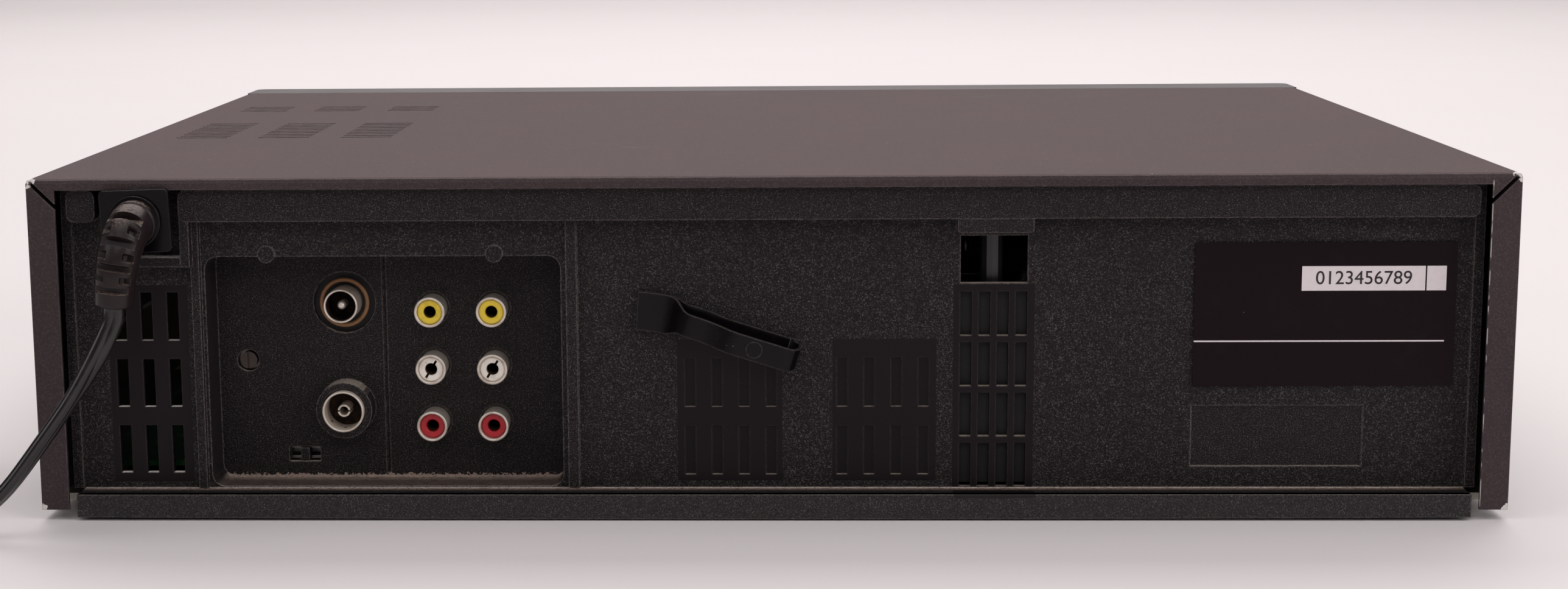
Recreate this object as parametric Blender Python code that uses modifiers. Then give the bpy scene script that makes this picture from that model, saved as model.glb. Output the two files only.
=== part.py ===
"""Front-loading video cassette recorder: case, rear connectors, tape deck, front controls and mains cord.

Metres. +Z is up, the front faces -Y, and the mains cord leaves the rear at +X. The origin is on the table,
under the middle of the case.
"""

import math

import bmesh
import bpy
from mathutils import Matrix, Vector

# Whole case
CASE_WIDTH = 0.400
COVER_HEIGHT = 0.0916
COVER_LIFT = 0.0027
COVER_DEPTH = 0.285
FRONT_DEPTH = 0.021
SHEET = 0.001
GAP = 0.0003
OVERRUN = 0.001
FRONT_PROUD = 0.0012
STRAP_PROUD = 0.0020

# Cover
LIP_HEIGHT = 0.0031
FLANGE_WIDTH = 0.0076
MITRE_GAP = 0.0011
FOLD_RADIUS = 0.0012
VENT_GROUPS = 3
VENT_GROUP_PITCH = 0.0260
VENT_GROUP_WIDTH = 0.0163
VENT_GROUP_INSET = 0.0140
VENT_SLOT_PITCH = 0.0052
VENT_SLOT_WIDTH = 0.0018
NEAR_VENT_SLOTS = 10
NEAR_VENT_START = 0.1110
FAR_VENT_SLOTS = 4
FAR_VENT_START = 0.2060

# Cover screws
SCREW_HEAD_RADIUS = 0.0038
SCREW_HEAD = 0.0013
SCREW_RADIUS = 0.0014
SCREW_LENGTH = 0.0070
SCREW_HEIGHT = 0.0300
SCREW_INSET = 0.0400
SCREW_CROSS_LENGTH = 0.0040
SCREW_CROSS_WIDTH = 0.0009
SCREW_CROSS_DEPTH = 0.0007

# Bottom chassis and feet
FLOOR_LIFT = 0.0030
FLOOR = 0.0020
CHASSIS_WALL = 0.0020
CHASSIS_WALL_HEIGHT = 0.0380
FOOT_RADIUS = 0.0110
FOOT_STEM_RADIUS = 0.0030
FOOT_STEM_RISE = 0.0020
FOOT_INSET = 0.0300
PILLAR_RADIUS = 0.0035
BOARD_POST_RADIUS = 0.0030
WINDOW_POST_RADIUS = 0.0031
WINDOW_POST_TOP = 0.0820
CHASSIS_SLOTS = 6
CHASSIS_SLOT_LENGTH = 0.0300
CHASSIS_SLOT_WIDTH = 0.0030
CHASSIS_SLOT_PITCH = 0.0080

# Rear panel
PANEL_SIDE_GAP = 0.0024
PANEL_WALL = 0.0022
FACE_DEPTH = 0.0074
BAND_DEPTH = 0.0023
BAND_HEIGHT = 0.0087
RAIL_LIFT = 0.0012
RAIL_HEIGHT = 0.0060
RAIL_PROUD = 0.0009
PANEL_CORNER = 0.0020
RIDGE_DEPTH = 0.0056
RIDGE_WIDTH = 0.0024
LEFT_RIDGE_INSET = 0.0326
RIGHT_RIDGE_WIDTH = 0.0030

# Pocket round the strain relief
CORNER_BLOCK_WIDTH = 0.0078
POCKET_WIDTH = 0.0228
POCKET_DROP = 0.0185
POCKET_FRAME = 0.0026
NECK_WIDTH = 0.0136
NECK_INSET = 0.0200
NECK_DROP = 0.0150

# Left vents, right vents and the vent window
LEFT_VENT_INSET = 0.0122
LEFT_VENT_WIDTH = 0.0031
LEFT_VENT_PITCH = 0.0073
LEFT_VENT_BAR = 0.0052
LEFT_VENT_DROP = 0.0077
LEFT_VENT_LIFT = 0.0043
LEFT_VENT_COUNT = 3
RIGHT_VENT_INSET = 0.1359
RIGHT_VENT_WIDTH = 0.0031
RIGHT_VENT_PITCH = 0.0050
RIGHT_VENT_BAR = 0.0018
RIGHT_VENT_LIFT = 0.0003
RIGHT_VENT_COUNT = 4
WINDOW_HEIGHT = 0.0130
WINDOW_GAP = 0.0023
TAB_DROP = 0.0039
TAB_MARGIN = 0.0012

# Blind vents: shallow recesses in two groups, from the bay's right edge
BLIND_INSETS = (0.0352, 0.0768)
BLIND_WIDTH = 0.0029
BLIND_HEIGHT = 0.0136
BLIND_PITCH = 0.0074
BLIND_RISE = 0.0190
BLIND_LIFT = 0.0037
BLIND_COLUMN_COUNT = 4
BLIND_ROW_COUNT = 2
BLIND_DEPTH = 0.0008

# Label and the plain framed patch under it
LABEL_INSET = 0.0043
LABEL_WIDTH = 0.0701
LABEL_HEIGHT = 0.0394
LABEL_DROP = 0.0073
LABEL_THICK = 0.0003
PATCH_WIDTH = 0.0464
PATCH_HEIGHT = 0.0169
PATCH_LIFT = 0.0059
PATCH_DEPTH = 0.0004

# Connector bay
BAY_INSET = 0.0361
BAY_WIDTH = 0.0976
BAY_HEIGHT = 0.0647
BAY_DEPTH = 0.0131
BAY_CORNER = 0.0035
BAY_WALL = 0.0016
BAY_TAB_RADIUS = 0.0024
BAY_TAB_DEPTH = 0.0016
BAY_TAB_SPACING = 0.0625
BAY_TAB_INSET = 0.0171
DIVIDER_X = 0.0466
DIVIDER_WIDTH = 0.0010
DIVIDER_DEPTH = 0.0009

# Aerial connectors, places from the bay's left edge and floor
AERIAL_X = 0.0359
AERIAL_OUT_Z = 0.0498
AERIAL_IN_Z = 0.0202
AERIAL_HOLE_RADIUS = 0.0087
OUT_SHELL_RADIUS = 0.00476
OUT_SHELL_WALL = 0.0006
OUT_SHELL_PROUD = 0.0068
OUT_FLANGE_RADIUS = 0.0100
OUT_FLANGE = 0.0009
OUT_PIN_RADIUS = 0.0012
OUT_PIN_SHORT = 0.0012
IN_SHELL_RADIUS = 0.0058
IN_SHELL_WALL = 0.0006
IN_SHELL_PROUD = 0.0080
IN_CONTACT_RADIUS = 0.0018
IN_CONTACT_WALL = 0.0006
IN_CONTACT_SHORT = 0.0016
IN_CONTACT_SLIT = 0.0007
COLLAR_RADIUS = 0.0079
COLLAR_PROUD = 0.0062
INSULATOR = 0.0012

# Slide switch and channel adjusting screw
SWITCH_X = 0.0234
SWITCH_Z = 0.0065
SWITCH_WIDTH = 0.0087
SWITCH_HEIGHT = 0.0042
KNOB_WIDTH = 0.0025
KNOB_HEIGHT = 0.0034
KNOB_STEM = 0.0016
ADJUSTER_X = 0.0083
ADJUSTER_Z = 0.0334
ADJUSTER_HOLE_RADIUS = 0.0031
ADJUSTER_RADIUS = 0.0024
ADJUSTER_STEM_RADIUS = 0.0010
ADJUSTER_SLOT_WIDTH = 0.0007
ADJUSTER_SLOT_DEPTH = 0.0006
STEM_LENGTH = 0.0030

# Modulator can
CAN_DEPTH = 0.0200
CAN_MARGIN = 0.0045
CAN_WIDTH = 0.0450
CAN_HEIGHT = 0.0580

# Pin jacks
JACK_X = 0.0607
JACK_Z = 0.0321
JACK_PITCH_X = 0.0171
JACK_PITCH_Z = 0.0161
JACK_COLUMNS = ("left", "right")
JACK_COLOURS = {
    "yellow": (0.85, 0.65, 0.05),
    "white": (0.80, 0.78, 0.72),
    "red": (0.55, 0.02, 0.02),
}
JACK_RADIUS = 0.00415
JACK_WALL = 0.00055
JACK_PROUD = 0.0080
JACK_FLANGE_RADIUS = 0.0052
JACK_FLANGE = 0.0008
JACK_HOLE_CLEARANCE = 0.0005
INSERT_SHORT = 0.0006
INSERT_BORE_RADIUS = 0.0017
INSERT_BAR = 0.0010
INSERT_BAR_WIDTH = 0.0030
BLOCK_DEPTH = 0.0120
BLOCK_MARGIN = 0.0065

# Strain relief: plate, neck, collar and ribbed boot
PLATE_WIDTH = 0.0190
PLATE_HEIGHT = 0.0172
PLATE_THICK = 0.0021
PLATE_CORNER = 0.0014
PLATE_TILT = math.radians(-2)
PLATE_DROP = 0.0079
NECK_FLANGE = 0.0014
NECK_FLANGE_MARGIN = 0.0012
BOOT_COLLAR_RADIUS = 0.0071
BOOT_COLLAR = 0.0012
BOOT_ROOT_RADIUS = 0.0062
BOOT_TIP_RADIUS = 0.0050
BOOT_GROOVE = 0.0008
BOOT_STEP = 0.0009
BOOT_RIB_STEPS = 5
BOOT_GROOVE_STEPS = 2
BOOT_DRIFT = 0.0035
BOOT_REACH = 0.0140
BOOT_DROP = 0.0218
BOOT_ROUTE_SHARES = (
    (0, 0.143, 0),
    (0.06, 0.443, 0.028),
    (0.23, 0.729, 0.138),
    (0.46, 0.914, 0.321),
    (0.69, 0.986, 0.550),
    (0.89, 1, 0.789),
    (1, 1, 1),
)

# Mains cord: shares of the way from the strain relief's end to the coil, across, out and down
CORD_RADIUS = 0.0030
CORD_STEP = 0.0120
CORD_ROUTE_SHARES = (
    (0, 0, 0),
    (0.029, 0.20, 0.091),
    (0.075, 0.33, 0.235),
    (0.148, 0.47, 0.395),
    (0.224, 0.60, 0.526),
    (0.306, 0.73, 0.688),
    (0.397, 0.87, 0.874),
    (0.487, 0.96, 0.967),
    (0.590, 1, 0.996),
    (0.780, 1, 1),
    (1, 1, 1),
)

# Coil of cord and plug, beside the case
COIL_OUT = 0.0650
COIL_Y = -0.0145
COIL_RADIUS = 0.0360
COIL_TURN_PITCH = 0.0067
COIL_LAYER_PITCH = 0.0065
COIL_LAYERS = 4
TURNS_IN_LAYER = 2
COIL_LAST_TURN_SHARE = 0.25
LOOP_POINTS = 24
TAIL_LENGTH = 0.0720
TAIL_STEP = 0.0080
PLUG_LENGTH = 0.0360
PLUG_WIDTH = 0.0330
PLUG_NECK_WIDTH = 0.0110
PLUG_THICK = 0.0140
PLUG_CORNER = 0.0030
PIN_PLATE_WIDTH = 0.0290
PIN_PLATE_THICK = 0.0100
PIN_PLATE_DEPTH = 0.0030
PIN_PLATE_PROUD = 0.0008
PIN_RADIUS = 0.0020
PIN_LENGTH = 0.0190
PIN_SPACING = 0.0180

# Cable strap, from the bay's right edge and the ledge
STRAP_ROOT_INSET = 0.0253
STRAP_ROOT_LIFT = 0.0500
STRAP_ROOT_WIDTH = 0.0108
STRAP_ROOT_LENGTH = 0.0090
STRAP_TAPER = 0.0080
STRAP_BAND = 0.0064
STRAP_THICK = 0.0010
STRAP_LENGTH = 0.0415
STRAP_SLOPE = math.radians(17.5)
STRAP_PEG_ALONG = 0.0292
STRAP_PEG_RADIUS = 0.0023
STRAP_STEM_RADIUS = 0.0015
STRAP_STEM = 0.0045

# Front panel
FRONT_WALL = 0.0030
FRONT_LIFT = 0.0040
FRONT_CORNER = 0.0035
DOOR_INSET = 0.1400
DOOR_WIDTH = 0.1940
DOOR_SILL = 0.0516
DOOR_HEIGHT = 0.0306
DOOR_GAP = 0.0007
DOOR_THICK = 0.0024
DOOR_AXIS_DROP = 0.0019
DOOR_AXIS_DEPTH = 0.0015
DOOR_PIN_RADIUS = 0.0007
DOOR_PIN = 0.0025
DISPLAY_INSET = 0.0250
DISPLAY_GAP = 0.0180
DISPLAY_HEIGHT = 0.0260
DISPLAY_THICK = 0.0016
DISPLAY_RIM = 0.0020
BUTTON_HEIGHT = 0.0070
BUTTON_FLANGE = 0.0012
BUTTON_RIM = 0.0012
BUTTON_SLACK = 0.0004
TRANSPORT_Z = 0.0300
TRANSPORT_BUTTONS = ("rewind_button", "play_button", "forward_button", "stop_button", "record_button")
TRANSPORT_GAP = 0.0070
SIDE_BUTTON_INSET = 0.0220
SIDE_BUTTON_WIDTH = 0.0200
POWER_Z = 0.0660
EJECT_Z = 0.0440
FRONT_BOARD_DEPTH = 0.0100
FRONT_BOARD_LIFT = 0.0180
FRONT_BOARD_MARGIN = 0.0100
FRONT_BOARD_HEIGHT = 0.0640
TUBE_WIDTH = 0.0900
TUBE_HEIGHT = 0.0160
TUBE_DEPTH = 0.0035

# Main board and power supply
BOARD = 0.0016
BOARD_LIFT = 0.0095
BOARD_MARGIN = 0.0060
BOARD_REAR_CLEARANCE = 0.0240
CHIPS = 4
CHIP_WIDTH = 0.0180
CHIP_LENGTH = 0.0260
CHIP_PITCH = 0.0500
CHIP_HEIGHT = 0.0040
SUPPLY_WIDTH = 0.0700
SUPPLY_DEPTH = 0.1050
SUPPLY_SIDE_INSET = 0.0120
SUPPLY_REAR_INSET = 0.1050
SUPPLY_LIFT = 0.0200
SUPPLY_LEG_RADIUS = 0.0030
TRANSFORMER_WIDTH = 0.0440
TRANSFORMER_HEIGHT = 0.0380
CAPACITOR_RADIUS = 0.0090
CAPACITOR_SPACING = 0.0260
CAPACITOR_HEIGHT = 0.0300
SINK_HEIGHT = 0.0400
SINK_FINS = 6
SINK_FIN = 0.0016
SINK_PITCH = 0.0060
SINK_DEPTH = 0.0140

# Deck plate, lengths inwards from the cover's front edge and up from the plate's top
DECK_TOP = 0.0266
DECK_PLATE = 0.0016
DECK_FRONT = 0.0040
DECK_REAR = 0.2350
DECK_HALF_WIDTH = 0.1100
PILLAR_INSET = 0.0060
FRAME_WALL = 0.0015
FRAME_CLEARANCE = 0.0020
FRAME_TOP = 0.0572
FRAME_REAR = 0.1600
TRACK_HEIGHT = 0.0300
TRACK_PIN_RADIUS = 0.0018
TRACK_SLACK = 0.0004
BRIDGE_DEPTH = 0.0300
BRIDGE_START = 0.0500

# Cassette basket and its carrier
CASSETTE_WIDTH = 0.1870
CASSETTE_HEIGHT = 0.0250
CASSETTE_SLACK = 0.0008
BASKET_WALL = 0.0012
BASKET_LIP = 0.0120
BASKET_DEPTH = 0.0820
BASKET_START = 0.0125
BASKET_TRAVEL = 0.0520
BASKET_DROP = 0.0170
BASKET_STOP_WIDTH = 0.0100
BASKET_STOP_DROP = 0.0090
BASKET_PIN_RADIUS = 0.0018
BASKET_PIN_HEIGHT_SHARE = 0.66
BASKET_PIN_INSET = 0.0150
CARRIER_WALL = 0.0012
CARRIER_CLEARANCE = 0.0009
CARRIER_WINDOW_SHARE = 0.7

# Head drum
DRUM_RADIUS = 0.0310
DRUM_Y = 0.1950
DRUM_TILT = math.radians(5.97)
DRUM_FOOT = 0.0060
DRUM_FOOT_RADIUS = 0.0240
LOWER_DRUM_HEIGHT = 0.0150
UPPER_DRUM_HEIGHT = 0.0140
DRUM_RIM = 0.0020
DRUM_DISH = 0.0040
DRUM_HUB_RADIUS = 0.0110
SPINDLE_RADIUS = 0.0030
SPINDLE_PROUD = 0.0030
HEAD_WIDTH = 0.0036
HEAD_HEIGHT = 0.0024
HEAD_DEPTH = 0.0012

# Capstan and its flywheel
CAPSTAN_X = 0.0580
CAPSTAN_Y = 0.1680
CAPSTAN_RADIUS = 0.0016
CAPSTAN_TOP = 0.0260
FLYWHEEL_RADIUS = 0.0210
FLYWHEEL = 0.0050
FLYWHEEL_DROP = 0.0095
FLYWHEEL_HOLES = 3
FLYWHEEL_HOLE_RADIUS = 0.0040
FLYWHEEL_HOLE_CIRCLE = 0.0125

# Reel tables
REEL_X = 0.0455
REEL_Y = 0.0880
REEL_RADIUS = 0.0160
REEL_FLANGE = 0.0022
REEL_LIFT = 0.0015
REEL_HUB_RADIUS = 0.0075
REEL_HUB_HEIGHT = 0.0070
REEL_TOP_RADIUS = 0.0045
REEL_TOP = 0.0150
REEL_FINS = 3
REEL_FIN = 0.0016
REEL_SHAFT_RADIUS = 0.0018

# Pinch arm and roller
PINCH_PIVOT_X = 0.0876
PINCH_PIVOT_Y = 0.1640
PINCH_REACH = 0.0220
PINCH_REST = math.radians(204.4)
PINCH_ARM_LIFT = 0.0066
PINCH_ARM = 0.0020
PINCH_ARM_HALF_WIDTH = 0.0042
PINCH_PIVOT_RADIUS = 0.0018
PINCH_PIN_RADIUS = 0.0013
PINCH_ROLLER_RADIUS = 0.0060
PINCH_ROLLER_HEIGHT = 0.0130

# Tape guides that carry the tape to the drum
GUIDE_START = (0.0340, 0.1320)
GUIDE_END = (0.0440, 0.2060)
GUIDE_POST_RADIUS = 0.0020
GUIDE_ROLLER_RADIUS = 0.0030
GUIDE_ROLLER_LIFT = 0.0040
GUIDE_TOP = 0.0220
GUIDE_SHOE_RADIUS = 0.0060
GUIDE_SHOE = 0.0024

# Facets
ROUND_SIDES = 32
SMALL_SIDES = 20
TINY_SIDES = 12
CORNER_STEPS = 4
SMOOTH_ANGLE = math.radians(35)
MERGE = 0.00001

# Places that follow from the sizes above
HALF_WIDTH = CASE_WIDTH / 2
CASE_DEPTH = COVER_DEPTH + FRONT_DEPTH
COVER_TOP = COVER_LIFT + COVER_HEIGHT
REAR_Y = (CASE_DEPTH + FRONT_PROUD - STRAP_PROUD) / 2
COVER_FRONT_Y = REAR_Y - COVER_DEPTH
FACE_Y = COVER_FRONT_Y - FRONT_DEPTH
PANEL_HALF = HALF_WIDTH - FLANGE_WIDTH - PANEL_SIDE_GAP
PANEL_TOP = COVER_TOP - LIP_HEIGHT - GAP
PANEL_BACK = -FACE_DEPTH - PANEL_WALL
LEDGE_Z = RAIL_LIFT + RAIL_HEIGHT
BAND_BOTTOM = PANEL_TOP - BAND_HEIGHT
POCKET_FRAME_BOTTOM = PANEL_TOP - POCKET_DROP - POCKET_FRAME
LEFT_VENT_LOW = LEDGE_Z + LEFT_VENT_LIFT
LEFT_VENT_HIGH = POCKET_FRAME_BOTTOM - LEFT_VENT_DROP
LEFT_VENT_RISE = (LEFT_VENT_HIGH - LEFT_VENT_LOW + LEFT_VENT_BAR) / LEFT_VENT_COUNT
WINDOW_TOP = BAND_BOTTOM - TAB_DROP - WINDOW_GAP + OVERRUN
RIGHT_VENT_LOW = LEDGE_Z + RIGHT_VENT_LIFT
RIGHT_VENT_HIGH = WINDOW_TOP - WINDOW_HEIGHT - WINDOW_GAP
RIGHT_VENT_RISE = (RIGHT_VENT_HIGH - RIGHT_VENT_LOW + RIGHT_VENT_BAR) / RIGHT_VENT_COUNT
FLOOR_TOP = FLOOR_LIFT + FLOOR
BAY_LEFT = PANEL_HALF - BAY_INSET
BAY_RIGHT = BAY_LEFT - BAY_WIDTH
BAY_FLOOR = -FACE_DEPTH - BAY_DEPTH
BAY_BACK = BAY_FLOOR - BAY_WALL
BAY_TOP = LEDGE_Z + BAY_HEIGHT
AERIAL_OUT = (BAY_LEFT - AERIAL_X, LEDGE_Z + AERIAL_OUT_Z)
AERIAL_IN = (BAY_LEFT - AERIAL_X, LEDGE_Z + AERIAL_IN_Z)
SWITCH = (BAY_LEFT - SWITCH_X, LEDGE_Z + SWITCH_Z)
ADJUSTER = (BAY_LEFT - ADJUSTER_X, LEDGE_Z + ADJUSTER_Z)
JACK_CENTRE = (BAY_LEFT - JACK_X - JACK_PITCH_X / 2, LEDGE_Z + JACK_Z)
CAN_FACE = BAY_BACK - OUT_FLANGE - 2 * GAP
RIGHT_VENT_X = RIGHT_VENT_INSET - PANEL_HALF
RIGHT_VENT_SPAN = (RIGHT_VENT_COUNT - 1) * RIGHT_VENT_PITCH
WINDOW_X = (RIGHT_VENT_X + RIGHT_VENT_WIDTH / 2, RIGHT_VENT_X - RIGHT_VENT_SPAN - RIGHT_VENT_WIDTH / 2)
NECK = (PANEL_HALF - NECK_INSET, PANEL_TOP - PLATE_DROP)
STRAP_ROOT = (BAY_RIGHT - STRAP_ROOT_INSET, LEDGE_Z + STRAP_ROOT_LIFT)
COIL_X = HALF_WIDTH + COIL_OUT
CORD_LIE = CORD_RADIUS + GAP
FRONT_TOP = COVER_TOP
DOOR_CENTRE_X = DOOR_INSET - HALF_WIDTH
DISPLAY_LEFT = DOOR_CENTRE_X + DOOR_WIDTH / 2 + DISPLAY_GAP
DISPLAY_WIDTH = HALF_WIDTH - DISPLAY_INSET - DISPLAY_LEFT
DISPLAY_X = DISPLAY_LEFT + DISPLAY_WIDTH / 2
TRANSPORT_PITCH = (DISPLAY_WIDTH + TRANSPORT_GAP) / len(TRANSPORT_BUTTONS)
BASKET_WIDTH = CASSETTE_WIDTH + 2 * (CASSETTE_SLACK + BASKET_WALL)
BASKET_INNER = CASSETTE_HEIGHT + CASSETTE_SLACK
BASKET_FLOOR = DOOR_SILL - DECK_TOP
BASKET_TOP = BASKET_FLOOR + BASKET_INNER + 2 * BASKET_WALL
CARRIER_HALF = BASKET_WIDTH / 2 + CARRIER_CLEARANCE + CARRIER_WALL
CARRIER_TOP = BASKET_TOP + CARRIER_CLEARANCE + CARRIER_WALL
FRAME_HALF = CARRIER_HALF + FRAME_CLEARANCE + FRAME_WALL
DRUM_BASE = DRUM_FOOT + GAP

# Finishes: colour, roughness, metallic
DARK_PAINT = ((0.085, 0.072, 0.070), 0.45, 0.2)
BLACK_PLASTIC = ((0.020, 0.018, 0.018), 0.55, 0.0)
GLOSS_BLACK = ((0.012, 0.012, 0.013), 0.20, 0.0)
GREY_PLASTIC = ((0.150, 0.150, 0.160), 0.35, 0.0)
RUBBER = ((0.025, 0.025, 0.025), 0.80, 0.0)
NICKEL = ((0.62, 0.58, 0.52), 0.30, 1.0)
BRASS = ((0.70, 0.52, 0.25), 0.35, 1.0)
STEEL = ((0.55, 0.55, 0.55), 0.35, 1.0)
ALUMINIUM = ((0.75, 0.75, 0.76), 0.25, 1.0)
GREEN_BOARD = ((0.05, 0.16, 0.06), 0.50, 0.0)
WHITE_PLASTIC = ((0.75, 0.74, 0.70), 0.50, 0.0)


# Scene and object helpers
def clear_scene():
    for obj in list(bpy.data.objects):
        bpy.data.objects.remove(obj, do_unlink=True)


def new_collection(name):
    made = bpy.data.collections.new(name)
    bpy.context.scene.collection.children.link(made)
    return made


def new_frame(name, place):
    """An empty that carries the pieces measured from this place."""
    frame = bpy.data.objects.new(name, None)
    frame.location = place
    PARTS.objects.link(frame)
    return frame


def add(name, data, frame):
    """An object in the cutters' collection. finish() makes it a part."""
    obj = bpy.data.objects.new(name, data)
    CUTTERS.objects.link(obj)
    obj.parent = frame
    obj.hide_render = True
    obj.display_type = "WIRE"
    return obj


def finish(obj, look, pivot=None):
    """Makes the object a part, with its own material and its origin at pivot, in its frame's coordinates."""
    colour, roughness, metallic = look
    material = bpy.data.materials.new(obj.name)
    material.use_nodes = True
    shader = material.node_tree.nodes["Principled BSDF"]
    shader.inputs["Base Color"].default_value = (*colour, 1)
    shader.inputs["Roughness"].default_value = roughness
    shader.inputs["Metallic"].default_value = metallic
    material.diffuse_color = (*colour, 1)
    obj.data.materials.append(material)
    CUTTERS.objects.unlink(obj)
    PARTS.objects.link(obj)
    obj.hide_render = False
    obj.display_type = "TEXTURED"
    if pivot is not None:
        shift = Matrix.Translation(Vector(pivot) - obj.location)
        obj.data.transform(obj.matrix_basis.inverted() @ shift.inverted() @ obj.matrix_basis)
        obj.location = pivot
    return obj


def from_bmesh(name, shape, frame):
    mesh = bpy.data.meshes.new(name)
    shape.to_mesh(mesh)
    shape.free()
    mesh.shade_smooth()
    mesh.set_sharp_from_angle(angle=SMOOTH_ANGLE)
    return add(name, mesh, frame)


def boolean(target, other, operation):
    modifier = target.modifiers.new(other.name, "BOOLEAN")
    modifier.object = other
    modifier.operation = operation
    modifier.solver = "EXACT"


def cut(target, *cutters):
    for cutter in cutters:
        boolean(target, cutter, "DIFFERENCE")
    return target


def fuse(target, *others):
    for other in others:
        boolean(target, other, "UNION")
    return target


# Shapes
def boxes(name, corners, frame=None):
    """Boxes in one object, each from two opposite corners."""
    shape = bmesh.new()
    for one, other in corners:
        low = Vector(map(min, one, other))
        high = Vector(map(max, one, other))
        cube = bmesh.ops.create_cube(shape, size=1)
        matrix = Matrix.LocRotScale((low + high) / 2, None, high - low)
        bmesh.ops.transform(shape, matrix=matrix, verts=cube["verts"])
    return from_bmesh(name, shape, frame)


def box(name, one, other, frame=None):
    return boxes(name, [(one, other)], frame)


def rods(name, ends, frame=None, sides=SMALL_SIDES):
    """Cylinders or cones in one object, each from a start, an end, a radius and perhaps an end radius."""
    shape = bmesh.new()
    for start, end, radius, *end_radius in ends:
        start = Vector(start)
        run = Vector(end) - start
        matrix = Matrix.LocRotScale(start + run / 2, run.to_track_quat("Z", "X"), None)
        bmesh.ops.create_cone(
            shape,
            cap_ends=True,
            segments=sides,
            radius1=radius,
            radius2=end_radius[0] if end_radius else radius,
            depth=run.length,
            matrix=matrix,
        )
    return from_bmesh(name, shape, frame)


def rod(name, start, end, radius, frame=None, sides=SMALL_SIDES):
    return rods(name, [(start, end, radius)], frame, sides)


def turned(name, profile, place, direction, frame=None, sides=ROUND_SIDES):
    """A profile of (radius, height) points, the outer side first, turned about a line in this direction."""
    shape = bmesh.new()
    corners = [shape.verts.new((radius, 0, height)) for radius, height in profile]
    open_ended = profile[0][0] == 0
    for one, other in zip(corners, corners[1:] if open_ended else corners[1:] + corners[:1]):
        shape.edges.new((one, other))
    mesh = bpy.data.meshes.new(name)
    shape.to_mesh(mesh)
    shape.free()
    obj = add(name, mesh, frame)
    obj.location = place
    obj.rotation_mode = "QUATERNION"
    obj.rotation_quaternion = Vector(direction).to_track_quat("Z", "X")
    screw = obj.modifiers.new("Turn", "SCREW")
    screw.steps = sides
    screw.render_steps = sides
    screw.use_merge_vertices = True
    screw.merge_threshold = MERGE
    return obj


def ring_profile(outer, inner, low, high):
    return [(outer, high), (outer, low), (inner, low), (inner, high)]


def arc(centre, radius, start, end, steps):
    """Points of an arc, with its two ends."""
    return [
        (
            centre[0] + radius * math.cos(start + (end - start) * step / steps),
            centre[1] + radius * math.sin(start + (end - start) * step / steps),
        )
        for step in range(steps + 1)
    ]


def rounded(one, other, radius):
    """The outline of a rectangle with round corners, from two opposite corners."""
    low = (min(one[0], other[0]) + radius, min(one[1], other[1]) + radius)
    high = (max(one[0], other[0]) - radius, max(one[1], other[1]) - radius)
    quarter = math.pi / 2
    centres = (high, (low[0], high[1]), low, (high[0], low[1]))
    return [
        point
        for turn, centre in enumerate(centres)
        for point in arc(centre, radius, turn * quarter, (turn + 1) * quarter, CORNER_STEPS)
    ]


def stadium(start, end, radius):
    """The outline of a slot, or of a flat arm, with round ends."""
    heading = math.atan2(end[1] - start[1], end[0] - start[0])
    quarter = math.pi / 2
    steps = 2 * CORNER_STEPS
    far = arc(end, radius, heading - quarter, heading + quarter, steps)
    near = arc(start, radius, heading + quarter, heading + 3 * quarter, steps)
    return far + near


def slab(name, outline, low, high, frame=None, axis="Z"):
    """A flat outline, given thickness along an axis: (x, y) for Z, and (x, z) for Y."""
    curve = bpy.data.curves.new(name, "CURVE")
    curve.dimensions = "2D"
    curve.fill_mode = "BOTH"
    curve.extrude = (high - low) / 2
    spline = curve.splines.new("POLY")
    spline.points.add(len(outline) - 1)
    for point, (across, up) in zip(spline.points, outline):
        point.co = (across, up, 0, 1)
    spline.use_cyclic_u = True
    middle = (low + high) / 2
    if axis == "Y":
        matrix = Matrix.Translation((0, middle, 0)) @ Matrix.Rotation(math.pi / 2, 4, "X")
    else:
        matrix = Matrix.Translation((0, 0, middle))
    return solid_from_curve(name, curve, matrix, frame)


def solid_from_curve(name, curve, matrix, frame):
    """The curve's own mesh, welded, in place of the curve."""
    guide = bpy.data.objects.new(name, curve)
    CUTTERS.objects.link(guide)
    graph = bpy.context.evaluated_depsgraph_get()
    mesh = bpy.data.meshes.new_from_object(guide.evaluated_get(graph))
    bpy.data.objects.remove(guide)
    bpy.data.curves.remove(curve)
    shape = bmesh.new()
    shape.from_mesh(mesh)
    bpy.data.meshes.remove(mesh)
    bmesh.ops.remove_doubles(shape, verts=shape.verts, dist=MERGE)
    bmesh.ops.transform(shape, matrix=matrix, verts=shape.verts)
    bmesh.ops.recalc_face_normals(shape, faces=shape.faces)
    return from_bmesh(name, shape, frame)


def tube(name, points, radius, resolution, frame):
    """A curve object with a round section and capped ends."""
    curve = bpy.data.curves.new(name, "CURVE")
    curve.dimensions = "3D"
    curve.bevel_depth = radius
    curve.bevel_resolution = resolution
    curve.use_fill_caps = True
    spline = curve.splines.new("POLY")
    spline.points.add(len(points) - 1)
    for point, place in zip(spline.points, points):
        point.co = (*place, 1)
    return add(name, curve, frame)


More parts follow.
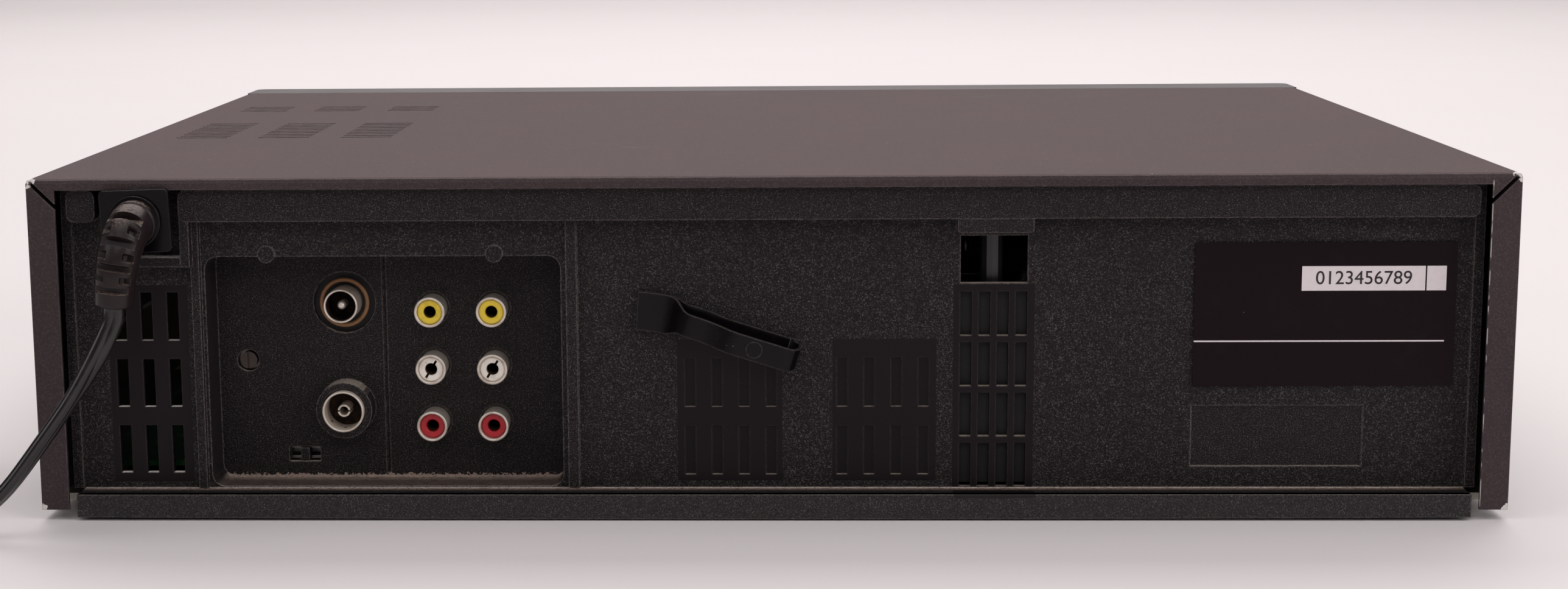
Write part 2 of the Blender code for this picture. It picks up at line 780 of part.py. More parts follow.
def smooth_route(route, step):
    """Evenly spaced points on a smooth curve through the route's points."""
    points = [Vector(place) for place in route]
    points = [2 * points[0] - points[1], *points, 2 * points[-1] - points[-2]]
    fine = []
    parts = 12
    for before, start, end, after in zip(points, points[1:], points[2:], points[3:]):
        for part in range(parts):
            t = part / parts
            fine.append(
                start
                + (end - before) * t / 2
                + (2 * before - 5 * start + 4 * end - after) * t**2 / 2
                + (3 * start - before - 3 * end + after) * t**3 / 2
            )
    fine.append(points[-2])
    lengths = [0]
    for one, other in zip(fine, fine[1:]):
        lengths.append(lengths[-1] + (other - one).length)
    count = max(2, round(lengths[-1] / step))
    picked = []
    for number in range(count + 1):
        want = lengths[-1] * number / count
        place = next(i for i, length in enumerate(lengths) if length >= want - MERGE)
        if place == 0:
            picked.append(fine[0])
            continue
        share = (want - lengths[place - 1]) / (lengths[place] - lengths[place - 1])
        picked.append(fine[place - 1].lerp(fine[place], share))
    return picked


# Case
def make_cover(rear):
    outer = box(
        "top_cover", (-HALF_WIDTH, -COVER_DEPTH, COVER_LIFT), (HALF_WIDTH, 0, COVER_TOP), rear
    )
    fold = outer.modifiers.new("Folded edges", "BEVEL")
    fold.width = FOLD_RADIUS
    fold.segments = 2
    fold.limit_method = "WEIGHT"
    soften_edges(outer, lambda middle: abs(middle.z - COVER_TOP) < MERGE and middle.y > -COVER_DEPTH + MERGE)
    inner_half = HALF_WIDTH - SHEET
    hollow = box(
        "cover_hollow",
        (-inner_half, -COVER_DEPTH - OVERRUN, COVER_LIFT - OVERRUN),
        (inner_half, -SHEET, COVER_TOP - SHEET),
        rear,
    )
    opening_half = HALF_WIDTH - FLANGE_WIDTH
    opening = box(
        "cover_rear_opening",
        (-opening_half, -SHEET - OVERRUN, COVER_LIFT - OVERRUN),
        (opening_half, OVERRUN, COVER_TOP - LIP_HEIGHT),
        rear,
    )
    cut(outer, hollow, opening, mitres(rear), cover_vents(rear), cover_screw_holes(rear))
    return finish(outer, DARK_PAINT)


def soften_edges(obj, chosen):
    """Marks the edges whose middle is chosen, for a bevel limited by weight."""
    mesh = obj.data
    weights = mesh.attributes.new("bevel_weight_edge", "FLOAT", "EDGE")
    for edge in mesh.edges:
        middle = (mesh.vertices[edge.vertices[0]].co + mesh.vertices[edge.vertices[1]].co) / 2
        if chosen(middle):
            weights.data[edge.index].value = 1


def mitres(rear):
    """The slanting gaps where the rear lip meets the side flanges."""
    shape = bmesh.new()
    run = FLANGE_WIDTH - SHEET + OVERRUN
    size = Vector((math.hypot(run, run), SHEET + 2 * OVERRUN, MITRE_GAP))
    for side in (-1, 1):
        middle = Vector((side * (HALF_WIDTH - SHEET - run / 2), -SHEET / 2, COVER_TOP - SHEET - run / 2))
        slope = Matrix.Rotation(-side * math.pi / 4, 3, "Y").to_quaternion()
        cube = bmesh.ops.create_cube(shape, size=1)
        bmesh.ops.transform(shape, matrix=Matrix.LocRotScale(middle, slope, size), verts=cube["verts"])
    return from_bmesh("cover_mitres", shape, rear)


def cover_vents(rear):
    """Cross slots over the power supply, in groups near the rear and further forward."""
    slots = []
    for start, count in ((NEAR_VENT_START, NEAR_VENT_SLOTS), (FAR_VENT_START, FAR_VENT_SLOTS)):
        for group in range(VENT_GROUPS):
            outside = HALF_WIDTH - VENT_GROUP_INSET - group * VENT_GROUP_PITCH
            for slot in range(count):
                y = -start - slot * VENT_SLOT_PITCH
                slots.append(
                    (
                        (outside, y, COVER_TOP - SHEET - OVERRUN),
                        (outside - VENT_GROUP_WIDTH, y - VENT_SLOT_WIDTH, COVER_TOP + OVERRUN),
                    )
                )
    return boxes("cover_vents", slots, rear)


def screw_places():
    """Name, side and distance forward of the rear for each cover screw."""
    for side, side_name in ((-1, "right"), (1, "left")):
        for end, end_name in ((SCREW_INSET, "rear"), (COVER_DEPTH - SCREW_INSET, "front")):
            yield f"cover_screw_{side_name}_{end_name}", side, -end


def cover_screw_holes(rear):
    ends = [
        (
            (side * (HALF_WIDTH + OVERRUN), y, SCREW_HEIGHT),
            (side * (HALF_WIDTH - SCREW_LENGTH - 2 * OVERRUN), y, SCREW_HEIGHT),
            SCREW_RADIUS + GAP,
        )
        for _, side, y in screw_places()
    ]
    return rods("cover_screw_holes", ends, rear, TINY_SIDES)


def make_cover_screws(rear):
    for name, side, y in screw_places():
        seat = side * (HALF_WIDTH + GAP)
        tip = side * (HALF_WIDTH - SCREW_LENGTH)
        outside = seat + side * SCREW_HEAD
        head = rod(name, (seat, y, SCREW_HEIGHT), (outside, y, SCREW_HEIGHT), SCREW_HEAD_RADIUS, rear)
        shank = rod(
            name + "_shank",
            (seat + side * SCREW_HEAD / 2, y, SCREW_HEIGHT),
            (tip, y, SCREW_HEIGHT),
            SCREW_RADIUS,
            rear,
            TINY_SIDES,
        )
        long = SCREW_CROSS_LENGTH / 2
        short = SCREW_CROSS_WIDTH / 2
        deep = outside - side * SCREW_CROSS_DEPTH
        clear = outside + side * OVERRUN
        across = box(
            name + "_slot_a",
            (deep, y - long, SCREW_HEIGHT - short),
            (clear, y + long, SCREW_HEIGHT + short),
            rear,
        )
        upright = box(
            name + "_slot_b",
            (deep, y - short, SCREW_HEIGHT - long),
            (clear, y + short, SCREW_HEIGHT + long),
            rear,
        )
        fuse(head, shank)
        cut(head, across, upright)
        finish(head, STEEL)


def foot_places():
    for side, side_name in ((-1, "right"), (1, "left")):
        for y, end_name in ((-FOOT_INSET, "rear"), (FOOT_INSET - COVER_DEPTH, "front")):
            yield f"foot_{side_name}_{end_name}", side * (HALF_WIDTH - FOOT_INSET), y


def make_feet(rear):
    for name, x, y in foot_places():
        pad = rod(name, (x, y, 0), (x, y, FLOOR_LIFT - GAP), FOOT_RADIUS, rear)
        stem = rod(
            name + "_stem",
            (x, y, FLOOR_LIFT / 2),
            (x, y, FLOOR_TOP + FOOT_STEM_RISE),
            FOOT_STEM_RADIUS,
            rear,
            TINY_SIDES,
        )
        finish(fuse(pad, stem), RUBBER)


def pillar_places():
    """Where the deck's corners rest, in the rear frame."""
    front = DECK_FRONT + PILLAR_INSET - COVER_DEPTH
    back = DECK_REAR - PILLAR_INSET - COVER_DEPTH
    for side in (-1, 1):
        for y in (front, back):
            yield DOOR_CENTRE_X + side * (DECK_HALF_WIDTH - PILLAR_INSET), y


def board_post_places():
    front = BOARD_MARGIN + PILLAR_INSET - COVER_DEPTH
    back = -BOARD_REAR_CLEARANCE - PILLAR_INSET
    side_x = HALF_WIDTH - BOARD_MARGIN - PILLAR_INSET - CHASSIS_WALL
    for x in (-side_x, side_x):
        for y in (front, back):
            yield x, y


def make_chassis(rear):
    half = HALF_WIDTH - SHEET - GAP
    front = GAP - COVER_DEPTH
    back = PANEL_BACK - GAP
    floor = box("bottom_chassis", (-half, front, FLOOR_LIFT), (half, back, FLOOR_TOP), rear)
    wall_top = FLOOR_LIFT + CHASSIS_WALL_HEIGHT
    for side in (-1, 1):
        wall = box(
            f"chassis_wall_{side}",
            (side * half, front, FLOOR_LIFT),
            (side * (half - CHASSIS_WALL), back, wall_top),
            rear,
        )
        fuse(floor, wall)
    sunk = FLOOR_TOP - FLOOR / 2
    pillars = [
        ((x, y, sunk), (x, y, DECK_TOP - DECK_PLATE - GAP), PILLAR_RADIUS) for x, y in pillar_places()
    ]
    posts = [((x, y, sunk), (x, y, BOARD_LIFT - GAP), BOARD_POST_RADIUS) for x, y in board_post_places()]
    window_x = (WINDOW_X[0] + WINDOW_X[1]) / 2
    window_y = PANEL_BACK - 2 * WINDOW_POST_RADIUS
    window_post = ((window_x, window_y, sunk), (window_x, window_y, WINDOW_POST_TOP), WINDOW_POST_RADIUS)
    fuse(floor, rods("chassis_posts", pillars + posts + [window_post], rear, TINY_SIDES))
    stem_holes = [
        ((x, y, FLOOR_LIFT - OVERRUN), (x, y, FLOOR_TOP + OVERRUN), FOOT_STEM_RADIUS + GAP)
        for _, x, y in foot_places()
    ]
    cut(floor, rods("foot_holes", stem_holes, rear, TINY_SIDES), cover_screw_holes(rear), chassis_slots(rear))
    return finish(floor, BLACK_PLASTIC)


def chassis_slots(rear):
    """Air slots in the floor, under the power supply."""
    right = HALF_WIDTH - SUPPLY_SIDE_INSET - SUPPLY_WIDTH / 2
    start = -SUPPLY_REAR_INSET - SUPPLY_DEPTH / 2
    slots = []
    for number in range(CHASSIS_SLOTS):
        y = start + (number - (CHASSIS_SLOTS - 1) / 2) * CHASSIS_SLOT_PITCH
        slots.append(
            (
                (right - CHASSIS_SLOT_LENGTH / 2, y - CHASSIS_SLOT_WIDTH / 2, FLOOR_LIFT - OVERRUN),
                (right + CHASSIS_SLOT_LENGTH / 2, y + CHASSIS_SLOT_WIDTH / 2, FLOOR_TOP + OVERRUN),
            )
        )
    return boxes("chassis_slots", slots, rear)


# Rear panel
def make_rear_panel(rear):
    low = (-PANEL_HALF, PANEL_BACK, RAIL_LIFT)
    panel = box("rear_panel", low, (PANEL_HALF, -FACE_DEPTH, PANEL_TOP), rear)
    fuse(panel, *panel_bands(rear), bay_tub(rear))
    cut(panel, bay_hollow(rear))
    fuse(panel, bay_tabs(rear), input_collar(rear))
    cut(panel, panel_recesses(rear), panel_openings(rear), panel_round_holes(rear), collar_bore(rear))
    return finish(panel, BLACK_PLASTIC)


def panel_bands(rear):
    """Raised bands, blocks, ridges and the bottom rail in front of the panel's face."""
    root = -FACE_DEPTH - PANEL_WALL / 2
    pocket_left = PANEL_HALF - CORNER_BLOCK_WIDTH
    pocket_right = pocket_left - POCKET_WIDTH
    pocket_floor = PANEL_TOP - POCKET_DROP
    band = slab(
        "panel_band",
        rounded((-PANEL_HALF, BAND_BOTTOM), (pocket_right, PANEL_TOP), PANEL_CORNER),
        root,
        -BAND_DEPTH,
        rear,
        "Y",
    )
    corner = slab(
        "panel_corner_block",
        rounded((pocket_left, BAND_BOTTOM), (PANEL_HALF, PANEL_TOP), PANEL_CORNER),
        root,
        -BAND_DEPTH,
        rear,
        "Y",
    )
    frame_side = box(
        "pocket_frame_side",
        (pocket_right - POCKET_FRAME, root, POCKET_FRAME_BOTTOM),
        (pocket_right, -BAND_DEPTH - GAP, PANEL_TOP - PANEL_CORNER),
        rear,
    )
    frame_foot = box(
        "pocket_frame_foot",
        (pocket_right - POCKET_FRAME / 2, root, POCKET_FRAME_BOTTOM),
        (pocket_left, -BAND_DEPTH - 2 * GAP, pocket_floor),
        rear,
    )
    tab = slab(
        "window_tab",
        rounded(
            (WINDOW_X[0] + TAB_MARGIN, BAND_BOTTOM - TAB_DROP),
            (WINDOW_X[1] - TAB_MARGIN, PANEL_TOP - PANEL_CORNER),
            PANEL_CORNER / 2,
        ),
        root,
        -BAND_DEPTH - GAP,
        rear,
        "Y",
    )
    rail = slab(
        "bottom_rail",
        rounded((-PANEL_HALF, RAIL_LIFT), (PANEL_HALF, LEDGE_Z), PANEL_CORNER / 4),
        root,
        RAIL_PROUD,
        rear,
        "Y",
    )
    ridge_left = PANEL_HALF - LEFT_RIDGE_INSET
    left_ridge = box(
        "left_ridge",
        (ridge_left, root, LEDGE_Z - OVERRUN),
        (ridge_left - RIDGE_WIDTH, -RIDGE_DEPTH, BAND_BOTTOM + OVERRUN),
        rear,
    )
    right_start = BAY_RIGHT - BAY_WALL
    right_ridge = box(
        "right_ridge",
        (right_start, root, LEDGE_Z - OVERRUN),
        (right_start - RIGHT_RIDGE_WIDTH, -RIDGE_DEPTH - GAP, BAND_BOTTOM + OVERRUN),
        rear,
    )
    return band, corner, frame_side, frame_foot, tab, rail, left_ridge, right_ridge


def bay_tub(rear):
    """The walls and floor of the connector bay, behind the panel."""
    return box(
        "bay_tub",
        (BAY_LEFT + BAY_WALL, BAY_BACK, LEDGE_Z - BAY_WALL),
        (BAY_RIGHT - BAY_WALL, -FACE_DEPTH - PANEL_WALL / 2, BAY_TOP + BAY_WALL),
        rear,
    )


def bay_hollow(rear):
    return slab(
        "bay_hollow",
        rounded((BAY_LEFT, LEDGE_Z + GAP), (BAY_RIGHT, BAY_TOP), BAY_CORNER),
        BAY_FLOOR,
        OVERRUN - FACE_DEPTH,
        rear,
        "Y",
    )


def bay_tabs(rear):
    """Two half-round tabs at the top of the bay."""
    first = BAY_LEFT - BAY_TAB_INSET
    z = BAY_TOP + BAY_TAB_RADIUS / 4
    ends = [
        ((x, -FACE_DEPTH - BAY_TAB_DEPTH, z), (x, GAP - FACE_DEPTH, z), BAY_TAB_RADIUS)
        for x in (first, first - BAY_TAB_SPACING)
    ]
    return rods("bay_tabs", ends, rear)


def input_collar(rear):
    x, z = AERIAL_IN
    start = (x, BAY_FLOOR - BAY_WALL / 2, z)
    end = (x, BAY_FLOOR + COLLAR_PROUD, z)
    return rod("input_collar", start, end, COLLAR_RADIUS, rear, ROUND_SIDES)


def collar_bore(rear):
    x, z = AERIAL_IN
    start = (x, BAY_BACK - OVERRUN, z)
    end = (x, BAY_FLOOR + COLLAR_PROUD + OVERRUN, z)
    return rod("input_collar_bore", start, end, IN_SHELL_RADIUS + GAP, rear, ROUND_SIDES)


def grid(x, z, width, height, pitch, rise, columns, rows, back, front):
    """Boxes in columns, which run towards -X, and rows, which run up."""
    found = []
    for column in range(columns):
        middle = x - column * pitch
        for row in range(rows):
            low = z + row * rise
            found.append(((middle - width / 2, back, low), (middle + width / 2, front, low + height)))
    return found


def panel_recesses(rear):
    """Blind vents, the plain framed patch and the groove between the two halves of the bay's floor."""
    face = -FACE_DEPTH
    found = []
    for inset in BLIND_INSETS:
        found += grid(
            BAY_RIGHT - inset,
            LEDGE_Z + BLIND_LIFT,
            BLIND_WIDTH,
            BLIND_HEIGHT,
            BLIND_PITCH,
            BLIND_RISE,
            BLIND_COLUMN_COUNT,
            BLIND_ROW_COUNT,
            face - BLIND_DEPTH,
            OVERRUN,
        )
    patch_left = LABEL_INSET + LABEL_WIDTH - PANEL_HALF
    low = LEDGE_Z + PATCH_LIFT
    patch_right = patch_left - PATCH_WIDTH
    found.append(((patch_left, face - PATCH_DEPTH, low), (patch_right, OVERRUN, low + PATCH_HEIGHT)))
    groove = BAY_LEFT - DIVIDER_X
    found.append(
        (
            (groove, BAY_FLOOR - DIVIDER_DEPTH, LEDGE_Z + DIVIDER_WIDTH),
            (groove - DIVIDER_WIDTH, -FACE_DEPTH, BAY_TOP - DIVIDER_WIDTH),
        )
    )
    return boxes("panel_recesses", found, rear)


def panel_openings(rear):
    """Vents, the window over them, the notch for the strain relief and the slot of the slide switch."""
    back = PANEL_BACK - OVERRUN
    found = grid(
        PANEL_HALF - LEFT_VENT_INSET,
        LEFT_VENT_LOW,
        LEFT_VENT_WIDTH,
        LEFT_VENT_RISE - LEFT_VENT_BAR,
        LEFT_VENT_PITCH,
        LEFT_VENT_RISE,
        LEFT_VENT_COUNT,
        LEFT_VENT_COUNT,
        back,
        OVERRUN,
    )
    found += grid(
        RIGHT_VENT_X,
        RIGHT_VENT_LOW,
        RIGHT_VENT_WIDTH,
        RIGHT_VENT_RISE - RIGHT_VENT_BAR,
        RIGHT_VENT_PITCH,
        RIGHT_VENT_RISE,
        RIGHT_VENT_COUNT,
        RIGHT_VENT_COUNT,
        back,
        OVERRUN,
    )
    found.append(((WINDOW_X[0], back, WINDOW_TOP - WINDOW_HEIGHT), (WINDOW_X[1], OVERRUN, WINDOW_TOP)))
    neck_half = NECK_WIDTH / 2 + GAP
    neck_x = PANEL_HALF - NECK_INSET
    found.append(
        (
            (neck_x - neck_half, back, PANEL_TOP - NECK_DROP - GAP),
            (neck_x + neck_half, OVERRUN, PANEL_TOP + OVERRUN),
        )
    )
    x, z = SWITCH
    found.append(
        (
            (x - SWITCH_WIDTH / 2, BAY_BACK - OVERRUN, z - SWITCH_HEIGHT / 2),
            (x + SWITCH_WIDTH / 2, BAY_FLOOR + OVERRUN, z + SWITCH_HEIGHT / 2),
        )
    )
    return boxes("panel_openings", found, rear)


def jack_places():
    """Name, x and z of each pin jack, from the top row down."""
    x, z = JACK_CENTRE
    for row, colour in enumerate(JACK_COLOURS):
        for column, side in enumerate(JACK_COLUMNS):
            across = x + (0.5 - column) * JACK_PITCH_X
            yield f"jack_shell_{colour}_{side}", across, z + (1 - row) * JACK_PITCH_Z


def panel_round_holes(rear):
    """Holes in the bay's floor for the connectors, and the strap's hole in the panel."""
    low = BAY_BACK - OVERRUN
    high = BAY_FLOOR + OVERRUN
    radius = JACK_RADIUS + JACK_HOLE_CLEARANCE
    ends = [((x, low, z), (x, high, z), radius) for _, x, z in jack_places()]
    for (x, z), hole in ((AERIAL_OUT, AERIAL_HOLE_RADIUS), (ADJUSTER, ADJUSTER_HOLE_RADIUS)):
        ends.append(((x, low, z), (x, high, z), hole))
    x, z = STRAP_ROOT
    ends.append(((x, PANEL_BACK - OVERRUN, z), (x, OVERRUN, z), STRAP_STEM_RADIUS + GAP))
    return rods("panel_round_holes", ends, rear)


def make_label(rear):
    right = LABEL_INSET - PANEL_HALF
    high = BAND_BOTTOM - LABEL_DROP
    label = box(
        "rating_label",
        (right, GAP - FACE_DEPTH, high - LABEL_HEIGHT),
        (right + LABEL_WIDTH, GAP + LABEL_THICK - FACE_DEPTH, high),
        rear,
    )
    return finish(label, GLOSS_BLACK)


# Connectors
def make_aerial_output(rear):
    """A plated shell with a flange, and its centre pin on an insulating disc."""
    x, z = AERIAL_OUT
    inner = OUT_SHELL_RADIUS - OUT_SHELL_WALL
    depth = OUT_SHELL_PROUD + BAY_WALL
    profile = [
        (OUT_SHELL_RADIUS, 0),
        (OUT_SHELL_RADIUS, -depth),
        (OUT_FLANGE_RADIUS, -depth),
        (OUT_FLANGE_RADIUS, -depth - OUT_FLANGE),
        (inner, -depth - OUT_FLANGE),
        (inner, 0),
    ]
    end = BAY_FLOOR + OUT_SHELL_PROUD
    finish(turned("rf_out_shell", profile, (x, end, z), (0, 1, 0), rear), NICKEL)
    disc = inner - GAP
    pin = [
        (0, -OUT_PIN_SHORT),
        (OUT_PIN_RADIUS / 2, -OUT_PIN_SHORT),
        (OUT_PIN_RADIUS, -OUT_PIN_SHORT - OUT_PIN_RADIUS / 2),
        (OUT_PIN_RADIUS, -depth + INSULATOR),
        (disc, -depth + INSULATOR),
        (disc, -depth - OUT_FLANGE),
        (0, -depth - OUT_FLANGE),
    ]
    finish(turned("rf_out_pin", pin, (x, end, z), (0, 1, 0), rear, SMALL_SIDES), NICKEL)


def make_aerial_input(rear):
    """A plated shell, and its split contact on an insulating disc."""
    x, z = AERIAL_IN
    inner = IN_SHELL_RADIUS - IN_SHELL_WALL
    end = BAY_FLOOR + IN_SHELL_PROUD
    depth = IN_SHELL_PROUD + BAY_WALL + OUT_FLANGE
    ring = ring_profile(IN_SHELL_RADIUS, inner, -depth, 0)
    shell = turned("rf_in_shell", ring, (x, end, z), (0, 1, 0), rear)
    finish(shell, NICKEL)
    bore = IN_CONTACT_RADIUS - IN_CONTACT_WALL
    disc = inner - GAP
    profile = [
        (IN_CONTACT_RADIUS, -IN_CONTACT_SHORT),
        (IN_CONTACT_RADIUS, -depth + INSULATOR),
        (disc, -depth + INSULATOR),
        (disc, -depth),
        (bore, -depth),
        (bore, -IN_CONTACT_SHORT),
    ]
    contact = turned("rf_in_contact", profile, (x, end, z), (0, 1, 0), rear, SMALL_SIDES)
    slit = box(
        "contact_slit",
        (x - 2 * IN_CONTACT_RADIUS, end - depth + 2 * INSULATOR, z - IN_CONTACT_SLIT / 2),
        (x + 2 * IN_CONTACT_RADIUS, end, z + IN_CONTACT_SLIT / 2),
        rear,
    )
    finish(cut(contact, slit), NICKEL)


def make_modulator(rear):
    """The metal can behind the bay, with clearance for the adjusting screw and the switch."""
    right = BAY_LEFT - DIVIDER_X
    left = right + CAN_WIDTH
    low = LEDGE_Z + CAN_MARGIN
    can = box("rf_modulator", (right, CAN_FACE, low), (left, CAN_FACE - CAN_DEPTH, low + CAN_HEIGHT), rear)
    x, z = ADJUSTER
    depth = CAN_FACE - STEM_LENGTH - OVERRUN
    bore = ADJUSTER_STEM_RADIUS + GAP
    hole = rod("adjuster_bore", (x, depth, z), (x, CAN_FACE + OVERRUN, z), bore, rear, TINY_SIDES)
    x, z = SWITCH
    half = SWITCH_WIDTH / 2
    slot = box(
        "switch_slot",
        (x - half, depth, z - KNOB_STEM / 2 - GAP),
        (x + half, CAN_FACE + OVERRUN, z + KNOB_STEM / 2 + GAP),
        rear,
    )
    finish(cut(can, hole, slot), STEEL)


def make_switch_knob(rear):
    x, z = SWITCH
    knob = box(
        "rf_select_knob",
        (x - KNOB_WIDTH / 2, CAN_FACE + GAP, z - KNOB_HEIGHT / 2),
        (x + KNOB_WIDTH / 2, BAY_FLOOR - GAP, z + KNOB_HEIGHT / 2),
        rear,
    )
    stem = box(
        "knob_stem",
        (x - KNOB_STEM / 2, CAN_FACE - STEM_LENGTH, z - KNOB_STEM / 2),
        (x + KNOB_STEM / 2, BAY_FLOOR - 2 * GAP, z + KNOB_STEM / 2),
        rear,
    )
    finish(fuse(knob, stem), BLACK_PLASTIC, (x, BAY_FLOOR, z))


def make_adjuster(rear):
    x, z = ADJUSTER
    face = BAY_FLOOR - GAP
    disc = rod("channel_adjuster", (x, CAN_FACE + GAP, z), (x, face, z), ADJUSTER_RADIUS, rear)
    root = (x, CAN_FACE - STEM_LENGTH, z)
    stem = rod("adjuster_stem", root, (x, face - GAP, z), ADJUSTER_STEM_RADIUS, rear, TINY_SIDES)
    half = ADJUSTER_SLOT_WIDTH / 2
    slot = box(
        "adjuster_slot",
        (x - half, face - ADJUSTER_SLOT_DEPTH, z - 2 * ADJUSTER_RADIUS),
        (x + half, face + OVERRUN, z + 2 * ADJUSTER_RADIUS),
        rear,
    )
    fuse(disc, stem)
    finish(cut(disc, slot), BRASS, (x, BAY_FLOOR, z))


def make_jacks(rear):
    """Six plated sleeves, a coloured insert for each pair, and the block that carries them."""
    end = BAY_FLOOR + JACK_PROUD
    depth = JACK_PROUD + BAY_WALL + GAP
    inner = JACK_RADIUS - JACK_WALL
    back = BAY_FLOOR - BAY_WALL - GAP - JACK_FLANGE
    profile = [
        (JACK_RADIUS - JACK_WALL / 2, 0),
        (JACK_RADIUS, -JACK_WALL / 2),
        (JACK_RADIUS, -depth),
        (JACK_FLANGE_RADIUS, -depth),
        (JACK_FLANGE_RADIUS, -depth - JACK_FLANGE),
        (inner, -depth - JACK_FLANGE),
        (inner, 0),
    ]
    places = {name: (x, z) for name, x, z in jack_places()}
    for name, (x, z) in places.items():
        finish(turned(name, profile, (x, end, z), (0, 1, 0), rear, SMALL_SIDES), NICKEL)
    bar_front = back - GAP
    bar_back = bar_front - INSERT_BAR
    for colour, paint in JACK_COLOURS.items():
        pair = [places[f"jack_shell_{colour}_{side}"] for side in JACK_COLUMNS]
        z = pair[0][1]
        bar = box(
            f"jack_insert_{colour}",
            (pair[0][0], bar_back, z - INSERT_BAR_WIDTH / 2),
            (pair[1][0], bar_front, z + INSERT_BAR_WIDTH / 2),
            rear,
        )
        sleeves = [((x, bar_back, z), (x, end - INSERT_SHORT, z), inner - GAP) for x, z in pair]
        bores = [
            ((x, bar_back - OVERRUN, z), (x, end + OVERRUN, z), INSERT_BORE_RADIUS) for x, z in pair
        ]
        fuse(bar, rods(f"insert_sleeves_{colour}", sleeves, rear))
        cut(bar, rods(f"insert_bores_{colour}", bores, rear, TINY_SIDES))
        finish(bar, (paint, 0.35, 0.0))
    x, z = JACK_CENTRE
    half_width = JACK_PITCH_X / 2 + BLOCK_MARGIN
    half_height = JACK_PITCH_Z + BLOCK_MARGIN
    face = bar_back - GAP
    block = box(
        "jack_block",
        (x - half_width, face, z - half_height),
        (x + half_width, face - BLOCK_DEPTH, z + half_height),
        rear,
    )
    finish(block, BLACK_PLASTIC)


# Strain relief, cord, coil and plug
def make_strain_relief(rear):
    """The plate and its neck in the panel's notch, and the ribbed boot that the cord comes out of."""
    x, z = NECK
    back = GAP
    front = back + PLATE_THICK
    corner = (PLATE_WIDTH / 2, PLATE_HEIGHT / 2)
    outline = rounded((-corner[0], -corner[1]), corner, PLATE_CORNER)
    turn = Matrix.Rotation(PLATE_TILT, 2)
    tilted = [tuple(Vector((x, z)) + turn @ Vector(point)) for point in outline]
    plate = slab("strain_relief", tilted, back, front, rear, "Y")
    half = NECK_WIDTH / 2
    neck_back = PANEL_BACK - GAP - NECK_FLANGE
    neck = box(
        "strain_relief_neck",
        (x - half, neck_back, PANEL_TOP - NECK_DROP),
        (x + half, (back + front) / 2, PANEL_TOP - NECK_DROP + NECK_WIDTH),
        rear,
    )
    rim = half + NECK_FLANGE_MARGIN
    flange = box(
        "strain_relief_flange",
        (x - rim, neck_back, PANEL_TOP - NECK_DROP - NECK_FLANGE_MARGIN),
        (x + rim, neck_back + NECK_FLANGE, PANEL_TOP - NECK_DROP + NECK_WIDTH),
        rear,
    )
    start = boot_route()[0]
    collar = rod(
        "strain_relief_collar",
        (start.x, (back + front) / 2, start.z),
        (start.x, front + BOOT_COLLAR, start.z),
        BOOT_COLLAR_RADIUS,
        rear,
    )
    finish(fuse(plate, neck, flange, collar, boot(rear)), GLOSS_BLACK)


def boot_route():
    """The route of the boot's centre line, in the rear frame."""
    x, z = NECK
    return [
        Vector((x + across * BOOT_DRIFT, out * BOOT_REACH, z - down * BOOT_DROP))
        for across, out, down in BOOT_ROUTE_SHARES
    ]


def boot(rear):
    """A tapering bent tube with a groove between each two ribs."""
    points = smooth_route(boot_route(), BOOT_STEP)
    count = len(points) - 1
    curve = bpy.data.curves.new("boot", "CURVE")
    curve.dimensions = "3D"
    curve.bevel_depth = BOOT_ROOT_RADIUS
    curve.bevel_resolution = 3
    curve.use_fill_caps = True
    spline = curve.splines.new("POLY")
    spline.points.add(count)
    for number, (point, place) in enumerate(zip(spline.points, points)):
        radius = BOOT_ROOT_RADIUS + (BOOT_TIP_RADIUS - BOOT_ROOT_RADIUS) * number / count
        from_tip = (count - number) % BOOT_RIB_STEPS
        in_groove = number > BOOT_RIB_STEPS and from_tip >= BOOT_RIB_STEPS - BOOT_GROOVE_STEPS
        point.co = (*place, 1)
        point.radius = (radius - (BOOT_GROOVE if in_groove else 0)) / BOOT_ROOT_RADIUS
    return solid_from_curve("boot", curve, Matrix.Identity(4), rear)


def make_cord(rear):
    """From the strain relief down to the table and on to the coil, straight for a little at each end."""
    tip = boot_route()[-1]
    heading = (tip - boot_route()[-2]).normalized()
    straight = 2 * CORD_RADIUS
    end = Vector((COIL_X - straight - GAP, COIL_Y + COIL_RADIUS, CORD_LIE))
    start = tip + heading * GAP
    low = end - Vector((straight, 0, 0))
    high = start + heading * straight
    way = low - high
    route = [high + Vector(share) * way for share in CORD_ROUTE_SHARES]
    points = [start, *smooth_route(route, CORD_STEP), end]
    finish(tube("mains_cord", points, CORD_RADIUS, 2, rear), BLACK_PLASTIC)
    length = sum((other - one).length for one, other in zip(points, points[1:]))
    print(f"free cord: {length:.3f} m, lowest point {min(point.z for point in points) - CORD_RADIUS:.5f} m")


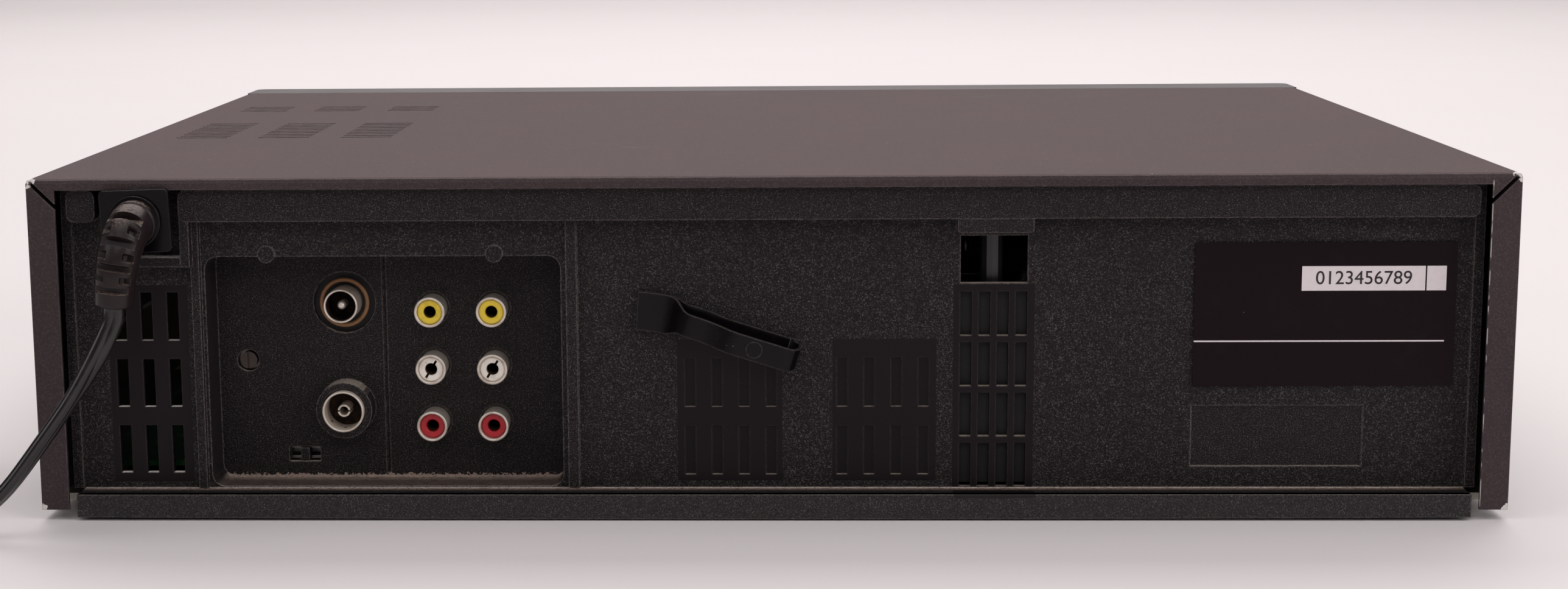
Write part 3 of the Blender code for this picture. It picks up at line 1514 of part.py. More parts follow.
def coil_points():
    """The coil's centre line, in and out at a steady rate, a layer up in the half turn at each reversal."""
    full_turns = COIL_LAYERS * TURNS_IN_LAYER
    count = round((full_turns + COIL_LAST_TURN_SHARE) * LOOP_POINTS)
    points = []
    for number in range(count + 1):
        turn = number / LOOP_POINTS
        phase = turn % (2 * TURNS_IN_LAYER)
        inwards = TURNS_IN_LAYER - abs(phase - TURNS_IN_LAYER)
        if turn > full_turns:
            inwards = full_turns - turn
        radius = COIL_RADIUS - COIL_TURN_PITCH * inwards
        layer = 0
        for reversal in range(1, COIL_LAYERS):
            climb = min(1, max(0, 2 * (turn - reversal * TURNS_IN_LAYER) + 0.5))
            layer += climb * climb * (3 - 2 * climb)
        angle = math.pi / 2 - 2 * math.pi * turn
        points.append(
            Vector(
                (
                    COIL_X + radius * math.cos(angle),
                    COIL_Y + radius * math.sin(angle),
                    CORD_LIE + layer * COIL_LAYER_PITCH,
                )
            )
        )
    return points


def tail_points(start, heading):
    """The end of the coil's cord, which comes down to the plug in an S."""
    drop = start.z - PLUG_THICK / 2
    count = round(TAIL_LENGTH / TAIL_STEP)
    points = []
    for number in range(1, count + 1):
        share = number / count
        fall = min(1, share * (count + 1) / count)
        fall = fall * fall * (3 - 2 * fall)
        points.append(start + heading * TAIL_LENGTH * share - Vector((0, 0, drop * fall)))
    return points


def least_gap(points, diameter):
    """The least space between stretches of one tube that are more than three diameters apart along it."""
    lengths = [0]
    for one, other in zip(points, points[1:]):
        lengths.append(lengths[-1] + (other - one).length)
    least = math.inf
    for i, one in enumerate(points):
        for j in range(i + 1, len(points)):
            if lengths[j] - lengths[i] > 3 * diameter:
                least = min(least, (points[j] - one).length)
    return least - diameter


def make_coil(rear):
    points = coil_points()
    points.insert(0, points[0] - Vector((2 * CORD_RADIUS, 0, 0)))
    heading = (points[-1] - points[-2]).normalized()
    heading.z = 0
    heading.normalize()
    points += tail_points(points[-1], heading)
    points.append(points[-1] + heading * 2 * CORD_RADIUS)
    coil = tube("cord_coil", points, CORD_RADIUS, 1, rear)
    finish(coil, BLACK_PLASTIC)
    length = sum((other - one).length for one, other in zip(points, points[1:]))
    print(f"coil: {length:.3f} m, least gap to itself {least_gap(points, 2 * CORD_RADIUS):.5f} m")
    return points, heading


def make_plug(rear, end, heading):
    """A flat two-pin plug lying on the table at the end of the coil's cord."""
    side = Vector((heading.y, -heading.x, 0))
    back = end + heading * GAP

    def at(along, across):
        place = back + heading * along + side * across
        return place.x, place.y

    shoulder = PLUG_LENGTH / 2
    half = PLUG_WIDTH / 2
    neck = PLUG_NECK_WIDTH / 2
    outline = [
        at(0, -neck),
        at(0, neck),
        at(shoulder - PLUG_CORNER, half - PLUG_CORNER),
        at(shoulder, half),
        at(PLUG_LENGTH - PLUG_CORNER, half),
        at(PLUG_LENGTH, half - PLUG_CORNER),
        at(PLUG_LENGTH, PLUG_CORNER - half),
        at(PLUG_LENGTH - PLUG_CORNER, -half),
        at(shoulder, -half),
        at(shoulder - PLUG_CORNER, PLUG_CORNER - half),
    ]
    body = slab("mains_plug", outline, 0, PLUG_THICK, rear)
    middle = PLUG_THICK / 2
    seat = PLUG_LENGTH - PIN_PLATE_DEPTH
    face = PLUG_LENGTH + PIN_PLATE_PROUD

    def plate(name, grow, low, high):
        across = PIN_PLATE_WIDTH / 2 + grow
        corners = [at(low, -across), at(low, across), at(high, across), at(high, -across)]
        half_thick = PIN_PLATE_THICK / 2 + grow
        return slab(name, corners, middle - half_thick, middle + half_thick, rear)

    cut(body, plate("pin_plate_seat", GAP, seat - GAP, face + OVERRUN))
    finish(body, BLACK_PLASTIC)
    pins = plate("plug_pins", 0, seat, face)
    ends = []
    for across in (-PIN_SPACING / 2, PIN_SPACING / 2):
        start = (*at((seat + face) / 2, across), middle)
        tip = (*at(face + PIN_LENGTH, across), middle)
        ends.append((start, tip, PIN_RADIUS))
    finish(fuse(pins, rods("plug_pin_rods", ends, rear, TINY_SIDES)), BRASS)


# Cable strap
def make_strap(rear):
    """A flexible band: a wide root on the panel, a loop that slopes down from it, and a round peg."""
    x, z = STRAP_ROOT
    back = GAP - FACE_DEPTH
    half = STRAP_ROOT_WIDTH / 2
    left = x + STRAP_ROOT_LENGTH / 2
    right = x - STRAP_ROOT_LENGTH / 2
    narrow = STRAP_BAND / 2
    end = (right - STRAP_TAPER, z - (x - right + STRAP_TAPER) * math.tan(STRAP_SLOPE))
    outline = [
        (left, z - half),
        (left, z + half),
        (right, z + half),
        (end[0], end[1] + narrow),
        (end[0], end[1] - narrow),
        (right, z - half),
    ]
    root = slab("cable_strap", outline, back, back + STRAP_THICK, rear, "Y")
    stem = rod(
        "strap_stem",
        (x, back + STRAP_THICK / 2, z),
        (x, -FACE_DEPTH - STRAP_STEM, z),
        STRAP_STEM_RADIUS,
        rear,
        TINY_SIDES,
    )
    finish(fuse(root, strap_band(rear), stem), GLOSS_BLACK)


def strap_band(rear):
    """The closed loop of the band, seen along its width, and turned down by its slope."""
    reach = STRAP_PROUD + FACE_DEPTH
    outside = [
        (0, GAP),
        (STRAP_LENGTH - reach / 4, GAP),
        (STRAP_LENGTH, reach / 4),
        (STRAP_LENGTH, reach * 3 / 4),
        (STRAP_LENGTH - reach / 4, reach),
        (STRAP_LENGTH / 4, reach),
        (STRAP_LENGTH / 8, reach * 3 / 4),
        (0, GAP + STRAP_THICK),
    ]
    inside = [
        (STRAP_LENGTH / 8 + STRAP_THICK, GAP + STRAP_THICK),
        (STRAP_LENGTH - reach / 4 - STRAP_THICK / 2, GAP + STRAP_THICK),
        (STRAP_LENGTH - STRAP_THICK, reach / 4 + STRAP_THICK / 2),
        (STRAP_LENGTH - STRAP_THICK, reach * 3 / 4 - STRAP_THICK / 2),
        (STRAP_LENGTH - reach / 4 - STRAP_THICK / 2, reach - STRAP_THICK),
        (STRAP_LENGTH / 4 + STRAP_THICK / 2, reach - STRAP_THICK),
        (STRAP_LENGTH / 8 + STRAP_THICK, reach * 3 / 4 - STRAP_THICK),
    ]
    half = STRAP_BAND / 2
    loop = slab("strap_loop", outside, -half, half, rear)
    hollow = slab("strap_hollow", inside, -half - OVERRUN, half + OVERRUN, rear)
    peg = rod(
        "strap_peg",
        (STRAP_PEG_ALONG, reach - STRAP_THICK / 2, 0),
        (STRAP_PEG_ALONG, reach - 2 * STRAP_THICK, 0),
        STRAP_PEG_RADIUS,
        rear,
    )
    start = Vector((STRAP_ROOT[0], -FACE_DEPTH, STRAP_ROOT[1]))
    turn = Matrix.Rotation(math.pi - STRAP_SLOPE, 4, "Y")
    for piece in (loop, hollow, peg):
        piece.data.transform(Matrix.Translation(start) @ turn)
    cut(loop, hollow)
    return fuse(loop, peg)


# Front panel and controls
def make_front_panel(front):
    shell = slab(
        "front_panel",
        rounded((-HALF_WIDTH, 0), (HALF_WIDTH, FRONT_DEPTH - GAP + FRONT_CORNER), FRONT_CORNER),
        FRONT_LIFT,
        FRONT_TOP,
        front,
    )
    trim = box(
        "front_trim",
        (-CASE_WIDTH, FRONT_DEPTH - GAP, 0),
        (CASE_WIDTH, FRONT_DEPTH + 2 * FRONT_CORNER, 2 * FRONT_TOP),
        front,
    )
    inner = HALF_WIDTH - FRONT_WALL
    hollow = box(
        "front_hollow",
        (-inner, FRONT_WALL, FRONT_LIFT + FRONT_WALL),
        (inner, FRONT_DEPTH + OVERRUN, FRONT_TOP - FRONT_WALL),
        front,
    )
    cut(shell, trim, hollow, door_opening(front), display_opening(front), button_holes(front))
    return finish(shell, GREY_PLASTIC)


def door_opening(front):
    half = DOOR_WIDTH / 2
    opening = box(
        "door_opening",
        (DOOR_CENTRE_X - half, -OVERRUN, DOOR_SILL),
        (DOOR_CENTRE_X + half, FRONT_WALL + OVERRUN, DOOR_SILL + DOOR_HEIGHT),
        front,
    )
    reach = half + DOOR_PIN + GAP - DOOR_GAP
    z = DOOR_SILL + DOOR_HEIGHT - DOOR_AXIS_DROP
    pins = rod(
        "door_pin_bore",
        (DOOR_CENTRE_X - reach, DOOR_AXIS_DEPTH, z),
        (DOOR_CENTRE_X + reach, DOOR_AXIS_DEPTH, z),
        DOOR_PIN_RADIUS + GAP,
        front,
        TINY_SIDES,
    )
    return fuse(opening, pins)


def display_opening(front):
    half = DISPLAY_WIDTH / 2
    middle = DOOR_SILL + DOOR_HEIGHT / 2
    return box(
        "display_opening",
        (DISPLAY_X - half, -OVERRUN, middle - DISPLAY_HEIGHT / 2),
        (DISPLAY_X + half, FRONT_WALL + OVERRUN, middle + DISPLAY_HEIGHT / 2),
        front,
    )


def button_places():
    """Name, x, z and width of each button."""
    for number, name in enumerate(TRANSPORT_BUTTONS):
        x = DISPLAY_X + (number - (len(TRANSPORT_BUTTONS) - 1) / 2) * TRANSPORT_PITCH
        yield name, x, TRANSPORT_Z, TRANSPORT_PITCH - TRANSPORT_GAP
    for name, z in (("power_button", POWER_Z), ("eject_button", EJECT_Z)):
        yield name, SIDE_BUTTON_INSET - HALF_WIDTH, z, SIDE_BUTTON_WIDTH


def button_holes(front):
    corners = [
        (
            (x - width / 2 - BUTTON_SLACK, -OVERRUN, z - BUTTON_HEIGHT / 2 - BUTTON_SLACK),
            (x + width / 2 + BUTTON_SLACK, FRONT_WALL + OVERRUN, z + BUTTON_HEIGHT / 2 + BUTTON_SLACK),
        )
        for _, x, z, width in button_places()
    ]
    return boxes("button_holes", corners, front)


def make_buttons(front):
    """Each button has a flange behind the panel, and moves straight in."""
    seat = FRONT_WALL + GAP
    for name, x, z, width in button_places():
        cap = box(
            name,
            (x - width / 2, -FRONT_PROUD, z - BUTTON_HEIGHT / 2),
            (x + width / 2, seat + BUTTON_FLANGE / 2, z + BUTTON_HEIGHT / 2),
            front,
        )
        across = width / 2 + BUTTON_RIM
        up = BUTTON_HEIGHT / 2 + BUTTON_RIM
        flange = box(
            name + "_flange", (x - across, seat, z - up), (x + across, seat + BUTTON_FLANGE, z + up), front
        )
        finish(fuse(cap, flange), GREY_PLASTIC, (x, 0, z))


def make_door(front):
    """The cassette door: a plate with round pins at its top edge, on which it swings in."""
    half = DOOR_WIDTH / 2 - DOOR_GAP
    axis_z = DOOR_SILL + DOOR_HEIGHT - DOOR_AXIS_DROP
    top = axis_z + DOOR_THICK / 2
    plate = box(
        "cassette_door",
        (DOOR_CENTRE_X - half, DOOR_AXIS_DEPTH - DOOR_THICK / 2, DOOR_SILL + DOOR_GAP),
        (DOOR_CENTRE_X + half, DOOR_AXIS_DEPTH + DOOR_THICK / 2, top),
        front,
    )
    reach = half + DOOR_PIN
    pins = rod(
        "door_pins",
        (DOOR_CENTRE_X - reach, DOOR_AXIS_DEPTH, axis_z),
        (DOOR_CENTRE_X + reach, DOOR_AXIS_DEPTH, axis_z),
        DOOR_PIN_RADIUS,
        front,
        TINY_SIDES,
    )
    finish(fuse(plate, pins), GREY_PLASTIC, (DOOR_CENTRE_X, DOOR_AXIS_DEPTH, axis_z))


def make_display(front):
    """The smoked window, held by its rim behind the panel, and the board with its tube."""
    middle = DOOR_SILL + DOOR_HEIGHT / 2
    half_width = DISPLAY_WIDTH / 2 - GAP
    half_height = DISPLAY_HEIGHT / 2 - GAP
    seat = FRONT_WALL + GAP
    window = box(
        "display_window",
        (DISPLAY_X - half_width, GAP, middle - half_height),
        (DISPLAY_X + half_width, seat + DISPLAY_THICK / 2, middle + half_height),
        front,
    )
    rim = box(
        "display_rim",
        (DISPLAY_X - half_width - DISPLAY_RIM, seat, middle - half_height - DISPLAY_RIM),
        (DISPLAY_X + half_width + DISPLAY_RIM, seat + DISPLAY_THICK, middle + half_height + DISPLAY_RIM),
        front,
    )
    finish(fuse(window, rim), GLOSS_BLACK)
    half_board = DISPLAY_WIDTH / 2 + FRONT_BOARD_MARGIN
    board = box(
        "front_board",
        (DISPLAY_X - half_board, FRONT_BOARD_DEPTH, FRONT_BOARD_LIFT),
        (DISPLAY_X + half_board, FRONT_BOARD_DEPTH + BOARD, FRONT_BOARD_LIFT + FRONT_BOARD_HEIGHT),
        front,
    )
    tube_box = box(
        "display_tube",
        (DISPLAY_X - TUBE_WIDTH / 2, FRONT_BOARD_DEPTH - TUBE_DEPTH, middle - TUBE_HEIGHT / 2),
        (DISPLAY_X + TUBE_WIDTH / 2, FRONT_BOARD_DEPTH + BOARD / 2, middle + TUBE_HEIGHT / 2),
        front,
    )
    finish(fuse(board, tube_box), GREEN_BOARD)


# Boards and power supply
def make_main_board(rear):
    side_x = HALF_WIDTH - BOARD_MARGIN - CHASSIS_WALL
    front = BOARD_MARGIN - COVER_DEPTH
    top = BOARD_LIFT + BOARD
    board = box("main_board", (-side_x, front, BOARD_LIFT), (side_x, -BOARD_REAR_CLEARANCE, top), rear)
    left = DOOR_CENTRE_X + DECK_HALF_WIDTH
    right = HALF_WIDTH - SUPPLY_SIDE_INSET - SUPPLY_WIDTH
    x = (left + right) / 2
    chips = []
    for number in range(CHIPS):
        y = front + (number + 1) * CHIP_PITCH
        chips.append(
            (
                (x - CHIP_WIDTH / 2, y - CHIP_LENGTH / 2, top - BOARD / 2),
                (x + CHIP_WIDTH / 2, y + CHIP_LENGTH / 2, top + CHIP_HEIGHT),
            )
        )
    fuse(board, boxes("board_chips", chips, rear))
    window_x = (WINDOW_X[0] + WINDOW_X[1]) / 2
    window_y = PANEL_BACK - 2 * WINDOW_POST_RADIUS
    places = [(x, y, PILLAR_RADIUS + 2 * GAP) for x, y in pillar_places()]
    places.append((window_x, window_y, 2 * WINDOW_POST_RADIUS))
    low = BOARD_LIFT - OVERRUN
    holes = [((x, y, low), (x, y, top + OVERRUN), radius) for x, y, radius in places]
    finish(cut(board, rods("board_holes", holes, rear, TINY_SIDES)), GREEN_BOARD)


def make_power_supply(rear):
    """A small board on legs, with the transformer, two capacitors and a finned heat sink."""
    right = HALF_WIDTH - SUPPLY_SIDE_INSET
    left = right - SUPPLY_WIDTH
    back = -SUPPLY_REAR_INSET
    front = back - SUPPLY_DEPTH
    top = SUPPLY_LIFT + BOARD
    sunk = top - BOARD / 2
    board = box("power_supply", (left, front, SUPPLY_LIFT), (right, back, top), rear)
    inset = 2 * SUPPLY_LEG_RADIUS
    legs = [
        ((x, y, BOARD_LIFT + BOARD + GAP), (x, y, sunk), SUPPLY_LEG_RADIUS)
        for x in (left + inset, right - inset)
        for y in (front + inset, back - inset)
    ]
    middle = (left + right) / 2
    half = TRANSFORMER_WIDTH / 2
    transformer = box(
        "transformer",
        (middle - half, back - inset - TRANSFORMER_WIDTH, sunk),
        (middle + half, back - inset, top + TRANSFORMER_HEIGHT),
        rear,
    )
    capacitor_y = back - inset - TRANSFORMER_WIDTH - 2 * CAPACITOR_RADIUS
    capacitors = [
        ((x, capacitor_y, sunk), (x, capacitor_y, top + CAPACITOR_HEIGHT), CAPACITOR_RADIUS)
        for x in (middle - CAPACITOR_SPACING / 2, middle + CAPACITOR_SPACING / 2)
    ]
    sink_back = front + inset
    spread = (SINK_FINS - 1) * SINK_PITCH / 2
    sink = box(
        "heat_sink",
        (middle - spread - SINK_FIN, sink_back, sunk),
        (middle + spread + SINK_FIN, sink_back + SINK_FIN, top + SINK_HEIGHT),
        rear,
    )
    fins = []
    for number in range(SINK_FINS):
        x = middle - spread + number * SINK_PITCH
        fins.append(
            (
                (x - SINK_FIN / 2, sink_back + SINK_FIN / 2, top + SINK_FIN),
                (x + SINK_FIN / 2, sink_back + SINK_DEPTH, top + SINK_HEIGHT - SINK_FIN),
            )
        )
    fuse(
        board,
        rods("supply_legs", legs, rear, TINY_SIDES),
        transformer,
        rods("capacitors", capacitors, rear),
        sink,
        boxes("sink_fins", fins, rear),
    )
    finish(board, GREEN_BOARD)


# Deck
def make_deck(deck):
    """The plate that carries the tape path, with the two side frames that guide the basket's carrier."""
    plate = box(
        "mech_deck", (-DECK_HALF_WIDTH, DECK_FRONT, -DECK_PLATE), (DECK_HALF_WIDTH, DECK_REAR, 0), deck
    )
    for side in (-1, 1):
        wall = box(
            f"side_frame_{side}",
            (side * FRAME_HALF, DECK_FRONT, -DECK_PLATE / 2),
            (side * (FRAME_HALF - FRAME_WALL), FRAME_REAR, FRAME_TOP),
            deck,
        )
        fuse(plate, wall)
    bridge = box(
        "frame_bridge",
        (-FRAME_HALF, BRIDGE_START, FRAME_TOP - FRAME_WALL),
        (FRAME_HALF, BRIDGE_START + BRIDGE_DEPTH, FRAME_TOP),
        deck,
    )
    pivot_top = PINCH_ARM_LIFT + 2 * PINCH_ARM
    pivot = rod(
        "pinch_pivot",
        (PINCH_PIVOT_X, PINCH_PIVOT_Y, -DECK_PLATE / 2),
        (PINCH_PIVOT_X, PINCH_PIVOT_Y, pivot_top),
        PINCH_PIVOT_RADIUS,
        deck,
        TINY_SIDES,
    )
    fuse(plate, bridge, pivot)
    cut(plate, tracks(deck), *guide_slots(deck), shaft_holes(deck))
    return finish(plate, STEEL)


def track_pin_places():
    """How far inwards the carrier's two pins on each side are, at rest."""
    return BASKET_START + BASKET_PIN_INSET, BASKET_START + BASKET_DEPTH - BASKET_PIN_INSET


def tracks(deck):
    """The straight tracks in the side frames for the carrier's pins."""
    first, last = track_pin_places()
    radius = TRACK_PIN_RADIUS + TRACK_SLACK
    outline = stadium((first, TRACK_HEIGHT), (last + BASKET_TRAVEL, TRACK_HEIGHT), radius)
    reach = FRAME_HALF + OVERRUN
    track = slab("frame_tracks", outline, -reach, reach, deck)
    track.data.transform(Matrix(((0, 0, 1, 0), (1, 0, 0, 0), (0, 1, 0, 0), (0, 0, 0, 1))))
    return track


def guide_slots(deck):
    """The slots along which the two tape guides travel."""
    radius = GUIDE_POST_RADIUS + 2 * GAP
    for side, name in ((-1, "supply_slot"), (1, "takeup_slot")):
        start = (side * GUIDE_START[0], GUIDE_START[1])
        end = (side * GUIDE_END[0], GUIDE_END[1])
        yield slab(name, stadium(start, end, radius), -DECK_PLATE - OVERRUN, OVERRUN, deck)


def shaft_holes(deck):
    low = -DECK_PLATE - OVERRUN
    places = (
        (CAPSTAN_X, CAPSTAN_Y, CAPSTAN_RADIUS),
        (REEL_X, REEL_Y, REEL_SHAFT_RADIUS),
        (-REEL_X, REEL_Y, REEL_SHAFT_RADIUS),
    )
    ends = [((x, y, low), (x, y, OVERRUN), radius + GAP) for x, y, radius in places]
    return rods("shaft_holes", ends, deck, TINY_SIDES)


def make_basket(deck):
    """An open-fronted holder: two side walls with lips under the cassette, a top plate and two back stops."""
    half = BASKET_WIDTH / 2
    start = BASKET_START
    end = BASKET_START + BASKET_DEPTH
    low = (-half, start, BASKET_TOP - BASKET_WALL)
    top_plate = box("cassette_basket", low, (half, end, BASKET_TOP), deck)
    sunk = BASKET_TOP - BASKET_WALL / 2
    pin_z = BASKET_FLOOR + BASKET_PIN_HEIGHT_SHARE * (BASKET_TOP - BASKET_FLOOR)
    pieces = []
    for side in (-1, 1):
        wall_in = side * (half - BASKET_WALL)
        wall = box(f"basket_wall_{side}", (side * half, start, BASKET_FLOOR), (wall_in, end, sunk), deck)
        lip = box(
            f"basket_lip_{side}",
            (side * (half - BASKET_WALL / 2), start, BASKET_FLOOR),
            (side * (half - BASKET_LIP), end, BASKET_FLOOR + BASKET_WALL),
            deck,
        )
        stop_x = side * (half - BASKET_LIP - BASKET_STOP_WIDTH)
        stop = box(
            f"basket_stop_{side}",
            (stop_x, end - BASKET_WALL, BASKET_TOP - BASKET_STOP_DROP),
            (stop_x + side * BASKET_STOP_WIDTH, end, sunk),
            deck,
        )
        pieces += [wall, lip, stop]
    pins = []
    for y in track_pin_places():
        for side in (-1, 1):
            pins.append(
                (
                    (side * (half - BASKET_WALL / 2), y, pin_z),
                    (side * (CARRIER_HALF + FRAME_CLEARANCE / 2), y, pin_z),
                    BASKET_PIN_RADIUS,
                )
            )
    fuse(top_plate, *pieces, rods("basket_pins", pins, deck, TINY_SIDES))
    finish(top_plate, STEEL, (0, start, BASKET_FLOOR))


def make_carrier(deck):
    """A plate over the basket with two wings. Their upright slots take the basket's pins as it drops."""
    start = BASKET_START
    end = BASKET_START + BASKET_DEPTH
    plate = box(
        "basket_carrier",
        (-CARRIER_HALF, start, CARRIER_TOP - CARRIER_WALL),
        (CARRIER_HALF, end, CARRIER_TOP),
        deck,
    )
    pin_z = BASKET_FLOOR + BASKET_PIN_HEIGHT_SHARE * (BASKET_TOP - BASKET_FLOOR)
    wing_foot = min(BASKET_FLOOR, pin_z - BASKET_DROP) - 2 * BASKET_PIN_RADIUS - CARRIER_WALL
    wing_foot = min(wing_foot, TRACK_HEIGHT - 2 * TRACK_PIN_RADIUS)
    pieces = []
    for side in (-1, 1):
        inside = side * (CARRIER_HALF - CARRIER_WALL)
        pieces.append(
            box(
                f"carrier_wing_{side}",
                (side * CARRIER_HALF, start, wing_foot),
                (inside, end, CARRIER_TOP - CARRIER_WALL / 2),
                deck,
            )
        )
    pins = []
    slots = []
    first, last = track_pin_places()
    radius = BASKET_PIN_RADIUS + TRACK_SLACK
    reach = CARRIER_HALF + OVERRUN
    for y in (first, last):
        slot_bottom = pin_z - BASKET_DROP - radius
        slots.append(((-reach, y - radius, slot_bottom), (reach, y + radius, pin_z + radius)))
    for y in (first + 3 * BASKET_PIN_RADIUS, last - 3 * BASKET_PIN_RADIUS):
        for side in (-1, 1):
            pins.append(
                (
                    (side * (CARRIER_HALF - CARRIER_WALL / 2), y, TRACK_HEIGHT),
                    (side * (FRAME_HALF - GAP), y, TRACK_HEIGHT),
                    TRACK_PIN_RADIUS,
                )
            )
    window_half = CARRIER_WINDOW_SHARE * CARRIER_HALF
    margin = (1 - CARRIER_WINDOW_SHARE) * BASKET_DEPTH / 2
    window = box(
        "carrier_window",
        (-window_half, start + margin, CARRIER_TOP - CARRIER_WALL - OVERRUN),
        (window_half, end - margin, CARRIER_TOP + OVERRUN),
        deck,
    )
    fuse(plate, *pieces)
    cut(plate, boxes("carrier_slots", slots, deck), window)
    fuse(plate, rods("carrier_pins", pins, deck, TINY_SIDES))
    finish(plate, STEEL, (0, start, TRACK_HEIGHT))


def make_drum(deck):
    """The tilted head drum: a fixed lower half with the spindle, and a turning upper half with two heads."""
    drum = new_frame("drum_frame", (0, DRUM_Y, DRUM_BASE))
    drum.parent = deck
    drum.rotation_euler = (-DRUM_TILT, 0, 0)
    spindle_top = LOWER_DRUM_HEIGHT + GAP + UPPER_DRUM_HEIGHT + SPINDLE_PROUD
    lower_profile = [
        (0, spindle_top),
        (SPINDLE_RADIUS, spindle_top),
        (SPINDLE_RADIUS, LOWER_DRUM_HEIGHT),
        (DRUM_RADIUS, LOWER_DRUM_HEIGHT),
        (DRUM_RADIUS, 0),
        (0, 0),
    ]
    lower = turned("lower_drum", lower_profile, (0, 0, 0), (0, 0, 1), drum)
    foot = rod(
        "drum_foot",
        (0, DRUM_Y, GAP),
        (0, DRUM_Y, DRUM_BASE + DRUM_FOOT),
        DRUM_FOOT_RADIUS,
        deck,
    )
    finish(fuse(lower, foot), ALUMINIUM)
    low = LOWER_DRUM_HEIGHT + GAP
    high = low + UPPER_DRUM_HEIGHT
    rim = DRUM_RADIUS - DRUM_RIM
    bore = SPINDLE_RADIUS + GAP
    upper_profile = [
        (rim, high),
        (DRUM_RADIUS, high),
        (DRUM_RADIUS, low),
        (bore, low),
        (bore, high),
        (DRUM_HUB_RADIUS, high),
        (DRUM_HUB_RADIUS, high - DRUM_DISH),
        (rim, high - DRUM_DISH),
    ]
    upper = turned("upper_drum", upper_profile, (0, 0, 0), (0, 0, 1), drum)
    notches = []
    for side in (-1, 1):
        notches.append(
            (
                (side * (DRUM_RADIUS - HEAD_DEPTH), -HEAD_WIDTH / 2, low - OVERRUN),
                (side * (DRUM_RADIUS + OVERRUN), HEAD_WIDTH / 2, low + HEAD_HEIGHT),
            )
        )
    finish(cut(upper, boxes("head_notches", notches, drum)), ALUMINIUM)


def make_capstan(deck):
    low = -DECK_PLATE - FLYWHEEL_DROP
    profile = [
        (0, CAPSTAN_TOP),
        (CAPSTAN_RADIUS, CAPSTAN_TOP),
        (CAPSTAN_RADIUS, low + FLYWHEEL),
        (FLYWHEEL_RADIUS, low + FLYWHEEL),
        (FLYWHEEL_RADIUS, low),
        (0, low),
    ]
    capstan = turned("capstan", profile, (CAPSTAN_X, CAPSTAN_Y, 0), (0, 0, 1), deck, SMALL_SIDES)
    holes = []
    for number in range(FLYWHEEL_HOLES):
        angle = 2 * math.pi * number / FLYWHEEL_HOLES
        x = CAPSTAN_X + FLYWHEEL_HOLE_CIRCLE * math.cos(angle)
        y = CAPSTAN_Y + FLYWHEEL_HOLE_CIRCLE * math.sin(angle)
        holes.append(((x, y, low - OVERRUN), (x, y, low + FLYWHEEL + OVERRUN), FLYWHEEL_HOLE_RADIUS))
    finish(cut(capstan, rods("flywheel_holes", holes, deck, TINY_SIDES)), STEEL)


def make_reels(deck):
    """Two reel tables, each with three fins that take a cassette's hub."""
    for side, name in ((-1, "supply_reel"), (1, "takeup_reel")):
        x = side * REEL_X
        profile = [
            (0, REEL_TOP),
            (REEL_TOP_RADIUS, REEL_TOP),
            (REEL_TOP_RADIUS, REEL_HUB_HEIGHT),
            (REEL_HUB_RADIUS, REEL_HUB_HEIGHT),
            (REEL_HUB_RADIUS, REEL_LIFT + REEL_FLANGE),
            (REEL_RADIUS, REEL_LIFT + REEL_FLANGE),
            (REEL_RADIUS, REEL_LIFT),
            (REEL_SHAFT_RADIUS, REEL_LIFT),
            (REEL_SHAFT_RADIUS, -2 * DECK_PLATE),
            (0, -2 * DECK_PLATE),
        ]
        reel = turned(name, profile, (x, REEL_Y, 0), (0, 0, 1), deck, SMALL_SIDES)
        shape = bmesh.new()
        size = Vector((REEL_TOP_RADIUS, REEL_FIN, REEL_TOP - REEL_HUB_HEIGHT))
        middle = Vector((REEL_TOP_RADIUS, 0, (REEL_TOP + REEL_HUB_HEIGHT) / 2 - REEL_FIN))
        for number in range(REEL_FINS):
            turn = Matrix.Rotation(2 * math.pi * number / REEL_FINS, 4, "Z")
            cube = bmesh.ops.create_cube(shape, size=1)
            place = Matrix.Translation((x, REEL_Y, 0)) @ turn @ Matrix.LocRotScale(middle, None, size)
            bmesh.ops.transform(shape, matrix=place, verts=cube["verts"])
        fins = from_bmesh(name + "_fins", shape, deck)
        finish(fuse(reel, fins), WHITE_PLASTIC)


def make_pinch(deck):
    """The arm that swings the rubber roller to the capstan."""
    pivot = (PINCH_PIVOT_X, PINCH_PIVOT_Y)
    roller = (
        PINCH_PIVOT_X + PINCH_REACH * math.cos(PINCH_REST),
        PINCH_PIVOT_Y + PINCH_REACH * math.sin(PINCH_REST),
    )
    low = PINCH_ARM_LIFT
    high = low + PINCH_ARM
    arm = slab("pinch_arm", stadium(pivot, roller, PINCH_ARM_HALF_WIDTH), low, high, deck)
    roller_low = high + GAP
    roller_high = roller_low + PINCH_ROLLER_HEIGHT
    pin = rod(
        "pinch_pin",
        (*roller, (low + high) / 2),
        (*roller, roller_high + PINCH_PIN_RADIUS),
        PINCH_PIN_RADIUS,
        deck,
        TINY_SIDES,
    )
    bore_radius = PINCH_PIVOT_RADIUS + GAP
    bore = rod(
        "pinch_bore", (*pivot, low - OVERRUN), (*pivot, high + OVERRUN), bore_radius, deck, TINY_SIDES
    )
    fuse(arm, pin)
    finish(cut(arm, bore), STEEL, (*pivot, 0))
    profile = ring_profile(
        PINCH_ROLLER_RADIUS, PINCH_PIN_RADIUS + GAP, roller_low, roller_high
    )
    finish(turned("pinch_roller", profile, (*roller, 0), (0, 0, 1), deck, SMALL_SIDES), RUBBER)


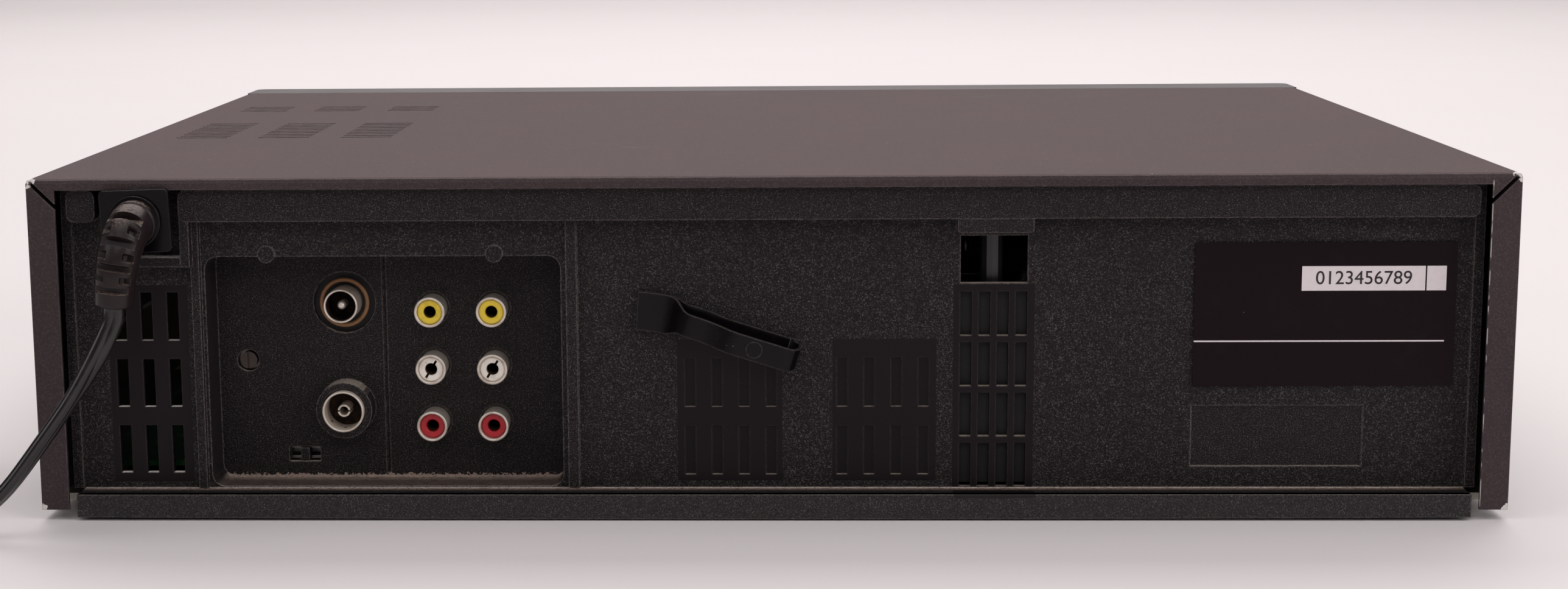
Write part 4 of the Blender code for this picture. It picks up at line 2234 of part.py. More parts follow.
def make_guides(deck):
    """Two tape guides: a shoe under the deck, and a post with a roller that rises through the slot."""
    shoe_high = -DECK_PLATE - GAP
    shoe_low = shoe_high - GUIDE_SHOE
    for side, name in ((-1, "supply_guide"), (1, "takeup_guide")):
        x = side * GUIDE_START[0]
        y = GUIDE_START[1]
        profile = [
            (0, GUIDE_TOP),
            (GUIDE_ROLLER_RADIUS, GUIDE_TOP),
            (GUIDE_ROLLER_RADIUS, GUIDE_ROLLER_LIFT),
            (GUIDE_POST_RADIUS, GUIDE_ROLLER_LIFT),
            (GUIDE_POST_RADIUS, shoe_high),
            (GUIDE_SHOE_RADIUS, shoe_high),
            (GUIDE_SHOE_RADIUS, shoe_low),
            (0, shoe_low),
        ]
        finish(turned(name, profile, (x, y, 0), (0, 0, 1), deck, SMALL_SIDES), WHITE_PLASTIC)


def build():
    rear = new_frame("rear_frame", (0, REAR_Y, 0))
    front = new_frame("front_frame", (0, FACE_Y, 0))
    deck = new_frame("deck_frame", (DOOR_CENTRE_X, COVER_FRONT_Y, DECK_TOP))
    make_cover(rear)
    make_cover_screws(rear)
    make_feet(rear)
    make_chassis(rear)
    make_rear_panel(rear)
    make_label(rear)
    make_aerial_output(rear)
    make_aerial_input(rear)
    make_modulator(rear)
    make_switch_knob(rear)
    make_adjuster(rear)
    make_jacks(rear)
    make_strain_relief(rear)
    make_cord(rear)
    points, heading = make_coil(rear)
    make_plug(rear, points[-1], heading)
    make_strap(rear)
    make_front_panel(front)
    make_buttons(front)
    make_door(front)
    make_display(front)
    make_main_board(rear)
    make_power_supply(rear)
    make_deck(deck)
    make_basket(deck)
    make_carrier(deck)
    make_drum(deck)
    make_capstan(deck)
    make_reels(deck)
    make_pinch(deck)
    make_guides(deck)


clear_scene()
PARTS = new_collection("Video cassette recorder")
CUTTERS = new_collection("Cutters")
build()
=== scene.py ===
"""Finishes and fine parts for a video cassette recorder, seen from behind."""

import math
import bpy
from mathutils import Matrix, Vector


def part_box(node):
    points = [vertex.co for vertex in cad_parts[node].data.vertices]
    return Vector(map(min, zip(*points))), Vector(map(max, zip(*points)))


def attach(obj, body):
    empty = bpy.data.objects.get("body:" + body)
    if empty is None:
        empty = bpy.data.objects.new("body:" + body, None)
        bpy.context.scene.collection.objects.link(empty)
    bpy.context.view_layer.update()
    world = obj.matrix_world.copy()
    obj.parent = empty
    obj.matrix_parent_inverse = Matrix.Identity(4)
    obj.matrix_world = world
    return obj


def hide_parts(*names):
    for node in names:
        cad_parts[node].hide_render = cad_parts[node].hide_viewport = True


bl_info = {
    "name": "Video Cassette Recorder",
    "version": (1, 0, 0),
    "blender": (4, 5, 0),
    "location": "View3D > Sidebar > Recorder",
    "description": "Gives a packed video cassette recorder its finishes, its cord and its fine parts",
    "category": "Add Mesh",
}

import bmesh
import bpy
from bpy.props import FloatProperty, FloatVectorProperty, PointerProperty
from mathutils import Matrix, Vector

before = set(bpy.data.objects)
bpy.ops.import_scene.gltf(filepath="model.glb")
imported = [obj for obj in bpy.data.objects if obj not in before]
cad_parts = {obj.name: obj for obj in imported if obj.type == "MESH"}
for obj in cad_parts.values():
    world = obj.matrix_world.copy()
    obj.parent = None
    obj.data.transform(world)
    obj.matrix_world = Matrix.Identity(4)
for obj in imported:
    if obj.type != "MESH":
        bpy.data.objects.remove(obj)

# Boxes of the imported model
COVER_LOW, COVER_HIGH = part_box("top_cover")
PANEL_LOW, PANEL_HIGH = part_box("rear_panel")
LABEL_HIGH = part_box("rating_label")[1]
BOARD_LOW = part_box("main_board")[0]

# Places on the rear
REAR_Y = COVER_HIGH.y
FACE_Y = 0.1452
BAY_FLOOR_Y = 0.1321
RAIL_TOP = 0.0072
VENTS_LEFT = 0.1812
VENTS_RIGHT = 0.1592

# The smallest gap between pieces
HAIR_GAP = 0.0003

# Smooth blocks round the vents and the blind vents: right, left, low and top
SMOOTH_BLOCKS = (
    (VENTS_RIGHT, VENTS_LEFT, 0.0090, 0.0640),
    (-0.0725, -0.0508, 0.0062, 0.0635),
    (-0.0460, -0.0180, 0.0092, 0.0485),
    (-0.0040, 0.0245, 0.0092, 0.0485),
)

# Edges of the rear panel
RAIL_BOTTOM = 0.0003
RAIL_SAG = 0.0005
RAIL_FACE_DEPTH = 0.0020
RAIL_SKIN = 0.00004
SIDE_RIM_WIDTH = 0.0028
SIDE_RIM_DEPTH = 0.0024
SIDE_RIM_PROUD = 0.0004
SIDE_RIM_TOP = 0.0903
RAIL_STEPS = 24

# Camera
CAMERA_PLACE = (-0.00199, 0.80535, 0.16936)
CAMERA_TILT = math.radians(80.6911)
CAMERA_ROLL = math.radians(0.493)
CAMERA_TURN = math.radians(-178.0799)
CAMERA_LENS = 56.38
LENS_LEAST = 20
LENS_MOST = 200
SENSOR_WIDTH = 36.0
CAMERA_SHIFT_SHARE = 0.0603

# Strain relief
NECK_X = 0.1700
NECK_Z = 0.0830
PLATE_WIDTH = 0.0190
PLATE_HEIGHT = 0.0172
PLATE_BACK = 0.0003
PLATE_THICK = 0.0021
PLATE_CORNER = 0.0014
PLATE_TILT = math.radians(-2)
COLLAR_RADIUS = 0.0071
COLLAR_PROUD = 0.0012
BOOT_ROOT_RADIUS = 0.0062
BOOT_TIP_RADIUS = 0.0050
BOOT_DRIFT = 0.0035
BOOT_REACH = 0.0140
BOOT_DROP = 0.0213
BOOT_STEP = 0.0002
BOOT_MOUTH_RADIUS = 0.0031
BOOT_MOUTH_DEPTH = 0.0010
BOOT_TIP_ROUND = 0.0009
SLOT_FIRST = 0.0050
SLOT_PITCH = 0.00273
SLOT_LENGTH = 0.0013
SLOT_EDGE = 0.0002
SLOT_DEPTH = 0.0018
SLOT_DEPTH_LEAST = 0.0002
SLOT_DEPTH_MOST = 0.0020
SLOT_COUNT = 7
SLOT_SPREAD = math.radians(55)
WINDOW_TURN = math.radians(42)
WINDOW_SPREAD = math.radians(12)
WINDOW_SOFT = math.radians(5)
ROOT_RING_PITCH = 0.0026
ROOT_RING_DEPTH = 0.0005
BOOT_ROUTE_SHARES = (
    (0, 0.143, 0),
    (0.06, 0.443, 0.028),
    (0.23, 0.729, 0.138),
    (0.46, 0.914, 0.321),
    (0.69, 0.986, 0.550),
    (0.89, 1, 0.789),
    (1, 1, 1),
)

# Mains cord, the coil of what isn't seen of it, and its tie
CORD_WIDTH = 0.0060
TWIN_WIDTH = 0.0056
TWIN_THICK = 0.0035
TWIN_THICK_LEAST = 0.0030
TWIN_THICK_MOST = 0.0050
CORD_STEP = 0.0120
CORD_FINE_STEP = 0.0030
CORD_EASES = 12
CORD_LIE = 0.0033
ROUTE_PARTS = 12
CORD_ROUTE_SHARES = (
    (0, 0, 0),
    (0.034, 0.20, 0.091),
    (0.097, 0.33, 0.235),
    (0.160, 0.47, 0.395),
    (0.228, 0.60, 0.526),
    (0.306, 0.73, 0.688),
    (0.397, 0.87, 0.874),
    (0.487, 0.96, 0.967),
    (0.590, 1, 0.996),
    (0.780, 1, 1),
    (1, 1, 1),
)
TWIST_EDGE = math.radians(74)
TWIST_FIRST_SHARE = 0.27
TWIST_LAST_SHARE = 0.45
COIL_X = 0.2650
COIL_Y = 0.1381
COIL_RADIUS = 0.0360
COIL_TURN_PITCH = 0.0067
COIL_LAYER_PITCH = 0.0065
COIL_LAYERS = 4
TURNS_IN_LAYER = 2
LAST_TURN_SHARE = 0.25
CLIMB_SHARE = 0.25
LOOP_POINTS = 48
TAIL_LENGTH = 0.0720
TAIL_STEP = 0.0080
PLUG_THICK = 0.0140
TIE_WIDTH = 0.0030
TIE_WIDTH_LEAST = 0.0010
TIE_WIDTH_MOST = 0.0060
TIE_THICK = 0.0002
TIE_MARGIN = 0.00005
LOBE_POINTS = 9

# Cable strap
STRAP_ROOT_X = 0.0310
STRAP_ROOT_Z = 0.0572
STRAP_SLOPE = math.radians(17.5)
STRAP_LENGTH = 0.0415
STRAP_REACH = 0.0094
STRAP_BAND = 0.0064
STRAP_ROOT_WIDTH = 0.0108
STRAP_ROOT_LENGTH = 0.0090
STRAP_THICK = 0.0008
STRAP_THICK_LEAST = 0.0004
STRAP_THICK_MOST = 0.0012
STRAP_PEG_ALONG = 0.0292
STRAP_PEG_RADIUS = 0.0023
STRAP_STEP = 0.0012
STRAP_LEVEL_LENGTH = 0.0170
STRAP_SPLIT = 0.0011
STRAP_WAVE = 0.0006
STRAP_BEND_STEPS = 12
STRAP_FOLD_SHARES = (
    (0.80, 1),
    (0.62, 1),
    (0.54, 0.96),
    (0.46, 0.82),
    (0.38, 0.72),
    (0.29, 0.68),
    (0.22, 0.62),
    (0.17, 0.40),
    (0.13, 0.16),
    (0.09, 0.02),
    (0.04, 0),
)

# Pin jacks
JACK_COLUMNS = (0.0932, 0.0761)
JACK_ROWS = {"yellow": 0.0554, "white": 0.0393, "red": 0.0232}
JACK_END_Y = 0.1401
JACK_BACK_Y = 0.1294
JACK_RADIUS = 0.00428
JACK_BODY_RADIUS = 0.00408
JACK_WALL = 0.0008
JACK_BEAD = 0.0015
JACK_COLLAR_RADIUS = 0.0052
JACK_COLLAR_SUNK = 0.00006
BORE_LIGHT = 0.0020
JACK_COLLAR_GAP = 0.0002
INSERT_SHORT = {"yellow": 0.0007, "white": 0.0007, "red": 0.0013}
INSERT_BORE = 0.0017
BEAD_START = -60
BEAD_STEPS = 3
SLIT_WIDTH = 0.00065
SLIT_REACH = 0.0029
SLIT_DEPTH = 0.0030
SLIT_ANGLE = math.radians(58)

# Aerial connectors
AERIAL_X = 0.1180
AERIAL_OUT_Z = 0.0570
AERIAL_IN_Z = 0.0274
OUT_RADIUS = 0.00476
OUT_WALL = 0.0006
OUT_END_Y = 0.1389
OUT_BACK_Y = 0.1296
OUT_FLANGE_RADIUS = 0.0100
OUT_PIN_RADIUS = 0.0012
OUT_PIN_SHORT = 0.0012
OUT_LINER_SHORT = 0.0007
LINER_THICK = 0.00012
OUT_RING_RADIUS = 0.0064
OUT_RING_WIRE = 0.0006
OUT_RING_END = 330
OUT_RING_STEPS = 11
IN_RADIUS = 0.0058
IN_WALL = 0.0006
IN_END_Y = 0.1401
IN_CONTACT_RADIUS = 0.0018
IN_CONTACT_WALL = 0.0006
IN_CONTACT_SHORT = 0.0016
IN_SLIT = 0.0005
INSULATOR = 0.0012
IN_INSULATOR_SHORT = 0.0078
IN_HOLE_RADIUS = 0.0005
IN_HOLE_SHORT = 0.0042
IN_HOLE_TURNS = (math.radians(-42), math.radians(-88))

# Post behind the vent window, and the screen behind the vents under it
POST_X = -0.0616
POST_Y = 0.1368
POST_RADIUS = 0.0035
SCREEN_LEFT = -0.0500
SCREEN_RIGHT = -0.0735
SCREEN_LOW = 0.0080
SCREEN_TOP = 0.0628
SCREEN_Y = 0.1421
SCREEN_THICK = 0.0003

# Prints on the label and signs on the keys
PRINT_THICK = 0.00005
RULE_Z = 0.0477
RULE_THICK = 0.0004
RULE_LEFT = 0.1154
NUMBER_BOX_LEFT = 0.1443
NUMBER_BOX_RIGHT = 0.1829
NUMBER_BOX_LOW = 0.0617
NUMBER_BOX_TOP = 0.0684
NUMBER_BOX_GAP_X = 0.1775
NUMBER_BOX_GAP = 0.0004
NUMBER_HEIGHT = 0.0052
SIGN_HEIGHT = 0.0030
SIGN_BAR = 0.0005
SIGN_ARROW_SHARE = 0.8
SIGN_SIDES = 24
KEYS = ("power", "eject", "rewind", "play", "forward", "stop", "record")

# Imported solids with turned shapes
CORNERS = ("left_front", "left_rear", "right_front", "right_rear")
ROUND_NODES = (
    *(f"cover_screw_{corner}" for corner in CORNERS),
    *(f"foot_{corner}" for corner in CORNERS),
    "capstan",
    "lower_drum",
    "pinch_roller",
    "supply_guide",
    "supply_reel",
    "takeup_guide",
    "takeup_reel",
    "upper_drum",
)
EVEN_WEIGHT = 90

# Grains and marks, as large as they are on the surface
PAINT_GRAIN = 0.00042
PAINT_DEPTH = 0.00012
SCRATCH = 0.0300
SCRATCH_WIDTHS = (0.006, 0.001)
SCRATCH_SOFT = 0.05
WEAR_GRAIN = 0.0022
TOP_CORNER_WEAR = 0.0042
LOW_CORNER_WEAR = 0.0030
CHIP_AND_GLINT = 0.0040
FLANGE_WIDTH = 0.0076
PLASTIC_GRAIN = 0.0008
PAINTED_SPARKLE_SIZE = 0.00031
GLINT_STRETCH = ((0, 0, 0), (0.85, 1, 1))
GRAIN_PATCH = 0.0030
GRAIN_DEPTH = 0.00010
EDGE_GRAIN = 0.0005
BLOCK_EDGE_SHARE = 0.22
SMUDGE = 0.0450
DUST_PATCH = 0.0035
DUST_FINE = 0.0007
DUST_CLIMB = 0.0040
DUST_ENDS = 0.0043
DUST_PALE_ENDS = 0.0011
BAY_DUST_ENDS = 0.0070
BAY_DUST_LEAST = 0.22
SILL_LOW = 0.0088
DUST_ROUGHNESS = 0.95
SPECK_ROUGHNESS = 0.9
SPECK = 0.0040
FINE_SPECK = 0.0020
STRAP_SPECK = 0.0018
FILM_SPECK = 0.0030
SOLDER_SPOT = 0.0040
SUPPLY_SOLDER_SPOT = 0.0050
BRUSH = 0.0004
BRUSH_DEPTH = 0.000012
DRUM_RING = 0.0006
DRUM_RING_DEPTH = 0.000010
TRACK = 0.0045
TRACK_DEPTH = 0.00004
BOARD_THICK = 0.0019
BOARD_BLUR = 0.0002
CORE_Z = 0.0330
CORE_BLUR = 0.0005
CORE_SHEET = 0.0007
CORE_SHEET_DEPTH = 0.00003
DIRT_AND_SHADE_SHARE = 0.55
BRUSH_SHADE_SHARE = 0.8
INK_SHADE_SHARE = 0.7
STAIN_ROUGHER = 0.22

# Edges, and how finely round shapes are divided
BEVEL_SAMPLES = 4
CREASE = math.radians(35)
EDGE_RADIUS = 0.0004
EDGE_RADIUS_MOST = 0.0020
PANEL_EDGE_SHARE = 1.5
EDGE_TURN = 0.03
TURNED_SIDES = 56
PIN_SIDES = 32
TUBE_SIDES = 64
RIM_STEPS = 8
CONTACT_RIM_STEPS = 6
CORNER_STEPS = 5
EDGE_SEGMENTS = 3

# Soft patches of each kind of surface: size, detail, and the noise at which they start and are full
PATCHES = {
    "front": (SMUDGE, 5.0, 0.45, 0.80),
    "window": (0.0120, 5.0, 0.55, 0.80),
    "rubber": (0.0060, 4.0, 0.40, 0.80),
    "strap": (0.0030, 5.0, 0.50, 0.80),
    "boot": (0.0030, 5.0, 0.40, 0.75),
    "cord": (0.0050, 4.0, 0.45, 0.80),
    "metal": (0.0040, 5.0, 0.42, 0.75),
    "brass": (0.0020, 4.0, 0.40, 0.70),
    "resin": (0.0022, 5.0, 0.45, 0.75),
    "moulded": (0.0022, 5.0, 0.48, 0.80),
    "keys": (0.0060, 4.0, 0.40, 0.80),
    "film": (0.0100, 5.0, 0.50, 0.80),
    "ink": (0.0012, 4.0, 0.50, 0.80),
    "floor": (0.2500, 4.0, 0.30, 0.80),
}

# Fine relief of each kind of surface: its size, its detail and its depth
RELIEFS = {
    "front": (0.0012, 2.0, 0.000012),
    "window": (0.0200, 1.0, 0.00002),
    "rubber": (0.0006, 2.0, 0.00003),
    "strap": (0.0010, 3.0, 0.000015),
    "cord": (0.0010, 2.0, 0.00002),
    "brass": (0.0006, 2.0, 0.00002),
    "moulded": (0.0005, 2.0, 0.000015),
    "keys": (0.0005, 2.0, 0.00002),
    "film": (0.0080, 2.0, 0.00002),
    "ink": (0.0004, 2.0, 0.000005),
}

# How patterns are turned and stretched
SCRATCH_STRETCH = ((0, 0, 0.6), (1, 5, 1))
STRAP_STRETCH = ((0, 0, 0), (0.3, 1, 3))
BRUSHED_ACROSS = ((0, 0, 0), (0.1, 1, 1))
BRUSHED_BACK = ((0, 0, 0), (1, 0.1, 1))
BRUSHED_UP = ((0, 0, 0), (1, 1, 0.1))
RINGED = ((0, 0, 0), (0.02, 0.02, 1))
SHEETED = ((0, 0, 0), (1, 0.02, 0.02))

# Colours
COVER_PAINT = (0.0400, 0.0285, 0.0310)
COVER_SMUDGE = (0.0480, 0.0335, 0.0360)
COVER_GRAIN = (0.0980, 0.0740, 0.0770)
COVER_TOP_HAZE_AND_SHEEN = (0.1900, 0.1060, 0.1080)
COVER_SPECKS = (0.34, 0.27, 0.25)
COVER_EDGE_HIGHLIGHT = (0.20, 0.165, 0.165)
SCRATCH_PALE = (0.16, 0.14, 0.135)
REAR_PLASTIC = (0.0088, 0.0058, 0.0068)
REAR_GRAIN = (0.0155, 0.0115, 0.0124)
REAR_EDGE_HIGHLIGHT = (0.200, 0.172, 0.168)
PAINTED_SPARKLE = (0.105, 0.093, 0.094)
PAINTED_REAR_SHEEN = (0.0370, 0.0320, 0.0330)
DUST = (0.360, 0.265, 0.220)
SILL_DUST = (0.36, 0.30, 0.26)
PALE_DUST = (0.62, 0.55, 0.50)
FLUFF = (0.88, 0.82, 0.78)
FRONT_PLASTIC = (0.010, 0.009, 0.0095)
FRONT_WIPES = (0.016, 0.014, 0.014)
SMOKED = (0.006, 0.006, 0.007)
WINDOW_SMEARS = (0.012, 0.011, 0.012)
RUBBER = (0.014, 0.013, 0.013)
RUBBER_GREY = (0.028, 0.024, 0.024)
KEY_BLACK = (0.016, 0.015, 0.016)
KEY_GREY = (0.030, 0.027, 0.027)
BARE_STEEL = (0.52, 0.50, 0.48)
ZINC_STEEL = (0.48, 0.47, 0.42)
ZINC_STAIN = (0.30, 0.28, 0.22)
ZINC_SHADE = (0.38, 0.37, 0.33)
DECK_STAIN = (0.34, 0.31, 0.22)
SCREW_STAIN = (0.20, 0.17, 0.14)
NICKEL = (0.75, 0.675, 0.605)
NICKEL_STAIN = (0.36, 0.28, 0.21)
SHELL_STAIN = (0.50, 0.40, 0.28)
BRASS = (0.60, 0.42, 0.20)
BRASS_STAIN = (0.25, 0.15, 0.07)
TIN = (0.20, 0.19, 0.18)
TIN_STAIN = (0.26, 0.24, 0.21)
ALUMINIUM = (0.72, 0.72, 0.73)
DRUM_SHADE = (0.55, 0.55, 0.56)
YELLOW = (0.80, 0.585, 0.045)
WHITE = (0.86, 0.80, 0.72)
RED = (0.44, 0.008, 0.017)
GREEN_BOARD = (0.020, 0.085, 0.040)
TRACK_GREEN = (0.045, 0.16, 0.070)
SOLDER = (0.45, 0.44, 0.42)
PART_BLACK = (0.012, 0.012, 0.013)
BROWN_BOARD = (0.22, 0.12, 0.045)
SUPPLY_SOLDER = (0.50, 0.49, 0.46)
CORE_BROWN = (0.085, 0.075, 0.065)
CORE_DARK = (0.035, 0.030, 0.026)
LABEL_BLACK = (0.0115, 0.0065, 0.0085)
FILM_GREY = (0.0150, 0.0100, 0.0115)
FILM_SPECKS = (0.25, 0.23, 0.22)
PRINT_WHITE = (0.78, 0.71, 0.73)
PRINT_GREY = (0.42, 0.42, 0.43)
CORD_BLACK = (0.012, 0.0095, 0.0105)
CORD_GREY = (0.020, 0.017, 0.017)
BOOT_BLACK = (0.0155, 0.0092, 0.0105)
BOOT_GREY = (0.022, 0.016, 0.016)
BOOT_EDGE_HIGHLIGHT = (0.060, 0.047, 0.042)
STRAP_BLACK = (0.0034, 0.0026, 0.0033)
STRAP_GREY = (0.0100, 0.0080, 0.0090)
STRAP_SPECKS = (0.16, 0.14, 0.13)
STRAP_EDGE_HIGHLIGHT = (0.110, 0.092, 0.090)
HOLE_SHADED_BRASS = (0.028, 0.015, 0.010)
DULL_BRASS = (0.060, 0.036, 0.024)
RESIN_BROWN = (0.0085, 0.0055, 0.0042)
DARK_BROWN = (0.075, 0.032, 0.018)
SPRING_BROWN = (0.230, 0.110, 0.045)
POST_BLACK = (0.016, 0.015, 0.018)
WORN_AND_LIT_EDGE = (0.70, 0.66, 0.64)
FLOOR_PALE = (0.84, 0.79, 0.80)
FLOOR_SHADE = (0.80, 0.745, 0.755)
LAMP_WHITE = (1.0, 0.97, 0.96)
ROOM_WHITE = (0.95, 0.94, 0.95)

# Stage
FLOOR_Z = -0.0002
FLOOR_HALF_WIDTH = 5.0
FLOOR_NEAR = 5.0
FLOOR_FAR = -3.0
SWEEP_RADIUS = 1.3
SWEEP_STEPS = 24
WALL_TOP = 3.2

# Lamps: the place of each, what it points at, its width and height, and their powers
LAMPS = {
    "top": ((-0.1, 0.3, 1.9), (0, 0.05, 0), (2.4, 1.8)),
    "front": ((0, 2.4, 1.6), (0, 0.1, 0.05), (2.0, 1.0)),
    "left": ((1.3, 0.80, 0.85), (0, 0.2, 0.1), (0.9, 0.9)),
    "right": ((-1.3, 0.80, 0.75), (0, 0.2, 0.1), (1.1, 1.1)),
    "backdrop": ((0, -1.9, 2.4), (0, -2.1, 0), (4.0, 2.2)),
}
POWERS = {"top": 18.0, "front": 11.0, "left": 4.0, "right": 9.0, "backdrop": 80.0}
POWER_MOST = 500
ROOM_STRENGTH = 0.06


# Settings that a user may change
class RecorderCase(bpy.types.PropertyGroup):
    """Colours and wear of the case."""

    cover_colour: FloatVectorProperty(
        name="Cover paint", description="Colour of the folded steel cover", default=COVER_PAINT,
        subtype="COLOR", size=3, min=0, max=1,
    )
    rear_colour: FloatVectorProperty(
        name="Rear plastic", description="Colour of the moulded rear panel", default=REAR_PLASTIC,
        subtype="COLOR", size=3, min=0, max=1,
    )
    front_colour: FloatVectorProperty(
        name="Front plastic", description="Colour of the moulded front panel", default=FRONT_PLASTIC,
        subtype="COLOR", size=3, min=0, max=1,
    )
    dust_colour: FloatVectorProperty(
        name="Dust", description="Colour of the dust on what faces up", default=DUST,
        subtype="COLOR", size=3, min=0, max=1,
    )
    dust_amount: FloatProperty(
        name="Dust amount", description="How much dust lies on the case", default=1.0,
        subtype="FACTOR", min=0, max=1,
    )
    edge_radius: FloatProperty(
        name="Edge radius", description="Roundness of the moulded edges", default=EDGE_RADIUS,
        subtype="DISTANCE", unit="LENGTH", min=0, max=EDGE_RADIUS_MOST,
    )


class RecorderCord(bpy.types.PropertyGroup):
    """The mains cord and its strain relief."""

    colour: FloatVectorProperty(
        name="Cord rubber", description="Colour of the cord and its plug", default=CORD_BLACK,
        subtype="COLOR", size=3, min=0, max=1,
    )
    thickness: FloatProperty(
        name="Cord thickness", description="Thickness of the flat twin cord", default=TWIN_THICK,
        subtype="DISTANCE", unit="LENGTH", min=TWIN_THICK_LEAST, max=TWIN_THICK_MOST,
    )
    tie_width: FloatProperty(
        name="Tie width", description="Width of the band round the coil", default=TIE_WIDTH,
        subtype="DISTANCE", unit="LENGTH", min=TIE_WIDTH_LEAST, max=TIE_WIDTH_MOST,
    )
    slot_depth: FloatProperty(
        name="Boot slot depth", description="Depth of the slots in the strain relief", default=SLOT_DEPTH,
        subtype="DISTANCE", unit="LENGTH", min=SLOT_DEPTH_LEAST, max=SLOT_DEPTH_MOST,
    )


class RecorderStrap(bpy.types.PropertyGroup):
    """The cable strap."""

    thickness: FloatProperty(
        name="Band thickness", description="Thickness of the strap's band", default=STRAP_THICK,
        subtype="DISTANCE", unit="LENGTH", min=STRAP_THICK_LEAST, max=STRAP_THICK_MOST,
    )


class RecorderConnectors(bpy.types.PropertyGroup):
    """Colours of the connectors."""

    plating: FloatVectorProperty(
        name="Plating", description="Colour of the plated sleeves", default=NICKEL,
        subtype="COLOR", size=3, min=0, max=1,
    )
    yellow: FloatVectorProperty(
        name="Yellow insert", description="Colour of the video inserts", default=YELLOW,
        subtype="COLOR", size=3, min=0, max=1,
    )
    white: FloatVectorProperty(
        name="White insert", description="Colour of the left sound inserts", default=WHITE,
        subtype="COLOR", size=3, min=0, max=1,
    )
    red: FloatVectorProperty(
        name="Red insert", description="Colour of the right sound inserts", default=RED,
        subtype="COLOR", size=3, min=0, max=1,
    )


class RecorderStage(bpy.types.PropertyGroup):
    """Floor, lamps and camera."""

    floor_colour: FloatVectorProperty(
        name="Floor", description="Colour of the floor and backdrop", default=FLOOR_PALE,
        subtype="COLOR", size=3, min=0, max=1,
    )
    lens: FloatProperty(
        name="Lens", description="Focal length of the camera", default=CAMERA_LENS,
        subtype="DISTANCE_CAMERA", unit="CAMERA", min=LENS_LEAST, max=LENS_MOST,
    )
    top_power: FloatProperty(
        name="Top lamp", description="Power of the large lamp overhead", default=POWERS["top"],
        unit="POWER", min=0, max=POWER_MOST,
    )
    front_power: FloatProperty(
        name="Front lamp", description="Power of the lamp behind the camera", default=POWERS["front"],
        unit="POWER", min=0, max=POWER_MOST,
    )
    left_power: FloatProperty(
        name="Left lamp", description="Power of the lamp at the picture's left", default=POWERS["left"],
        unit="POWER", min=0, max=POWER_MOST,
    )
    right_power: FloatProperty(
        name="Right lamp", description="Power of the lamp at the picture's right", default=POWERS["right"],
        unit="POWER", min=0, max=POWER_MOST,
    )
    backdrop_power: FloatProperty(
        name="Backdrop lamp", description="Power of the lamp on the backdrop", default=POWERS["backdrop"],
        unit="POWER", min=0, max=POWER_MOST,
    )


